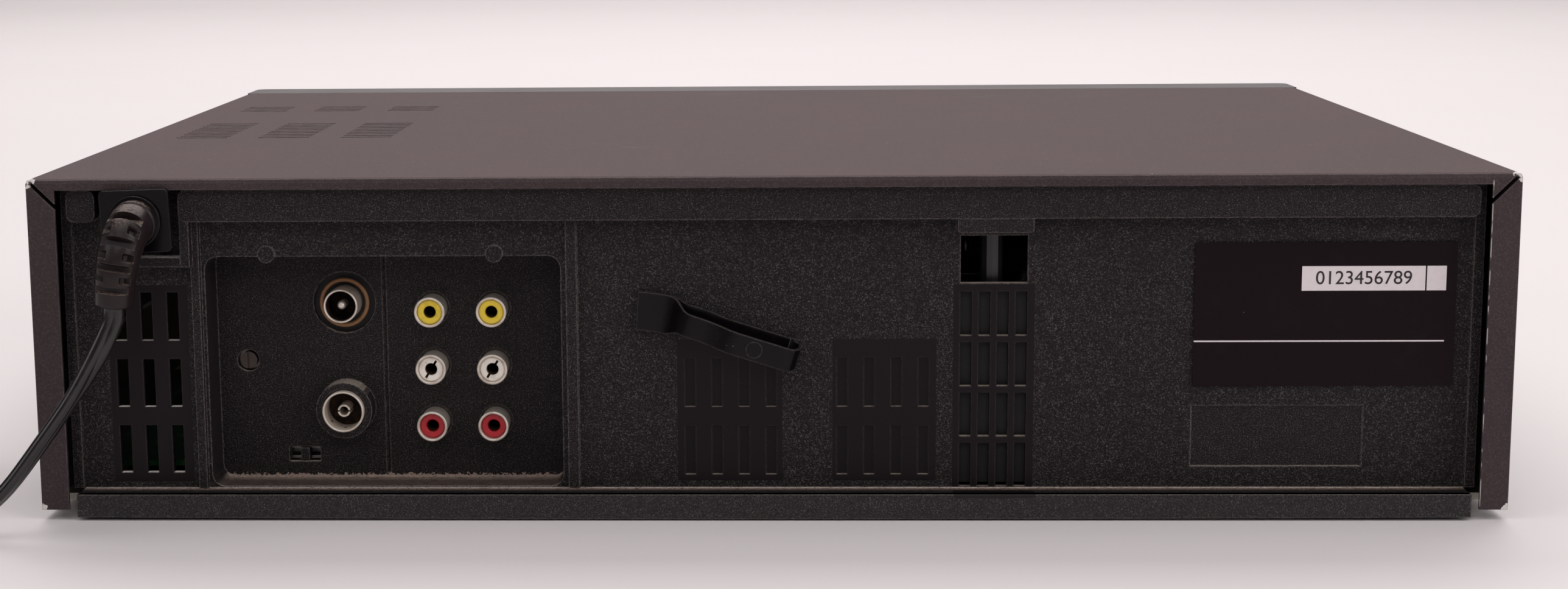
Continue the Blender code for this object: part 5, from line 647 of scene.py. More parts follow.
# Materials
class Finish:
    """A material in the making: its nodes, its shader, and the place of each point at rest."""

    def __init__(self, name, colour, roughness, metallic=0.0, shine=None):
        self.material = bpy.data.materials.new(name)
        self.material.use_nodes = True
        self.tree = self.material.node_tree
        self.shader = self.tree.nodes["Principled BSDF"]
        self.place = self.add("TexCoord").outputs["Object"]
        self.axes = self.add("SeparateXYZ")
        self.join(self.place, self.axes.inputs[0])
        self.flat_normal = self.add("NewGeometry").outputs["Normal"]
        self.normal = self.add("SeparateXYZ")
        self.join(self.flat_normal, self.normal.inputs[0])
        self.colour = (*colour, 1)
        self.roughness = roughness
        self.relief = None
        self.shader.inputs["Metallic"].default_value = metallic
        if shine is not None:
            self.shader.inputs["Specular IOR Level"].default_value = shine

    def add(self, kind, **settings):
        made = self.tree.nodes.new("ShaderNode" + kind)
        for name, value in settings.items():
            setattr(made, name, value)
        return made

    def join(self, value, socket):
        """Links a socket to an input, or writes a number or a colour into it."""
        if isinstance(value, bpy.types.NodeSocket):
            self.tree.links.new(value, socket)
        else:
            socket.default_value = value

    def sum(self, operation, one, other=0.0):
        made = self.add("Math", operation=operation)
        self.join(one, made.inputs[0])
        self.join(other, made.inputs[1])
        return made.outputs[0]

    def both(self, *masks):
        """Where all the masks hold."""
        made = masks[0]
        for mask in masks[1:]:
            made = self.sum("MULTIPLY", made, mask)
        return made

    def either(self, *masks):
        """Where any of the masks holds."""
        made = masks[0]
        for mask in masks[1:]:
            made = self.sum("MAXIMUM", made, mask)
        return made

    def step(self, value, low, high, to_low=0.0, to_high=1.0):
        """A soft step between two values, turned round where low is above high."""
        made = self.add("MapRange", interpolation_type="SMOOTHSTEP")
        self.join(value, made.inputs["Value"])
        made.inputs["From Min"].default_value = min(low, high)
        made.inputs["From Max"].default_value = max(low, high)
        made.inputs["To Min"].default_value = to_low if low < high else to_high
        made.inputs["To Max"].default_value = to_high if low < high else to_low
        return made.outputs["Result"]

    def stretched(self, stretch):
        if stretch is None:
            return self.place
        made = self.add("Mapping")
        self.join(self.place, made.inputs["Vector"])
        made.inputs["Rotation"].default_value = stretch[0]
        made.inputs["Scale"].default_value = stretch[1]
        return made.outputs["Vector"]

    def noise(self, size, detail=2.0, stretch=None):
        """Soft random values in patches about as large as the size."""
        made = self.add("TexNoise")
        self.join(self.stretched(stretch), made.inputs["Vector"])
        made.inputs["Scale"].default_value = 1 / size
        made.inputs["Detail"].default_value = detail
        return made.outputs["Fac"]

    def specks(self, size, share, spot_share):
        """Small round spots, in only a share of the cells."""
        made = self.add("TexVoronoi")
        self.join(self.place, made.inputs["Vector"])
        made.inputs["Scale"].default_value = 1 / size
        part = self.add("SeparateColor")
        self.join(made.outputs["Color"], part.inputs[0])
        chosen = self.sum("LESS_THAN", part.outputs[0], share)
        spot = self.step(made.outputs["Distance"], spot_share, spot_share / 2)
        return self.both(chosen, spot)

    def lines(self, size, stretch, share):
        """Thin curved scratches along one direction."""
        wide = self.noise(size, 1.0, stretch)
        ridge = self.sum("ABSOLUTE", self.sum("SUBTRACT", wide, 0.5))
        thin = self.step(ridge, *SCRATCH_WIDTHS)
        chosen = self.step(self.noise(size * 2, 1.0), 1 - share, 1 - share + SCRATCH_SOFT)
        return self.both(thin, chosen)

    def up(self, low=0.55, high=0.9):
        """Where the surface faces up."""
        return self.step(self.normal.outputs["Z"], low, high)

    def between(self, axis, low, high, soft):
        """Where a point lies between two places on one axis."""
        value = self.axes.outputs[axis]
        return self.both(self.step(value, low - soft, low), self.step(value, high + soft, high))

    def near(self, place, radius):
        """One at a place, and nothing at a radius from it."""
        made = self.add("VectorMath", operation="DISTANCE")
        self.join(self.place, made.inputs[0])
        made.inputs[1].default_value = place
        return self.step(made.outputs["Value"], radius, 0.0)

    def mix(self, factor, one, other):
        made = self.add("Mix", data_type="RGBA")
        self.join(factor, made.inputs["Factor"])
        self.join(one, made.inputs[6])
        self.join(other, made.inputs[7])
        return made.outputs[2]

    def cover(self, mask, colour, roughness=None):
        """Lays another colour over the finish where the mask holds."""
        self.colour = self.mix(mask, self.colour, (*colour, 1))
        if roughness is not None:
            made = self.add("Mix", data_type="FLOAT")
            self.join(mask, made.inputs["Factor"])
            self.join(self.roughness, made.inputs[2])
            self.join(roughness, made.inputs[3])
            self.roughness = made.outputs[0]

    def patches(self, kind, share, colour, roughness=None):
        """Lays a share of another colour over the finish in soft patches."""
        size, detail, low, high = PATCHES[kind]
        self.cover(self.step(self.noise(size, detail), low, high, 0.0, share), colour, roughness)

    def dusting(self, size, share, spot_share):
        """Lays specks of dust on what faces up."""
        self.cover(self.both(self.up(), self.specks(size, share, spot_share)), PALE_DUST, SPECK_ROUGHNESS)

    def soften(self, radius):
        """Rounds the edges a little in the light."""
        made = self.add("Bevel", samples=BEVEL_SAMPLES)
        made.inputs["Radius"].default_value = radius
        self.relief = made.outputs["Normal"]
        self.softened = made.outputs["Normal"]

    def edges(self, turn):
        """Along the softened edges, where the surface turns away by a share."""
        made = self.add("VectorMath", operation="DOT_PRODUCT")
        self.join(self.softened, made.inputs[0])
        self.join(self.flat_normal, made.inputs[1])
        return self.step(made.outputs["Value"], 1 - turn, 1 - 3 * turn)

    def rubbed(self, least):
        """A painted highlight along the softened edges: in full in patches, and a least share elsewhere.
        """
        worn_and_lit = self.step(self.noise(EDGE_GRAIN, 3.0), 0.36, 0.56, least, 1.0)
        return self.both(self.edges(EDGE_TURN), worn_and_lit)

    def bump(self, height, depth):
        made = self.add("Bump")
        made.inputs["Distance"].default_value = depth
        self.join(height, made.inputs["Height"])
        if self.relief is not None:
            self.join(self.relief, made.inputs["Normal"])
        self.relief = made.outputs["Normal"]

    def grain(self, kind, stretch=None):
        """Gives the surface its fine relief."""
        size, detail, depth = RELIEFS[kind]
        self.bump(self.noise(size, detail, stretch), depth)

    def done(self):
        self.join(self.colour, self.shader.inputs["Base Color"])
        self.join(self.roughness, self.shader.inputs["Roughness"])
        if self.relief is not None:
            self.join(self.relief, self.shader.inputs["Normal"])
        return self.material


def settings(group):
    return getattr(bpy.context.scene, "recorder_" + group)


def shaded(colour, share):
    return tuple(share * part for part in colour)


def cover_paint():
    """Fine warm black paint on folded steel, with dust, short scratches and worn corners; its top lighter
    with a dust haze and painted sheen, and painted highlights along its edges.
    """
    case = settings("case")
    finish = Finish("cover_paint", case.cover_colour, roughness=0.52, shine=0.16)
    finish.soften(case.edge_radius)
    smudge = finish.noise(SMUDGE, 4.0)
    finish.cover(finish.step(smudge, 0.35, 0.75), COVER_SMUDGE, roughness=0.56)
    grain = finish.noise(PAINT_GRAIN, 3.0)
    finish.cover(finish.step(grain, 0.45, 0.70, 0.0, 0.5), COVER_GRAIN)
    on_top = finish.up()
    # The top is lighter: a warm haze of dust, and painted sheen standing in for the light it catches at a
    # grazing angle
    film = finish.both(on_top, finish.step(smudge, 0.20, 0.90, 0.20, 0.30))
    finish.cover(film, COVER_TOP_HAZE_AND_SHEEN, roughness=0.58)
    finish.cover(finish.both(on_top, finish.lines(SCRATCH, SCRATCH_STRETCH, 0.35)), SCRATCH_PALE)
    for size, share, spot_share in ((SPECK, 0.12, 0.09), (SPECK / 3, 0.05, 0.22)):
        dust = finish.both(finish.specks(size, share, spot_share), on_top, case.dust_amount)
        finish.cover(dust, COVER_SPECKS, SPECK_ROUGHNESS)
    corners = [
        finish.near((side * COVER_HIGH.x, REAR_Y, z), radius)
        for side in (-1, 1)
        for z, radius in ((COVER_HIGH.z, TOP_CORNER_WEAR), (COVER_LOW.z, LOW_CORNER_WEAR))
    ]
    worn_and_lit = finish.both(finish.either(*corners), finish.step(finish.noise(WEAR_GRAIN, 3.0), 0.35, 0.5))
    finish.cover(finish.step(worn_and_lit, 0.30, 0.36), WORN_AND_LIT_EDGE, roughness=0.5)
    # Painted highlight along the cover's edges, broken into patches
    rubbed = finish.step(finish.noise(SPECK, 4.0), 0.40, 0.62, 0.25, 1.0)
    finish.cover(finish.both(finish.edges(EDGE_TURN), rubbed), COVER_EDGE_HIGHLIGHT, roughness=0.5)
    # A pale broken line along each flange's inner edge at the rear: chipped paint, and a painted highlight
    # where the sheet's cut edge catches the light
    inner_edge = FLANGE_WIDTH + COVER_LOW.x
    chips_and_glint = finish.both(
        finish.between("X", COVER_LOW.x, inner_edge + HAIR_GAP / 10, HAIR_GAP / 10),
        finish.step(finish.axes.outputs["X"], inner_edge - HAIR_GAP, inner_edge),
        finish.step(finish.axes.outputs["Y"], REAR_Y - HAIR_GAP, REAR_Y),
        finish.step(finish.noise(CHIP_AND_GLINT, 4.0), 0.46, 0.56),
    )
    finish.cover(chips_and_glint, WORN_AND_LIT_EDGE, roughness=0.5)
    finish.bump(grain, PAINT_DEPTH)
    return finish.done()


def smooth_blocks(finish):
    """Where the rear panel is smooth: round the vents and the blind vents."""
    blocks = [
        finish.both(finish.between("X", right, left, HAIR_GAP), finish.between("Z", low, top, HAIR_GAP))
        for right, left, low, top in SMOOTH_BLOCKS
    ]
    return finish.either(*blocks)


def dusty_ledges(finish):
    """Dust on the rail's ledge and the bay's floor, palest against the wall behind it."""
    case = settings("case")
    out = finish.axes.outputs["Y"]
    fluff = finish.step(finish.noise(DUST_FINE, 4.0), 0.32, 0.54, 0.20, 1.0)
    patches = finish.step(finish.noise(DUST_PATCH, 3.0), 0.26, 0.50, 0.60, 1.0)
    low = finish.step(finish.axes.outputs["Z"], SILL_LOW, RAIL_TOP + 2 * HAIR_GAP)
    depth = finish.either(
        finish.step(out, BAY_FLOOR_Y + BAY_DUST_ENDS, BAY_FLOOR_Y + DUST_PALE_ENDS, BAY_DUST_LEAST, 1.0),
        finish.step(out, FACE_Y - HAIR_GAP, FACE_Y),
    )
    ends = finish.step(out, FACE_Y + DUST_ENDS, FACE_Y)
    ledge = finish.both(finish.up(), low, ends, depth, fluff, patches)
    finish.cover(finish.both(ledge, case.dust_amount), case.dust_colour, DUST_ROUGHNESS)
    back = finish.either(
        finish.between("Y", FACE_Y - HAIR_GAP, FACE_Y + HAIR_GAP, DUST_PALE_ENDS),
        finish.step(out, BAY_FLOOR_Y + 2 * DUST_PALE_ENDS, BAY_FLOOR_Y),
    )
    finish.cover(finish.both(ledge, back, case.dust_amount), PALE_DUST, DUST_ROUGHNESS)
    climb = finish.sum("MULTIPLY_ADD", finish.noise(DUST_FINE, 5.0), DUST_CLIMB)
    climb.node.inputs[2].default_value = RAIL_TOP - DUST_CLIMB / 3
    hangs = finish.both(
        finish.sum("LESS_THAN", finish.axes.outputs["Z"], climb),
        finish.between("Y", BAY_FLOOR_Y, BAY_FLOOR_Y + HAIR_GAP, HAIR_GAP),
        case.dust_amount,
    )
    finish.cover(hangs, case.dust_colour, DUST_ROUGHNESS)


def dusty_sills(finish):
    """Dust on the sills of the vents, palest in the left ones."""
    above = finish.step(finish.axes.outputs["Z"], SILL_LOW - HAIR_GAP, SILL_LOW)
    fluff = finish.step(finish.noise(DUST_FINE, 3.0), 0.30, 0.50, 0.45, 1.0)
    sills = finish.both(finish.up(), above, fluff, settings("case").dust_amount)
    finish.cover(sills, SILL_DUST, DUST_ROUGHNESS)
    left = finish.between("X", VENTS_RIGHT, VENTS_LEFT, HAIR_GAP)
    finish.cover(finish.both(sills, left), FLUFF, DUST_ROUGHNESS)


def grained_plastic(name, shine):
    """Charcoal plastic with a fine grain, painted glints on it and a painted highlight along its edges,
    smooth round the vents.
    """
    case = settings("case")
    finish = Finish(name, case.rear_colour, roughness=0.44, shine=shine)
    finish.soften(PANEL_EDGE_SHARE * case.edge_radius)
    grained = finish.step(smooth_blocks(finish), 0.9, 0.1)
    grain = finish.noise(PLASTIC_GRAIN, 3.0)
    finish.cover(finish.both(grained, finish.step(grain, 0.38, 0.68, 0.0, 0.9)), REAR_GRAIN)
    patches = finish.step(finish.noise(GRAIN_PATCH, 3.0), 0.30, 0.65, 0.60, 1.0)
    # Painted glints: lighter specks of sheen and sparkle in the grain, standing in for the light it
    # catches
    glint = finish.noise(PAINTED_SPARKLE_SIZE, 2.0, GLINT_STRETCH)
    finish.cover(finish.both(grained, finish.step(glint, 0.47, 0.62), patches), PAINTED_REAR_SHEEN, roughness=0.40)
    finish.cover(finish.both(grained, finish.step(glint, 0.60, 0.70), patches), PAINTED_SPARKLE, roughness=0.35)
    # Painted highlight along the panel's edges, weaker in the smooth blocks
    off_blocks = finish.step(grained, 0.0, 1.0, BLOCK_EDGE_SHARE, 1.0)
    finish.cover(finish.both(finish.rubbed(0.15), off_blocks), REAR_EDGE_HIGHLIGHT)
    finish.bump(finish.both(grained, finish.step(glint, 0.3, 0.7)), GRAIN_DEPTH)
    return finish


def rear_plastic():
    """The rear panel's plastic, with dust on its ledges and sills."""
    finish = grained_plastic("rear_plastic", 0.16)
    dusty_ledges(finish)
    dusty_sills(finish)
    return finish.done()


def rail_plastic():
    """The rear panel's plastic on the rail's face, which shines a little more."""
    return grained_plastic("rail_plastic", 0.34).done()


def front_plastic():
    """Glossy black plastic with faint wipe marks."""
    case = settings("case")
    finish = Finish("front_plastic", case.front_colour, roughness=0.28, shine=0.34)
    finish.soften(case.edge_radius)
    finish.patches("front", 0.6, FRONT_WIPES, roughness=0.36)
    finish.dusting(SPECK, 0.25, 0.10)
    finish.grain("front")
    return finish.done()


def smoked_window():
    """Smoked clear plastic, nearly black."""
    finish = Finish("smoked_window", SMOKED, roughness=0.08)
    finish.soften(settings("case").edge_radius)
    finish.patches("window", 0.4, WINDOW_SMEARS, roughness=0.2)
    finish.shader.inputs["Coat Weight"].default_value = 0.5
    finish.shader.inputs["Coat Roughness"].default_value = 0.05
    finish.grain("window")
    return finish.done()


def foot_rubber():
    """Dull black rubber."""
    finish = Finish("foot_rubber", RUBBER, roughness=0.72)
    finish.patches("rubber", 0.7, RUBBER_GREY, roughness=0.84)
    finish.dusting(FINE_SPECK, 0.10, 0.12)
    finish.grain("rubber")
    return finish.done()


def strap_plastic():
    """Glossy black soft plastic with fine marks along it, and a painted highlight along its edges."""
    finish = Finish("strap_plastic", STRAP_BLACK, roughness=0.20, shine=0.16)
    finish.patches("strap", 0.4, STRAP_GREY, roughness=0.34)
    finish.soften(settings("case").edge_radius)
    finish.cover(finish.specks(STRAP_SPECK, 0.10, 0.10), STRAP_SPECKS, roughness=0.8)
    # Painted highlight along the edges
    finish.cover(finish.rubbed(0.3), STRAP_EDGE_HIGHLIGHT, roughness=0.4)
    finish.grain("strap", STRAP_STRETCH)
    return finish.done()


def boot_rubber():
    """Satin black rubber, dusty where its slots face up, with a painted highlight along its edges."""
    case = settings("case")
    finish = Finish("boot_rubber", BOOT_BLACK, roughness=0.33, shine=0.26)
    finish.soften(case.edge_radius / 2)
    finish.patches("boot", 0.6, BOOT_GREY, roughness=0.42)
    dust = finish.step(finish.noise(DUST_FINE, 4.0), 0.35, 0.6, 0.0, 0.35)
    finish.cover(finish.both(finish.up(0.55, 0.85), dust), case.dust_colour, SPECK_ROUGHNESS)
    # Painted highlight along the edges
    finish.cover(finish.edges(EDGE_TURN), BOOT_EDGE_HIGHLIGHT, roughness=0.3)
    finish.grain("rubber")
    return finish.done()


def cord_rubber():
    """Black cord rubber with a clear sheen."""
    finish = Finish("cord_rubber", settings("cord").colour, roughness=0.19)
    finish.patches("cord", 0.6, CORD_GREY, roughness=0.34)
    finish.dusting(FINE_SPECK, 0.10, 0.12)
    finish.grain("cord")
    return finish.done()


def metal(name, colour, stain, stain_share, roughness, metallic=1.0, brush=None):
    """Bare or plated metal, lightly brushed and stained."""
    finish = Finish(name, colour, roughness, metallic)
    finish.patches("metal", stain_share, stain, roughness + STAIN_ROUGHER)
    fine = finish.noise(BRUSH, 3.0, brush)
    finish.cover(finish.step(fine, 0.4, 0.7, 0.0, 0.25), shaded(colour, BRUSH_SHADE_SHARE))
    finish.bump(fine, BRUSH_DEPTH)
    return finish.done()


def nickel_plate():
    """Satin nickel, dulled by age."""
    plating = settings("connectors").plating
    return metal("nickel_plate", plating, NICKEL_STAIN, 0.8, roughness=0.34, metallic=0.66)


def spotted_nickel():
    """The aerial input's shell: satin nickel with two dark spots low in its wall, painted shade where two
    holes are.
    """
    finish = Finish("spotted_nickel", settings("connectors").plating, roughness=0.46, metallic=0.5)
    finish.patches("metal", 0.7, SHELL_STAIN, roughness=0.6)
    inner = IN_RADIUS - IN_WALL
    for turn in IN_HOLE_TURNS:
        # Each spot is painted shade standing in for a hole
        spot = (
            AERIAL_X + inner * math.cos(turn),
            IN_END_Y - IN_HOLE_SHORT,
            AERIAL_IN_Z + inner * math.sin(turn),
        )
        finish.cover(finish.step(finish.near(spot, 2 * IN_HOLE_RADIUS), 0.4, 0.6), RUBBER, roughness=0.8)
    finish.bump(finish.noise(BRUSH, 3.0), BRUSH_DEPTH)
    return finish.done()


def aged_brass():
    """Brass of the channel screw, painted dark for the shade deep in its hole."""
    finish = Finish("aged_brass", HOLE_SHADED_BRASS, roughness=0.42)
    finish.patches("brass", 0.7, DULL_BRASS, roughness=0.55)
    finish.grain("brass")
    return finish.done()


def brown_resin():
    """Dark brown pressed resin, deep in the aerial connectors."""
    finish = Finish("brown_resin", RESIN_BROWN, roughness=0.6, shine=0.12)
    finish.patches("resin", 0.5, DARK_BROWN, roughness=0.8)
    finish.grain("moulded")
    return finish.done()


def contact_brass():
    """Clean brass of the contacts."""
    return metal("contact_brass", BRASS, BRASS_STAIN, 0.6, roughness=0.32)


def tinned_steel():
    """Tinned sheet of the screening cans."""
    return metal("tinned_steel", TIN, TIN_STAIN, 0.5, roughness=0.38, brush=BRUSHED_UP)


def screw_steel():
    """Bare steel of the screws."""
    return metal("screw_steel", BARE_STEEL, SCREW_STAIN, 0.5, roughness=0.34)


def deck_steel():
    """Zinc-plated steel of the deck, brushed from front to rear."""
    return metal("deck_steel", ZINC_STEEL, DECK_STAIN, 0.4, roughness=0.36, brush=BRUSHED_BACK)


def chassis_steel():
    """Zinc-plated steel, with satin black paint on the post behind the vent window."""
    finish = Finish("chassis_steel", ZINC_STEEL, roughness=0.42, metallic=1.0)
    brushed = finish.noise(BRUSH, 3.0, BRUSHED_ACROSS)
    finish.patches("metal", 0.5, ZINC_STAIN, roughness=0.6)
    finish.cover(finish.step(brushed, 0.4, 0.7, 0.0, 0.25), ZINC_SHADE)
    post = finish.both(
        finish.between("X", POST_X - POST_RADIUS, POST_X + POST_RADIUS, HAIR_GAP),
        finish.between("Y", POST_Y - POST_RADIUS, POST_Y + POST_RADIUS, HAIR_GAP),
    )
    finish.cover(post, POST_BLACK, roughness=0.3)
    finish.join(finish.sum("SUBTRACT", 1.0, post), finish.shader.inputs["Metallic"])
    finish.bump(brushed, BRUSH_DEPTH)
    return finish.done()


def drum_aluminium():
    """Turned aluminium with fine rings."""
    finish = Finish("drum_aluminium", ALUMINIUM, roughness=0.16, metallic=1.0)
    rings = finish.noise(DRUM_RING, 2.0, RINGED)
    finish.cover(finish.step(rings, 0.4, 0.7, 0.0, 0.4), DRUM_SHADE, roughness=0.26)
    finish.bump(rings, DRUM_RING_DEPTH)
    return finish.done()


def moulded_plastic(name, colour):
    """Bright moulded plastic, a little dirty."""
    finish = Finish(name, colour, roughness=0.38)
    finish.patches("moulded", 0.6, shaded(colour, DIRT_AND_SHADE_SHARE), roughness=0.55)
    finish.grain("moulded")
    return finish


def jack_plastic(colour, bare):
    """A jack's insert: bright plastic, with painted shade inside its bore, darker and brown further in."""
    finish = moulded_plastic(f"jack_{colour}", bare)
    face = JACK_END_Y - INSERT_SHORT[colour]
    deep = face - 2 * HAIR_GAP
    out = finish.axes.outputs["Y"]
    # Painted shade in the bore: darker past its mouth, and dark brown from a little further in
    finish.cover(finish.step(out, face - HAIR_GAP, deep), shaded(bare, DIRT_AND_SHADE_SHARE))
    finish.cover(finish.step(out, deep, face - BORE_LIGHT), DARK_BROWN, roughness=0.7)
    return finish.done()


def tarnished_spring():
    """Tarnished brass of the spring round the aerial output."""
    return moulded_plastic("tarnished_spring", SPRING_BROWN).done()


def yellow_plastic():
    return moulded_plastic("yellow_plastic", settings("connectors").yellow).done()


def white_plastic():
    return moulded_plastic("white_plastic", settings("connectors").white).done()


def red_plastic():
    return moulded_plastic("red_plastic", settings("connectors").red).done()


def button_plastic():
    """Satin black key tops."""
    finish = Finish("button_plastic", KEY_BLACK, roughness=0.38)
    finish.soften(settings("case").edge_radius)
    finish.patches("keys", 0.6, KEY_GREY, roughness=0.3)
    finish.grain("keys")
    return finish.done()


def circuit_board():
    """Green lacquered board with tinned tracks, and dark parts standing on it."""
    finish = Finish("circuit_board", GREEN_BOARD, roughness=0.30)
    track = finish.noise(TRACK, 0.0)
    lines = finish.step(finish.sum("ABSOLUTE", finish.sum("SUBTRACT", track, 0.5)), 0.030, 0.018)
    finish.cover(lines, TRACK_GREEN)
    finish.cover(finish.specks(SOLDER_SPOT, 0.5, 0.16), SOLDER, roughness=0.3)
    above = BOARD_LOW.z + BOARD_THICK
    parts = finish.step(finish.axes.outputs["Z"], above, above + BOARD_BLUR)
    finish.cover(parts, PART_BLACK, roughness=0.45)
    finish.bump(track, TRACK_DEPTH)
    return finish.done()


def supply_board():
    """Brown board, with the transformer's steel and varnish above it."""
    finish = Finish("supply_board", BROWN_BOARD, roughness=0.45)
    finish.cover(finish.specks(SUPPLY_SOLDER_SPOT, 0.5, 0.16), SUPPLY_SOLDER, roughness=0.3)
    tall = finish.step(finish.axes.outputs["Z"], CORE_Z, CORE_Z + CORE_BLUR)
    finish.cover(tall, CORE_BROWN, roughness=0.5)
    sheets = finish.noise(CORE_SHEET, 0.0, SHEETED)
    finish.cover(finish.both(tall, finish.step(sheets, 0.5, 0.6, 0.0, 0.6)), CORE_DARK, roughness=0.4)
    finish.bump(sheets, CORE_SHEET_DEPTH)
    return finish.done()


def label_film():
    """Glossy black film on the rear panel."""
    finish = Finish("label_film", LABEL_BLACK, roughness=0.26, shine=0.06)
    finish.patches("film", 0.5, FILM_GREY, roughness=0.4)
    finish.cover(finish.specks(FILM_SPECK, 0.12, 0.07), FILM_SPECKS, roughness=0.8)
    finish.grain("film")
    return finish.done()


def print_ink(name, colour):
    """Printed ink, slightly uneven."""
    finish = Finish(name, colour, roughness=0.5)
    finish.patches("ink", 0.25, shaded(colour, INK_SHADE_SHARE))
    finish.grain("ink")
    return finish.done()


def by_name(*makers):
    return {maker.__name__: maker for maker in makers}


CASE_FINISHES = by_name(
    cover_paint,
    rear_plastic,
    front_plastic,
    smoked_window,
    button_plastic,
    foot_rubber,
    screw_steel,
    chassis_steel,
    label_film,
)
CONNECTOR_FINISHES = by_name(
    contact_brass,
    nickel_plate,
    yellow_plastic,
    white_plastic,
    red_plastic,
    strap_plastic,
    cord_rubber,
)
INSIDE_FINISHES = by_name(tinned_steel, circuit_board, supply_board, deck_steel, drum_aluminium)


def finish_of(slot):
    """The finish of a material slot, made once."""
    made = bpy.data.materials.get("recorder_" + slot)
    if made is None:
        makers = {**CASE_FINISHES, **CONNECTOR_FINISHES, **INSIDE_FINISHES}
        made = makers[slot]()
        made.name = "recorder_" + slot
    return made


def dress(slots):
    """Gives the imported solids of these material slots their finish."""
    dressed = 0
    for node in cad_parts.values():
        for holder in node.material_slots:
            slot = holder.name.split(".")[0]
            if slot in slots:
                holder.material = finish_of(slot)
                dressed += 1
    if not dressed:
        raise RuntimeError("No packed solid has one of the material slots " + ", ".join(slots))


def smooth_rounds():
    """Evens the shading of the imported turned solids, whose meshes stay as they are."""
    for name in ROUND_NODES:
        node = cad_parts[name]
        weld = node.modifiers.new("join_faces", "WELD")
        weld.merge_threshold = HAIR_GAP / 1000
        shade = node.modifiers.new("even_shading", "WEIGHTED_NORMAL")
        shade.keep_sharp = False
        shade.weight = EVEN_WEIGHT


# Meshes
def new_piece(name, points, faces, slot, body="case", material=None):
    """A piece whose points are places in the case, riding on a body."""
    mesh = bpy.data.meshes.new(name)
    mesh.from_pydata([tuple(point) for point in points], [], faces)
    work = bmesh.new()
    work.from_mesh(mesh)
    bmesh.ops.remove_doubles(work, verts=work.verts, dist=HAIR_GAP / 100)
    bmesh.ops.recalc_face_normals(work, faces=work.faces)
    work.to_mesh(mesh)
    work.free()
    mesh.shade_smooth()
    mesh.set_sharp_from_angle(angle=CREASE)
    piece = bpy.data.objects.new(name, mesh)
    bpy.context.scene.collection.objects.link(piece)
    mesh.materials.append(material or finish_of(slot))
    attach(piece, body)
    return piece


def ring_faces(rings, sides, closed):
    """Quads between rings of points, in order, and from the last to the first where it is closed."""
    faces = []
    for ring in range(rings if closed else rings - 1):
        start = ring * sides
        after = (ring + 1) % rings * sides
        for side in range(sides):
            turn = (side + 1) % sides
            faces.append((start + side, start + turn, after + turn, after + side))
    return faces


def circle(sides):
    """Pairs of a cosine and a sine, round a circle."""
    angles = [2 * math.pi * side / sides for side in range(sides)]
    return [(math.cos(angle), math.sin(angle)) for angle in angles]


def turned(name, profile, place, slot, sides=TURNED_SIDES, closed=True, material=None):
    """A piece turned round the Y axis. The profile's pairs are a radius and a place along Y."""
    x, z = place
    points = [
        (x + radius * one, along, z + radius * other)
        for radius, along in profile
        for one, other in circle(sides)
    ]
    faces = ring_faces(len(profile), sides, closed)
    return new_piece(name, points, faces, slot, material=material)


def arc(centre, radius, start, end, steps=CORNER_STEPS):
    """Points of an arc in a profile."""
    made = []
    for step in range(steps + 1):
        angle = math.radians(start + (end - start) * step / steps)
        made.append((centre[0] + radius * math.cos(angle), centre[1] + radius * math.sin(angle)))
    return made


def soft_step(low, high, value):
    """From nothing to one between two values."""
    share = min(1, max(0, (value - low) / (high - low)))
    return share * share * (3 - 2 * share)


def axes_at(path, number, hint):
    """The way along a path at one of its points, the way across it nearest the hint, and the way out."""
    before = path[max(0, number - 1)]
    after = path[min(len(path) - 1, number + 1)]
    along = (after - before).normalized()
    across = (hint - along * hint.dot(along)).normalized()
    return along, across, along.cross(across)


def skin(path, section, hint):
    """Points round a path. section(number) gives pairs across and out, hint(number) the way across."""
    points = []
    for number, place in enumerate(path):
        _, across, out = axes_at(path, number, hint(number))
        points.extend(place + across * u + out * v for u, v in section(number))
    return points


def capped_tube(rings, sides):
    """Faces round rings of points, with a cap at each end."""
    faces = ring_faces(rings, sides, False)
    faces.append(tuple(range(sides)))
    faces.append(tuple(range((rings - 1) * sides, rings * sides)))
    return faces


def plate(name, outline, low, high, slot, body="case", material=None):
    """A flat piece with an outline of (x, z) pairs, between two places along Y."""
    points = [(x, y, z) for y in (low, high) for x, z in outline]
    return new_piece(name, points, capped_tube(2, len(outline)), slot, body, material)


def bar(left, right, low, top):
    return [(left, low), (right, low), (right, top), (left, top)]


def ring(inner, outer, back, front):
    """The profile of a flat ring."""
    return [(inner, back), (outer, back), (outer, front), (inner, front)]


def rounded(low, high, corner):
    """An outline of a rectangle with round corners."""
    made = []
    for x, z, start in (
        (high[0] - corner, high[1] - corner, 0),
        (low[0] + corner, high[1] - corner, 90),
        (low[0] + corner, low[1] + corner, 180),
        (high[0] - corner, low[1] + corner, 270),
    ):
        made += arc((x, z), corner, start, start + 90)
    return made


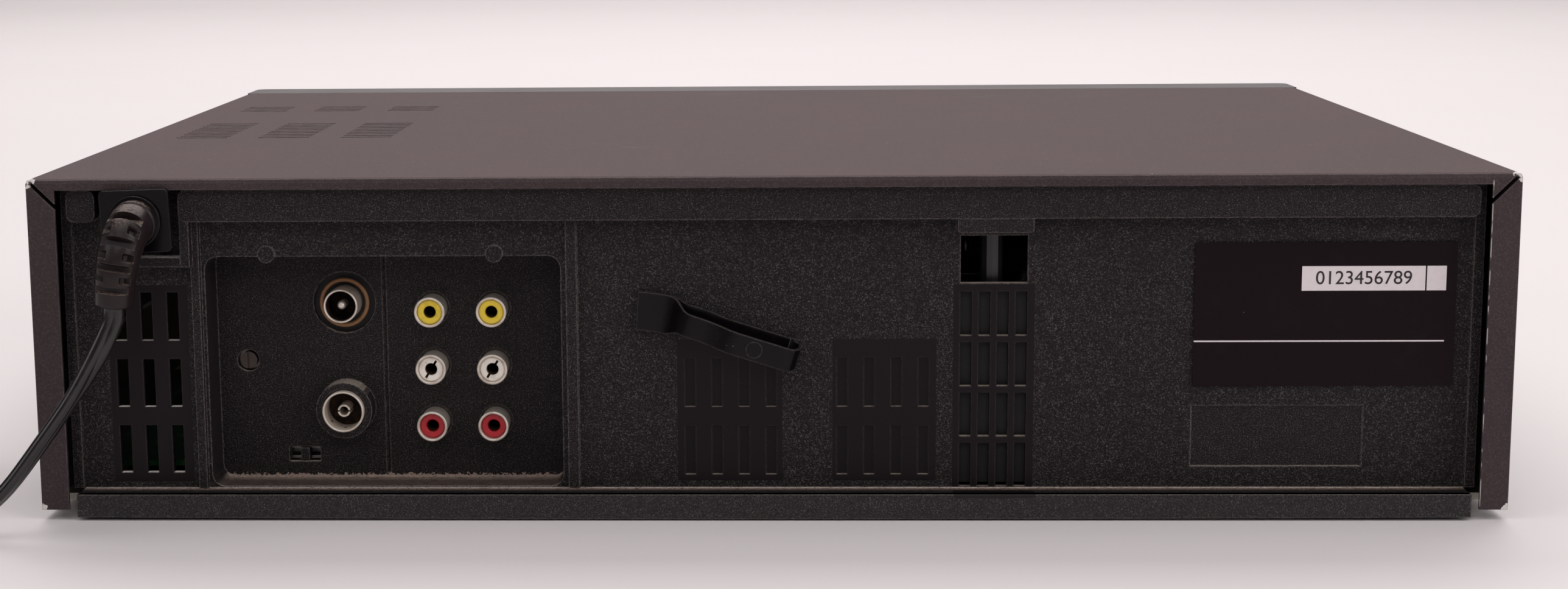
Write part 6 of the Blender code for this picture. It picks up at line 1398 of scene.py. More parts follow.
def smooth_route(route, step):
    """Evenly spaced points on a smooth curve through the route's points."""
    points = [Vector(place) for place in route]
    points = [2 * points[0] - points[1], *points, 2 * points[-1] - points[-2]]
    fine = []
    for before, start, end, after in zip(points, points[1:], points[2:], points[3:]):
        for part in range(ROUTE_PARTS):
            t = part / ROUTE_PARTS
            fine.append(
                start
                + (end - before) * t / 2
                + (2 * before - 5 * start + 4 * end - after) * t**2 / 2
                + (3 * start - before - 3 * end + after) * t**3 / 2
            )
    fine.append(points[-2])
    lengths = [0]
    for one, other in zip(fine, fine[1:]):
        lengths.append(lengths[-1] + (other - one).length)
    count = max(2, round(lengths[-1] / step))
    picked = [fine[0]]
    place = 1
    for number in range(1, count + 1):
        want = lengths[-1] * number / count
        while place < len(lengths) - 1 and lengths[place] < want:
            place += 1
        share = (want - lengths[place - 1]) / (lengths[place] - lengths[place - 1])
        picked.append(fine[place - 1].lerp(fine[place], min(1, share)))
    return picked


# Cord
def boot_route():
    """The route of the boot's centre line."""
    return [
        Vector((NECK_X + across * BOOT_DRIFT, REAR_Y + out * BOOT_REACH, NECK_Z - down * BOOT_DROP))
        for across, out, down in BOOT_ROUTE_SHARES
    ]


def free_cord():
    """From the strain relief down to the table and on to the coil."""
    tip = boot_route()[-1]
    heading = (tip - boot_route()[-2]).normalized()
    end = Vector((COIL_X - CORD_WIDTH - HAIR_GAP, COIL_Y + COIL_RADIUS, CORD_LIE))
    start = tip + heading * HAIR_GAP
    low = end - Vector((CORD_WIDTH, 0, 0))
    high = start + heading * CORD_WIDTH
    route = [high + Vector(share) * (low - high) for share in CORD_ROUTE_SHARES]
    coarse = smooth_route(route, CORD_STEP)
    line = smooth_route([start, *smooth_route(coarse, CORD_FINE_STEP)], CORD_FINE_STEP)
    for _ in range(CORD_EASES):
        near = zip(line[1:], line[2:], line[3:])
        line[2:-1] = [(before + 2 * point + after) / 4 for before, point, after in near]
    return line


def coil_turns():
    """The coil's centre line, in and out at a steady rate, a layer up at each reversal."""
    full_turns = COIL_LAYERS * TURNS_IN_LAYER
    count = round((full_turns + LAST_TURN_SHARE) * LOOP_POINTS)
    points = []
    for number in range(count + 1):
        turn = number / LOOP_POINTS
        phase = turn % (2 * TURNS_IN_LAYER)
        inwards = TURNS_IN_LAYER - abs(phase - TURNS_IN_LAYER)
        if turn > full_turns:
            inwards = full_turns - turn
        radius = COIL_RADIUS - COIL_TURN_PITCH * inwards
        layer = 0
        for reversal in range(1, COIL_LAYERS):
            layer += soft_step(-CLIMB_SHARE, CLIMB_SHARE, turn - reversal * TURNS_IN_LAYER)
        angle = math.pi / 2 - 2 * math.pi * turn
        x = COIL_X + radius * math.cos(angle)
        y = COIL_Y + radius * math.sin(angle)
        points.append(Vector((x, y, CORD_LIE + layer * COIL_LAYER_PITCH)))
    return points


def coil_tail(start, heading):
    """The end of the coil's cord, which comes down to the plug in an S."""
    drop = start.z - PLUG_THICK / 2
    count = round(TAIL_LENGTH / TAIL_STEP)
    points = []
    for number in range(1, count + 1):
        share = number / count
        fall = soft_step(0, count / (count + 1), share)
        points.append(start + heading * TAIL_LENGTH * share - Vector((0, 0, drop * fall)))
    points.append(points[-1] + heading * CORD_WIDTH)
    return points


def cord_path():
    turns = coil_turns()
    lead = turns[0] - Vector((CORD_WIDTH, 0, 0))
    heading = turns[-1] - turns[-2]
    heading.z = 0
    heading.normalize()
    return [*free_cord(), lead, *turns, *coil_tail(turns[-1], heading)]


def path_length(path):
    return sum((other - one).length for one, other in zip(path, path[1:]))


def twin_section(width, thick):
    """Two round lobes side by side, with a groove between them."""
    lobe = thick / 2
    shift = width / 2 - lobe
    waist = math.acos(shift / lobe)
    made = []
    for side, turn in ((1, 0), (-1, math.pi)):
        for number in range(LOBE_POINTS):
            angle = turn - (math.pi - waist) + 2 * (math.pi - waist) * number / (LOBE_POINTS - 1)
            made.append((side * shift + lobe * math.cos(angle), lobe * math.sin(angle)))
    return made


def make_cord():
    """The flat twin cord, from the boot to the plug."""
    path = cord_path()
    section = twin_section(TWIN_WIDTH, settings("cord").thickness)
    turning = len(free_cord())

    def across(number):
        """The cord leaves flat to the panel, turns its edge to it, and stands on its edge in the coil."""
        share = number / turning
        edge = TWIST_EDGE * soft_step(0, TWIST_FIRST_SHARE, share)
        upright = soft_step(TWIST_LAST_SHARE, 1, share)
        turned_out = Vector((math.cos(edge), math.sin(edge), 0))
        return turned_out.lerp(Vector((0, 0, 1)), upright)

    points = skin(path, lambda number: section, across)
    piece = new_piece("flat_twin_cord", points, capped_tube(len(path), len(section)), "cord_rubber")
    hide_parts("mains_cord", "cord_coil")
    return piece, path


def make_tie():
    """A thin band round one side of the coil."""
    inner = COIL_RADIUS - TURNS_IN_LAYER * COIL_TURN_PITCH - CORD_WIDTH / 2
    low = Vector((COIL_X - COIL_RADIUS - CORD_WIDTH / 2 - HAIR_GAP, TIE_MARGIN))
    top = CORD_LIE + (COIL_LAYERS - 1) * COIL_LAYER_PITCH + CORD_WIDTH / 2
    high = Vector((COIL_X - inner + HAIR_GAP, top + HAIR_GAP))
    thick = Vector((TIE_THICK, TIE_THICK))
    outside = rounded(low, high, CORD_WIDTH / 3)
    inside = rounded(low + thick, high - thick, CORD_WIDTH / 3 - TIE_THICK)
    half = settings("cord").tie_width / 2
    points = []
    for outline, y in ((outside, -half), (outside, half), (inside, half), (inside, -half)):
        points += [(x, COIL_Y + y, z) for x, z in outline]
    return new_piece("coil_tie", points, ring_faces(4, len(outside), True), "strap_plastic")


def boot_radius(along, length, angle):
    """The boot's radius, with flat slots and pairs of windows that take turns along it."""
    from_tip = length - along
    radius = BOOT_TIP_RADIUS + (BOOT_ROOT_RADIUS - BOOT_TIP_RADIUS) * from_tip / length
    around = min(angle % math.pi, math.pi - angle % math.pi)
    flat = min(radius, radius * math.cos(SLOT_SPREAD) / max(math.cos(around), math.cos(SLOT_SPREAD)))
    wide = soft_step(WINDOW_SPREAD + WINDOW_SOFT, WINDOW_SPREAD, abs(around - WINDOW_TURN))
    window = radius - settings("cord").slot_depth * wide
    for number in range(SLOT_COUNT):
        middle = SLOT_FIRST + number * SLOT_PITCH
        deep = soft_step(SLOT_LENGTH / 2 + SLOT_EDGE, SLOT_LENGTH / 2, abs(from_tip - middle))
        radius += ((flat if number % 2 == 0 else window) - radius) * deep
    root = SLOT_FIRST + SLOT_COUNT * SLOT_PITCH
    if from_tip > root:
        ring = abs((from_tip - root) % ROOT_RING_PITCH - ROOT_RING_PITCH / 2)
        radius -= ROOT_RING_DEPTH * soft_step(SLOT_LENGTH / 4 + SLOT_EDGE, SLOT_LENGTH / 4, ring)
    if from_tip < BOOT_TIP_ROUND:
        lost = 1 - from_tip / BOOT_TIP_ROUND
        radius -= BOOT_TIP_ROUND * (1 - math.sqrt(max(0, 1 - lost * lost)))
    return radius


def boot_mouth(path):
    """Points round the dished mouth at the boot's tip."""
    along, across, out = axes_at(path, len(path) - 1, Vector((1, 0, 0)))
    points = []
    for radius, back in (
        (BOOT_MOUTH_RADIUS + HAIR_GAP, 0),
        (BOOT_MOUTH_RADIUS, HAIR_GAP),
        (BOOT_MOUTH_RADIUS, BOOT_MOUTH_DEPTH),
    ):
        middle = path[-1] - along * back
        points += [middle + (across * one + out * other) * radius for one, other in circle(TUBE_SIDES)]
    return points


def make_boot():
    """The slotted boot that the cord comes out of."""
    path = smooth_route(boot_route(), BOOT_STEP)
    length = path_length(path)
    step = length / (len(path) - 1)

    def section(number):
        made = []
        for side in range(TUBE_SIDES):
            angle = 2 * math.pi * side / TUBE_SIDES
            radius = boot_radius(number * step, length, angle + math.pi / 2)
            made.append((radius * math.cos(angle), radius * math.sin(angle)))
        return made

    points = skin(path, section, lambda number: Vector((1, 0, 0))) + boot_mouth(path)
    rings = len(points) // TUBE_SIDES
    faces = ring_faces(rings, TUBE_SIDES, False)
    faces.append(tuple(range(len(points) - TUBE_SIDES, len(points))))
    boot = new_piece("strain_relief_boot", points, faces, "strap_plastic", material=boot_rubber())
    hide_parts("strain_relief")
    return boot


def make_strain_relief():
    """The boot, the plate in the panel's pocket, the collar between them, and the neck behind."""
    boot = make_boot()
    corner = Vector((PLATE_WIDTH, PLATE_HEIGHT)) / 2
    middle = Vector((NECK_X, NECK_Z))
    turn = Matrix.Rotation(PLATE_TILT, 2)
    outline = [tuple(middle + turn @ Vector(point)) for point in rounded(-corner, corner, PLATE_CORNER)]
    back = REAR_Y + PLATE_BACK
    face = back + PLATE_THICK
    pocket_plate = plate("strain_relief_plate", outline, back, face, "strap_plastic")
    round_edges(pocket_plate, HAIR_GAP)
    start = boot_route()[0]
    profile = [
        (0, face - HAIR_GAP),
        (COLLAR_RADIUS, face - HAIR_GAP),
        *arc((COLLAR_RADIUS - HAIR_GAP, face + COLLAR_PROUD - HAIR_GAP), HAIR_GAP, 0, 90),
        (0, face + COLLAR_PROUD),
    ]
    collar = turned("strain_relief_collar", profile, (start.x, start.z), "strap_plastic", closed=False)
    half = Vector((1, 1)) * (COLLAR_RADIUS - HAIR_GAP)
    outline = rounded(middle - half, middle + half, PLATE_CORNER)
    neck_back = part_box("strain_relief")[0].y
    neck = plate("strain_relief_neck", outline, neck_back, back + HAIR_GAP, "strap_plastic")
    return boot, pocket_plate, collar, neck


def round_edges(piece, width):
    """Rounds a piece's sharp edges."""
    made = piece.modifiers.new("Round edges", "BEVEL")
    made.width = width
    made.segments = EDGE_SEGMENTS
    made.limit_method = "ANGLE"
    made.angle_limit = CREASE


# Cable strap
def strap_place(along, out, up):
    """A point of the strap, from how far along, out of the panel and up its band it is."""
    short = max(0, STRAP_ROOT_LENGTH - along)
    slope = STRAP_SLOPE * (1 - short / STRAP_LEVEL_LENGTH)
    drop = math.sin(STRAP_SLOPE) * (along + short * short / (2 * STRAP_LEVEL_LENGTH))
    return Vector(
        (
            STRAP_ROOT_X - math.cos(STRAP_SLOPE) * along - up * math.sin(slope),
            FACE_Y + out,
            STRAP_ROOT_Z - drop + up * math.cos(slope),
        )
    )


def strap_line():
    """The band's centre line, out along the panel, round, and back over itself: along and out."""
    half = settings("strap").thickness / 2
    bend = STRAP_REACH / 2 - half
    far = STRAP_LENGTH - bend - half
    line = [(-STRAP_ROOT_LENGTH / 2, HAIR_GAP + half), (far, HAIR_GAP + half)]
    for number in range(1, STRAP_BEND_STEPS):
        angle = math.pi * number / STRAP_BEND_STEPS
        line.append((far + bend * math.sin(angle), HAIR_GAP + half + bend * (1 - math.cos(angle))))
    back = STRAP_REACH - half
    flat = 3 * half + HAIR_GAP
    for along, out in STRAP_FOLD_SHARES:
        line.append((STRAP_LENGTH * along, flat + (back - flat) * out))
    line.append((-STRAP_ROOT_LENGTH / 2, flat))
    return line


def make_strap():
    """The band, folded back over itself, and the peg through it."""
    half = settings("strap").thickness / 2
    line = smooth_route([(along, out, 0) for along, out in strap_line()], STRAP_STEP)
    points = []
    for number, place in enumerate(line):
        _, _, out = axes_at(line, number, Vector((0, 0, -1)))
        wide = soft_step(STRAP_ROOT_LENGTH, STRAP_ROOT_LENGTH / 2, place.x)
        band = (STRAP_BAND + (STRAP_ROOT_WIDTH - STRAP_BAND) * wide) / 2
        shift = STRAP_SPLIT * (1 - wide) * (1 - 2 * soft_step(0, STRAP_REACH, place.y))
        if place.y < STRAP_REACH / 3:
            shift -= STRAP_WAVE * soft_step(STRAP_LENGTH / 3, STRAP_LENGTH / 2, place.x)
        corner = half / 2
        for up, thick in (
            (-band, -half + corner),
            (-band + corner, -half),
            (band - corner, -half),
            (band, -half + corner),
            (band, half - corner),
            (band - corner, half),
            (-band + corner, half),
            (-band, half - corner),
        ):
            spot = place + out * thick
            points.append(strap_place(spot.x, spot.y, up + shift))
    faces = capped_tube(len(line), len(points) // len(line))
    band = new_piece("strap_band", points, faces, "strap_plastic")
    centre = strap_place(STRAP_PEG_ALONG, 0, -STRAP_SPLIT)
    front = FACE_Y + STRAP_REACH + half / 2
    profile = [
        (0, front - 4 * half),
        (STRAP_PEG_RADIUS, front - 4 * half),
        (STRAP_PEG_RADIUS, front - half / 4),
        (STRAP_PEG_RADIUS - HAIR_GAP / 2, front),
        (STRAP_PEG_RADIUS - HAIR_GAP, front - half / 4),
        (STRAP_PEG_RADIUS - HAIR_GAP, front - half),
        (0, front - half),
    ]
    turned("strap_peg", profile, (centre.x, centre.z), "strap_plastic", closed=False)
    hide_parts("cable_strap")


# Connectors
def cut(piece, cutter):
    """Takes the cutter's shape out of the piece."""
    made = piece.modifiers.new("Cut", "BOOLEAN")
    made.operation = "DIFFERENCE"
    made.solver = "EXACT"
    made.object = cutter
    graph = bpy.context.evaluated_depsgraph_get()
    mesh = bpy.data.meshes.new_from_object(piece.evaluated_get(graph))
    piece.modifiers.remove(made)
    old = piece.data
    piece.data = mesh
    bpy.data.meshes.remove(old)
    mesh.shade_smooth()
    mesh.set_sharp_from_angle(angle=CREASE)
    bpy.data.objects.remove(cutter)


def rolled(radius, wall, front, back, steps=RIM_STEPS):
    """The profile of a thin sleeve with a rolled rim."""
    half = wall / 2
    return [
        (radius, back),
        *arc((radius - half, front - half), half, 0, 180, steps),
        (radius - wall, back),
    ]


def make_jack_sleeve(colour, side, place):
    """A plated sleeve with a bead behind its rim, and the panel's collar round it."""
    half = JACK_WALL / 2
    bead = (JACK_RADIUS - half, JACK_END_Y - JACK_BEAD / 2)
    profile = [
        (JACK_BODY_RADIUS, JACK_BACK_Y),
        (JACK_BODY_RADIUS, JACK_END_Y - JACK_BEAD),
        *arc(bead, half, BEAD_START, 0, BEAD_STEPS),
        *rolled(JACK_RADIUS, JACK_WALL, JACK_END_Y, JACK_BACK_Y)[1:],
    ]
    sleeve = turned(f"{colour}_sleeve_{side}", profile, place, "nickel_plate")
    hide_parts(f"jack_shell_{colour}_{side}")
    near = JACK_BODY_RADIUS + JACK_COLLAR_GAP
    profile = ring(near, JACK_COLLAR_RADIUS, JACK_BACK_Y, BAY_FLOOR_Y - JACK_COLLAR_SUNK)
    turned(f"{colour}_collar_{side}", profile, place, "rear_plastic")


def make_jack_insert(colour, side, place, bright):
    """A coloured insert with its bore, and a slit across it on the white jacks."""
    outer = JACK_RADIUS - JACK_WALL - HAIR_GAP / 10
    face = JACK_END_Y - INSERT_SHORT[colour]
    profile = [
        (outer, JACK_BACK_Y),
        (outer, face - HAIR_GAP),
        (outer - HAIR_GAP, face),
        (INSERT_BORE + HAIR_GAP, face),
        (INSERT_BORE, face - HAIR_GAP),
        (INSERT_BORE, JACK_BACK_Y),
    ]
    slot = f"{colour}_plastic"
    insert = turned(f"{colour}_insert_{side}", profile, place, slot, material=bright)
    if colour == "white":
        cut(insert, slit_cutter(place, face))
    floor = ring(0, INSERT_BORE, JACK_BACK_Y, JACK_BACK_Y + HAIR_GAP)
    turned(f"{colour}_bore_floor_{side}", floor, place, "foot_rubber", closed=False)
    if side == "right":
        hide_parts(f"jack_insert_{colour}")


def slit_cutter(place, face):
    """A thin bar across the bore, turned from the upright."""
    way = Vector((-math.cos(SLIT_ANGLE), math.sin(SLIT_ANGLE)))
    side = Vector((way.y, -way.x)) * SLIT_WIDTH / 2
    outline = [
        tuple(Vector(place) + way * SLIT_REACH * end + side * turn)
        for end, turn in ((-1, -1), (-1, 1), (1, 1), (1, -1))
    ]
    return plate("slit_cutter", outline, face - SLIT_DEPTH, face + SLIT_DEPTH, "foot_rubber")


def make_jacks():
    """Three rows of two pin jacks."""
    for colour, z in JACK_ROWS.items():
        bright = jack_plastic(colour, getattr(settings("connectors"), colour))
        for side, x in zip(("left", "right"), JACK_COLUMNS):
            make_jack_sleeve(colour, side, (x, z))
            make_jack_insert(colour, side, (x, z), bright)


def make_aerial_out(resin):
    """The aerial output: shell, washer, lined insulator, pin and spring."""
    place = (AERIAL_X, AERIAL_OUT_Z)
    profile = rolled(OUT_RADIUS, OUT_WALL, OUT_END_Y, OUT_BACK_Y)
    shell = turned("aerial_out_shell", profile, place, "nickel_plate")
    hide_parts("rf_out_shell")
    profile = ring(OUT_RADIUS + HAIR_GAP / 10, OUT_FLANGE_RADIUS, OUT_BACK_Y, OUT_BACK_Y + HAIR_GAP)
    turned("aerial_out_washer", profile, place, "foot_rubber")
    inner = OUT_RADIUS - OUT_WALL
    lip = OUT_END_Y - OUT_LINER_SHORT
    profile = [
        (0, OUT_BACK_Y),
        (inner, OUT_BACK_Y),
        (inner, lip),
        (inner - LINER_THICK, lip),
        (inner - LINER_THICK, OUT_BACK_Y + INSULATOR),
        (0, OUT_BACK_Y + INSULATOR),
    ]
    turned("aerial_out_insulator", profile, place, "foot_rubber", closed=False, material=resin)
    tip = OUT_END_Y - OUT_PIN_SHORT
    profile = [
        (OUT_PIN_RADIUS, OUT_BACK_Y + INSULATOR / 2),
        *arc((0, tip - OUT_PIN_RADIUS), OUT_PIN_RADIUS, 0, 90, RIM_STEPS),
    ]
    pin = turned("aerial_out_pin", profile, place, "nickel_plate", closed=False, sides=PIN_SIDES)
    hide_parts("rf_out_pin")
    wire = (OUT_RING_RADIUS, OUT_BACK_Y + 4 * OUT_RING_WIRE)
    profile = arc(wire, OUT_RING_WIRE, 0, OUT_RING_END, OUT_RING_STEPS)
    turned("aerial_out_spring", profile, place, "contact_brass", material=tarnished_spring())


def make_aerial_in(resin):
    """The aerial input: shell, insulator and split contact."""
    place = (AERIAL_X, AERIAL_IN_Z)
    profile = rolled(IN_RADIUS, IN_WALL, IN_END_Y, OUT_BACK_Y)
    shell = turned("aerial_in_shell", profile, place, "nickel_plate", material=spotted_nickel())
    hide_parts("rf_in_shell")
    profile = ring(0, IN_RADIUS - IN_WALL, OUT_BACK_Y, IN_END_Y - IN_INSULATOR_SHORT)
    turned("aerial_in_insulator", profile, place, "foot_rubber", closed=False, material=resin)
    back = OUT_BACK_Y + INSULATOR / 2
    front = IN_END_Y - IN_CONTACT_SHORT
    profile = rolled(IN_CONTACT_RADIUS, IN_CONTACT_WALL, front, back, CONTACT_RIM_STEPS)
    contact = turned("aerial_in_contact", profile, place, "nickel_plate", sides=PIN_SIDES)
    half = IN_SLIT / 2
    reach = 2 * IN_CONTACT_RADIUS
    outline = bar(AERIAL_X - reach, AERIAL_X + reach, AERIAL_IN_Z - half, AERIAL_IN_Z + half)
    cutter = plate("contact_cutter", outline, OUT_BACK_Y + 2 * INSULATOR, IN_END_Y, "foot_rubber")
    cut(contact, cutter)
    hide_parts("rf_in_contact")


def make_aerials():
    resin = brown_resin()
    make_aerial_out(resin)
    make_aerial_in(resin)


# Rear panel
def make_panel_edges():
    """The rail's face, which sags a little to the table, and the rims down the panel's sides."""
    front = PANEL_HIGH.y + RAIL_SKIN
    outline = []
    for number in range(RAIL_STEPS + 1):
        across = 2 * number / RAIL_STEPS - 1
        outline.append((across * PANEL_HIGH.x, RAIL_BOTTOM + RAIL_SAG * across * across))
    outline += [(PANEL_HIGH.x, RAIL_TOP), (-PANEL_HIGH.x, RAIL_TOP)]
    plate("rail_face", outline, front - RAIL_FACE_DEPTH, front, "rear_plastic", material=rail_plastic())
    out = FACE_Y + SIDE_RIM_PROUD
    for side, x in (("left", PANEL_HIGH.x), ("right", PANEL_LOW.x)):
        left, right = sorted((x, x + math.copysign(SIDE_RIM_WIDTH, x)))
        outline = bar(left, right, RAIL_TOP, SIDE_RIM_TOP)
        plate(f"panel_rim_{side}", outline, out - SIDE_RIM_DEPTH, out, "rear_plastic")


def make_vent_screen():
    """A thin black sheet close behind the lower right vents."""
    outline = bar(SCREEN_RIGHT, SCREEN_LEFT, SCREEN_LOW, SCREEN_TOP)
    plate("vent_screen", outline, SCREEN_Y, SCREEN_Y + SCREEN_THICK, "foot_rubber")


# Prints
def make_label_prints():
    """A rule, a white box in two parts, and a row of plain digits on it."""
    white = print_ink("label_white", PRINT_WHITE)
    face = LABEL_HIGH.y
    edge = -NUMBER_BOX_GAP_X
    half = NUMBER_BOX_GAP / 2
    for name, outline in (
        ("rule", bar(-NUMBER_BOX_RIGHT, -RULE_LEFT - HAIR_GAP, RULE_Z, RULE_Z + RULE_THICK)),
        ("number_box", bar(edge + half, -NUMBER_BOX_LEFT, NUMBER_BOX_LOW, NUMBER_BOX_TOP)),
        ("number_end", bar(-NUMBER_BOX_RIGHT, edge - half, NUMBER_BOX_LOW, NUMBER_BOX_TOP)),
    ):
        plate(f"label_{name}", outline, face, face + PRINT_THICK, "label_film", material=white)
    text = bpy.data.curves.new("label_numbers", "FONT")
    text.body = "0123456789"
    text.size = NUMBER_HEIGHT
    text.extrude = PRINT_THICK / 4
    text.align_x = "CENTER"
    text.align_y = "CENTER"
    text.materials.append(print_ink("label_number_black", LABEL_BLACK))
    piece = bpy.data.objects.new("label_numbers", text)
    bpy.context.scene.collection.objects.link(piece)
    middle = ((edge - NUMBER_BOX_LEFT) / 2, face + 2 * PRINT_THICK, (NUMBER_BOX_LOW + NUMBER_BOX_TOP) / 2)
    turn = Matrix.Rotation(math.pi, 4, "Z") @ Matrix.Rotation(math.pi / 2, 4, "X")
    piece.matrix_world = Matrix.Translation(middle) @ turn
    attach(piece, "case")


def sign_shapes(x, z):
    """The outlines of each key's sign: plain arrows, bars and spots."""
    half = SIGN_HEIGHT / 2
    step = SIGN_HEIGHT * SIGN_ARROW_SHARE
    low = z - half
    top = z + half
    over_bar = low + 2 * SIGN_BAR

    def arrow(left, way):
        return [(left, low), (left + way * step, z), (left, top)]

    spot = [(x + half * one, z + half * other) for one, other in circle(SIGN_SIDES)]
    return {
        "power": [bar(x - SIGN_BAR / 2, x + SIGN_BAR / 2, low, top)],
        "eject": [
            [(x - half, over_bar), (x + half, over_bar), (x, top)],
            bar(x - half, x + half, low, low + SIGN_BAR),
        ],
        "rewind": [arrow(x, -1), arrow(x + step, -1)],
        "play": [arrow(x - step / 2, 1)],
        "forward": [arrow(x - step, 1), arrow(x, 1)],
        "stop": [bar(x - half, x + half, low, top)],
        "record": [spot],
    }


def make_key_signs():
    """A small printed sign on each key's front, riding on a body named after its key."""
    ink = print_ink("sign_grey", PRINT_GREY)
    for key in KEYS:
        low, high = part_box(f"{key}_button")
        shapes = sign_shapes((low.x + high.x) / 2, (low.z + high.z) / 2)[key]
        for number, outline in enumerate(shapes, 1):
            name = f"{key}_button_sign_{number}"
            plate(name, outline, low.y - PRINT_THICK, low.y, "label_film", f"{key}_key", ink)


# Stage
def add_lamp(name, place, aim, size, power):
    lamp = bpy.data.lights.new(name, "AREA")
    lamp.shape = "RECTANGLE"
    lamp.size = size[0]
    lamp.size_y = size[1]
    lamp.energy = power
    lamp.color = LAMP_WHITE
    holder = bpy.data.objects.new(name, lamp)
    bpy.context.scene.collection.objects.link(holder)
    way = Vector(aim) - Vector(place)
    holder.location = place
    holder.rotation_euler = way.to_track_quat("-Z", "Y").to_euler()


def make_floor():
    """A floor that sweeps up into a backdrop."""
    line = [(FLOOR_NEAR, FLOOR_Z), (FLOOR_FAR, FLOOR_Z)]
    for number in range(1, SWEEP_STEPS + 1):
        angle = math.pi / 2 * number / SWEEP_STEPS
        y = FLOOR_FAR - SWEEP_RADIUS * math.sin(angle)
        line.append((y, FLOOR_Z + SWEEP_RADIUS * (1 - math.cos(angle))))
    line.append((FLOOR_FAR - SWEEP_RADIUS, WALL_TOP))
    points = []
    for y, z in line:
        points += [(-FLOOR_HALF_WIDTH, y, z), (FLOOR_HALF_WIDTH, y, z)]
    faces = [(2 * n, 2 * n + 1, 2 * n + 3, 2 * n + 2) for n in range(len(line) - 1)]
    mesh = bpy.data.meshes.new("floor_sweep")
    mesh.from_pydata(points, [], faces)
    mesh.shade_smooth()
    floor = bpy.data.objects.new("floor_sweep", mesh)
    bpy.context.scene.collection.objects.link(floor)
    finish = Finish("floor_pale", settings("stage").floor_colour, roughness=0.55)
    finish.patches("floor", 0.2, FLOOR_SHADE)
    mesh.materials.append(finish.done())


# Operators
class RECORDER_OT_camera(bpy.types.Operator):
    """Add the camera behind the recorder"""

    bl_idname = "recorder.camera"
    bl_label = "Camera"

    def execute(self, context):
        data = bpy.data.cameras.new("camera")
        data.sensor_width = SENSOR_WIDTH
        data.lens = settings("stage").lens
        data.shift_x = CAMERA_SHIFT_SHARE
        camera = bpy.data.objects.new("camera", data)
        context.scene.collection.objects.link(camera)
        camera.location = CAMERA_PLACE
        camera.rotation_euler = (CAMERA_TILT, CAMERA_ROLL, CAMERA_TURN)
        context.scene.camera = camera
        return {"FINISHED"}


class RECORDER_OT_cord(bpy.types.Operator):
    """Add the mains cord with its coil, tie and strain relief"""

    bl_idname = "recorder.cord"
    bl_label = "Mains cord"

    def execute(self, context):
        piece, path = make_cord()
        relief = make_strain_relief()
        tie = make_tie()
        return {"FINISHED"}


class RECORDER_OT_case(bpy.types.Operator):
    """Give the cover, panels, chassis, feet and buttons their finish"""

    bl_idname = "recorder.case"
    bl_label = "Case finishes"

    def execute(self, context):
        dress(CASE_FINISHES)
        make_panel_edges()
        make_vent_screen()
        return {"FINISHED"}


class RECORDER_OT_inside(bpy.types.Operator):
    """Give the boards, the deck and the head drum their finish, and the turned solids even shading"""

    bl_idname = "recorder.inside"
    bl_label = "Inside finishes"

    def execute(self, context):
        dress(INSIDE_FINISHES)
        smooth_rounds()
        return {"FINISHED"}


class RECORDER_OT_strap(bpy.types.Operator):
    """Add the cable strap with its peg"""

    bl_idname = "recorder.strap"
    bl_label = "Cable strap"

    def execute(self, context):
        make_strap()
        return {"FINISHED"}


class RECORDER_OT_connectors(bpy.types.Operator):
    """Add the pin jacks and the aerial connectors"""

    bl_idname = "recorder.connectors"
    bl_label = "Connectors"

    def execute(self, context):
        dress(CONNECTOR_FINISHES)
        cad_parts["channel_adjuster"].material_slots[0].material = aged_brass()
        make_jacks()
        make_aerials()
        return {"FINISHED"}


class RECORDER_OT_prints(bpy.types.Operator):
    """Add the rule and the number box on the label, and the signs on the keys"""

    bl_idname = "recorder.prints"
    bl_label = "Prints"

    def execute(self, context):
        make_label_prints()
        make_key_signs()
        return {"FINISHED"}


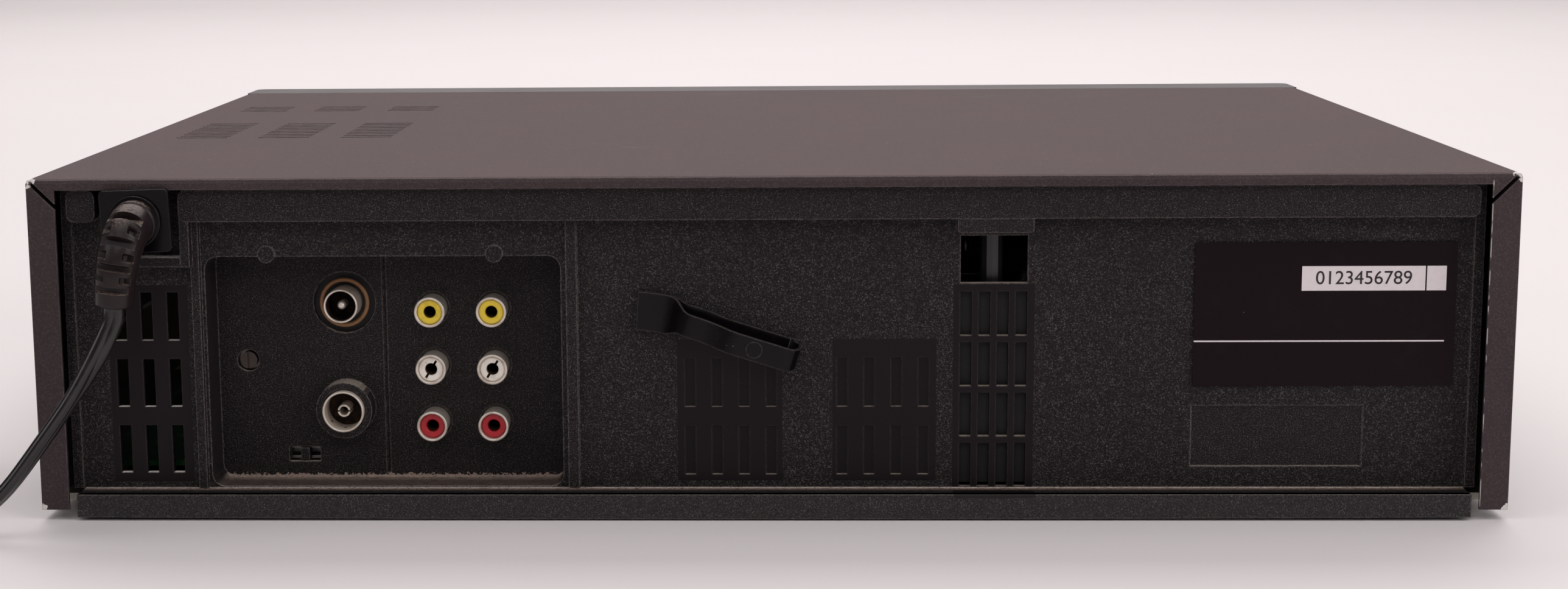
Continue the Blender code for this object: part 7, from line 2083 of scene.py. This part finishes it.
class RECORDER_OT_stage(bpy.types.Operator):
    """Add the floor, the backdrop and the lamps"""

    bl_idname = "recorder.stage"
    bl_label = "Stage"

    def execute(self, context):
        make_floor()
        stage = settings("stage")
        for name, lamp in LAMPS.items():
            add_lamp(f"{name}_lamp", *lamp, getattr(stage, f"{name}_power"))
        world = bpy.data.worlds.new("soft_room")
        world.use_nodes = True
        back = world.node_tree.nodes["Background"]
        back.inputs["Color"].default_value = (*ROOM_WHITE, 1)
        back.inputs["Strength"].default_value = ROOM_STRENGTH
        context.scene.world = world
        context.scene.view_settings.view_transform = "Standard"
        return {"FINISHED"}


class RECORDER_PT_panel(bpy.types.Panel):
    """Lists the recorder's pieces and settings in the sidebar"""

    bl_idname = "RECORDER_PT_panel"
    bl_label = "Recorder"
    bl_space_type = "VIEW_3D"
    bl_region_type = "UI"
    bl_category = "Recorder"

    def draw(self, context):
        for operator in OPERATORS:
            self.layout.operator(operator.bl_idname)
        for group in GROUPS:
            box = self.layout.box()
            held = settings(group)
            for name in held.__annotations__:
                box.prop(held, name)


OPERATORS = (
    RECORDER_OT_camera,
    RECORDER_OT_cord,
    RECORDER_OT_case,
    RECORDER_OT_inside,
    RECORDER_OT_strap,
    RECORDER_OT_connectors,
    RECORDER_OT_prints,
    RECORDER_OT_stage,
)
GROUPS = {
    "case": RecorderCase,
    "cord": RecorderCord,
    "strap": RecorderStrap,
    "connectors": RecorderConnectors,
    "stage": RecorderStage,
}


def register():
    for kind in (*GROUPS.values(), *OPERATORS, RECORDER_PT_panel):
        bpy.utils.register_class(kind)
    for name, kind in GROUPS.items():
        setattr(bpy.types.Scene, "recorder_" + name, PointerProperty(type=kind))


def unregister():
    for name in GROUPS:
        delattr(bpy.types.Scene, "recorder_" + name)
    for kind in (RECORDER_PT_panel, *reversed(OPERATORS), *reversed(GROUPS.values())):
        bpy.utils.unregister_class(kind)


def main():
    """Makes the recorder's pieces in order."""
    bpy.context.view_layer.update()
    register()
    for operator in OPERATORS:
        group, name = operator.bl_idname.split(".")
        getattr(getattr(bpy.ops, group), name)()


if __name__ == "__main__":
    main()
